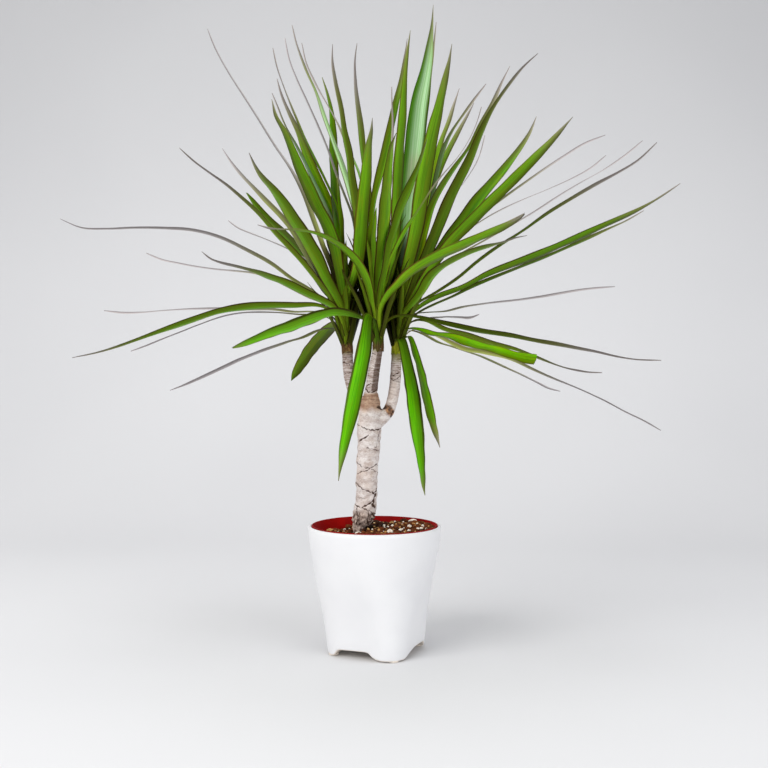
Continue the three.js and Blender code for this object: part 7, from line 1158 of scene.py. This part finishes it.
def soil_material():
    n = Nodes("soil_mix")
    where = n.coords()
    shade, pale = n.attr("shade"), n.attr("pale")
    grain = n.noise(where, 650.0, 4.0, 0.7)
    fibre = n.noise(n.stretch(where, (1, 2.5, 1)), 300.0, 4.0, 0.6)
    clump = n.noise(where, 120.0, 3.0, 0.6)
    dark = n.mix(n.ramp(clump, 0.35, 0.65), (0.014, 0.0035, 0.0015), (0.11, 0.025, 0.006))
    color = n.mix(shade, dark, (0.22, 0.058, 0.011))
    color = n.mix(n.math("MULTIPLY", n.ramp(fibre, 0.52, 0.72), 0.4), color, (0.34, 0.12, 0.03))
    split = n.tree.nodes.new("ShaderNodeSeparateXYZ")
    n.link(where, split.inputs[0])
    # painted shadow: near black in the hollow behind and beside the stem
    hollow = n.math("MULTIPLY", n.ramp(split.outputs[0], -0.012, -0.002), n.math("MULTIPLY", n.ramp(split.outputs[0], 0.022, 0.008), n.ramp(split.outputs[1], -0.006, 0.006)))
    color = n.mix(n.math("MULTIPLY", hollow, 0.75), color, (0.012, 0.004, 0.002))
    # and painted shadow tight round its foot
    across = n.math("ADD", split.outputs[0], 0.0115)
    away = n.math("SQRT", n.math("ADD", n.math("MULTIPLY", across, across), n.math("MULTIPLY", split.outputs[1], split.outputs[1])))
    stem_foot_shadow = n.math("MULTIPLY", n.ramp(away, 0.0175, 0.0125), n.ramp(split.outputs[0], -0.014, -0.008))
    color = n.mix(n.math("MULTIPLY", stem_foot_shadow, 0.85), color, (0.012, 0.004, 0.002))
    tan = n.mix(n.ramp(grain, 0.35, 0.65), (0.50, 0.23, 0.055), (0.80, 0.50, 0.20))
    white = n.mix(n.ramp(grain, 0.3, 0.6), (0.80, 0.66, 0.50), (0.93, 0.86, 0.77))
    color = n.mix(n.ramp(pale, 0.2, 0.5), color, tan)
    color = n.mix(n.ramp(pale, 0.6, 0.9), color, white)
    n.bump(n.math("ADD", grain, n.math("MULTIPLY", fibre, 0.8)), 0.9, 0.0005)
    return n.finish(color, n.ramp(grain, 0.3, 0.7, 0.78, 0.96), 0.2)


def chip(r, centre, size, flat, turn, tilt, rounded, seed_mesh):
    """One lump of the mix: a small irregular stone or flake."""
    v = seed_mesh.copy()
    v *= (1 + r.uniform(-0.22, 0.22, (len(v), 1)) * (0.5 if rounded else 1.0))
    v = v * np.array(flat) * size
    ct, st = math.cos(tilt), math.sin(tilt)
    v = v @ np.array([[1, 0, 0], [0, ct, st], [0, -st, ct]])
    c, s = math.cos(turn), math.sin(turn)
    v = v @ np.array([[c, s, 0], [-s, c, 0], [0, 0, 1]])
    return v + centre


def soil():
    r = np.random.default_rng(5)
    bm = bmesh.new()
    bmesh.ops.create_icosphere(bm, subdivisions=1, radius=1)
    ico_v = np.array([v.co[:] for v in bm.verts])
    ico_f = [[v.index for v in f.verts] for f in bm.faces]
    bm.free()
    bm = bmesh.new()
    bmesh.ops.create_icosphere(bm, subdivisions=2, radius=1)
    ico2_v = np.array([v.co[:] for v in bm.verts])
    ico2_f = [[v.index for v in f.verts] for f in bm.faces]
    bm.free()
    # the ball of mix: side, bottom and a rough top
    sides = 160
    th = np.linspace(0, 2 * np.pi, sides, endpoint=False)
    ring = []
    for rad, z in ((0.5, 13.4), (20, 13.4), (29.8, 13.4), (31.2, 14.6), (36.9, 35), (43.2, 60), (49.5, 85), (54.0, 103)):
        ring.append(np.stack([rad * np.cos(th), rad * np.sin(th), np.full(sides, z)], 1))
    rim = wall_radius(soil_top(57 * np.cos(th), 57 * np.sin(th)) - 1.0) - 0.25
    for share in np.linspace(1, 0, 46)[:-1]:
        rad = share * rim
        x, y = rad * np.cos(th), rad * np.sin(th)
        z = soil_top(x, y) - 1.2
        z = z + 0.8 * np.sin(1.9 * x + 0.7 * y) * np.cos(1.7 * y - 0.4 * x) + 0.5 * np.sin(3.3 * x - 2.1 * y + 1)
        z = z - 3.0 * np.exp(-(((x - 3) / 6) ** 2 + ((y + 6) / 8) ** 2))
        ring.append(np.stack([x, y, z], 1))
    n = len(ring)
    V = [np.concatenate(ring)]
    F = [list(f) for f in ring_faces(n, sides)] + [list(range(sides))[::-1], [(n - 1) * sides + j for j in range(sides)]]
    shade = [np.full(len(V[0]), 0.1)]
    pale = [np.zeros(len(V[0]))]
    start = len(V[0])

    def place(v, f, sh, pl):
        nonlocal start
        V.append(v)
        F.extend([[k + start for k in face] for face in f])
        shade.append(np.full(len(v), sh))
        pale.append(np.full(len(v), pl))
        start += len(v)

    made = 0
    while made < 1150:
        a, rad = r.uniform(0, 2 * np.pi), 58.6 * math.sqrt(r.random())
        x, y = rad * math.cos(a), rad * math.sin(a)
        if math.hypot(x + 12.3, y) < 10.6:
            continue
        size = min(r.lognormal(0.42, 0.42), 3.4)
        if rad + size > wall_radius(soil_top(x, y)) - 0.3:
            continue
        hollow = math.exp(-(((x - 3) / 6) ** 2 + ((y + 6) / 8) ** 2))
        z = soil_top(x, y) - 0.7 + r.uniform(-0.3, 1.0) * size * 0.55 - 2.8 * hollow
        kind = r.random()
        flat = (r.uniform(0.8, 1.5), r.uniform(0.6, 1.0), r.uniform(0.3, 0.75))
        place(chip(r, [x, y, z], size, flat, r.uniform(0, 6.28), r.normal(0, 0.45), False, ico_v), ico_f,
              float(np.clip(r.beta(1.3, 2.4), 0, 1)), 0.35 if kind > 0.955 else 0.0)
        made += 1
    # pale bits: tan bark and white perlite, mostly along the back and the left
    def back_point(u, v, lift):
        # a point on the soil seen at pixel u, v
        for y in np.linspace(-56, 56, 225):
            k = (934 + y) / 959
            x, z = (u - 384) * k + 9.3, 258 - (v - 384) * k
            if z <= soil_top(x, y) + lift:
                return x, y, soil_top(x, y)
        return x, y, soil_top(x, y)

    lumps = [
        (327.8, 529.6, 3.2, (1.3, 0.8, 0.6), 0.4, False), (338.7, 530.4, 1.3, (0.7, 0.8, 1.3), 0.42, False), (344.4, 528.9, 1.5, (1.1, 0.9, 0.8), 0.9, True),
        (345.9, 532.8, 1.3, (1.2, 0.9, 0.8), 0.42, False), (358.6, 533.4, 3.4, (1.4, 0.85, 0.62), 0.95, True), (368, 528.2, 1.5, (1.2, 0.9, 0.7), 0.42, False),
        (371.5, 531.6, 1.6, (1.1, 0.9, 0.8), 0.4, False), (375, 528, 1.3, (1.2, 0.9, 0.7), 0.45, False), (376, 532.6, 1.5, (1.1, 0.9, 0.8), 0.42, False),
        (378.6, 529.6, 1.4, (1, 1, 0.8), 0.42, False), (381, 532.4, 1.4, (1, 1, 0.8), 0.45, False), (383.9, 524.9, 1.4, (1.1, 0.9, 0.9), 0.95, True),
        (389.6, 531.6, 2.8, (1.15, 0.9, 0.9), 0.97, True), (392.2, 526, 2.1, (1.1, 0.9, 0.9), 1.0, True), (393, 529, 1.4, (1.1, 0.9, 0.8), 0.42, False),
        (400.4, 529.2, 1.9, (1.3, 0.8, 0.7), 1.0, True), (402, 524.6, 1.7, (1, 1, 0.9), 0.35, False), (399, 532.6, 1.6, (1.2, 0.9, 0.7), 0.42, False),
        (409.2, 526, 2.1, (1.1, 0.9, 0.9), 1.0, True), (408.8, 529.8, 1.5, (1.1, 0.9, 0.8), 0.95, True), (412.6, 520.8, 3.2, (1.35, 0.85, 0.7), 0.9, True),
        (417.4, 528.2, 1.7, (1.3, 0.8, 0.8), 1.0, True), (421, 527.6, 1.6, (1.2, 0.9, 0.8), 0.95, True), (422.4, 525.2, 1.6, (1.1, 0.9, 0.9), 1.0, True),
        (426.1, 528, 1.3, (1.2, 0.9, 0.8), 0.9, True), (405, 531.4, 1.3, (1, 1, 0.8), 0.42, False), (415, 531, 1.3, (1, 1, 0.8), 0.42, False),
        (386, 528.6, 1.3, (1, 1, 0.8), 0.42, False), (396, 523.6, 1.4, (1.2, 0.9, 0.8), 0.42, False), (418.5, 523.4, 1.5, (1.2, 0.9, 0.8), 0.3, False),
    ]
    for u, v, size, flat, pl, rounded in lumps:
        x, y, z = back_point(u, v, 0.4)
        rad = math.hypot(x, y)
        room = float(wall_radius(soil_top(x, y))) - 0.3 - size * 1.1
        if rad > room:
            x, y = x * room / rad, y * room / rad
        place(chip(r, [x, y, z + size * flat[2] * 0.35], size, flat, r.uniform(0, 6.28), r.normal(0, 0.2), rounded, ico2_v if rounded else ico_v),
              ico2_f if rounded else ico_f, 0.3, pl)
    for _ in range(120):
        a, rad = r.uniform(0, 2 * np.pi), 55 * math.sqrt(r.random())
        x, y = rad * math.cos(a), rad * math.sin(a)
        if math.hypot(x + 12.3, y) < 12.5 or rad > wall_radius(soil_top(x, y)) - 2.2:
            continue
        size = r.uniform(0.5, 1.3)
        place(chip(r, [x, y, soil_top(x, y) + 0.5 * size], size, (1.1, 0.9, 0.75), r.uniform(0, 6.28), r.normal(0, 0.3), True, ico2_v), ico2_f, 0.3,
              1.0 if r.random() < 0.3 else 0.42)
    obj = mesh_object("soil_mix", np.concatenate(V), F, soil_material(), {"shade": np.concatenate(shade), "pale": np.concatenate(pale)}, smooth=False)
    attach(obj, "root")
    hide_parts("soil")


soil()


# ------------------------------------------------------------------- the stage
def stage():
    n = Nodes("backdrop_paper")
    where = n.coords()
    tone = n.noise(where, 1.1, 2.0, 0.5)
    color = n.mix(n.ramp(tone, 0.35, 0.65), (0.71, 0.71, 0.722), (0.735, 0.735, 0.745))
    # painted falloff of light: the sheet darker towards its top
    split = n.tree.nodes.new("ShaderNodeSeparateXYZ")
    n.link(where, split.inputs[0])
    high = n.ramp(split.outputs[2], 0.25, 1.35, 1.0, 0.83)
    color = n.mix(1.0, color, n.combine(high, high, high), "MULTIPLY")
    mat = n.finish(color, 0.95, 0.1)
    path = [(-2.6, 0.0), (0.6, 0.0)]
    for a in np.linspace(0, np.pi / 2, 24)[1:]:
        path.append((0.6 + 0.95 * math.sin(a), 0.95 - 0.95 * math.cos(a)))
    path.append((1.55, 3.2))
    verts, faces = [], []
    for y, z in path:
        verts += [[-3.6, y, z], [3.6, y, z]]
    for i in range(len(path) - 1):
        faces.append([2 * i, 2 * i + 1, 2 * i + 3, 2 * i + 2])
    obj = mesh_object("backdrop", np.array(verts), faces, mat, scale=1.0)


stage()


def area_light(name, where, aim, size, energy, color=(1, 1, 1)):
    data = bpy.data.lights.new(name, "AREA")
    data.shape = "RECTANGLE"
    data.size, data.size_y = size
    data.energy = energy
    data.color = color
    obj = bpy.data.objects.new(name, data)
    scene.collection.objects.link(obj)
    obj.location = where
    from mathutils import Vector

    d = Vector(aim) - Vector(where)
    obj.rotation_euler = d.to_track_quat("-Z", "Y").to_euler()
    return obj


area_light("key", (-1.25, -1.35, 1.35), (0, 0, 0.28), (1.4, 1.2), 27.0, (1.0, 0.99, 0.97))
area_light("fill", (1.5, -1.5, 0.8), (0, 0, 0.28), (1.6, 1.4), 15.5, (0.97, 0.98, 1.0))
area_light("top", (0.0, 0.0, 1.9), (0, 0.0, 0.2), (1.4, 1.4), 12.0)

world = bpy.data.worlds.new("studio")
scene.world = world
world.use_nodes = True
world.node_tree.nodes["Background"].inputs["Color"].default_value = (0.93, 0.94, 0.96, 1)
world.node_tree.nodes["Background"].inputs["Strength"].default_value = 0.55
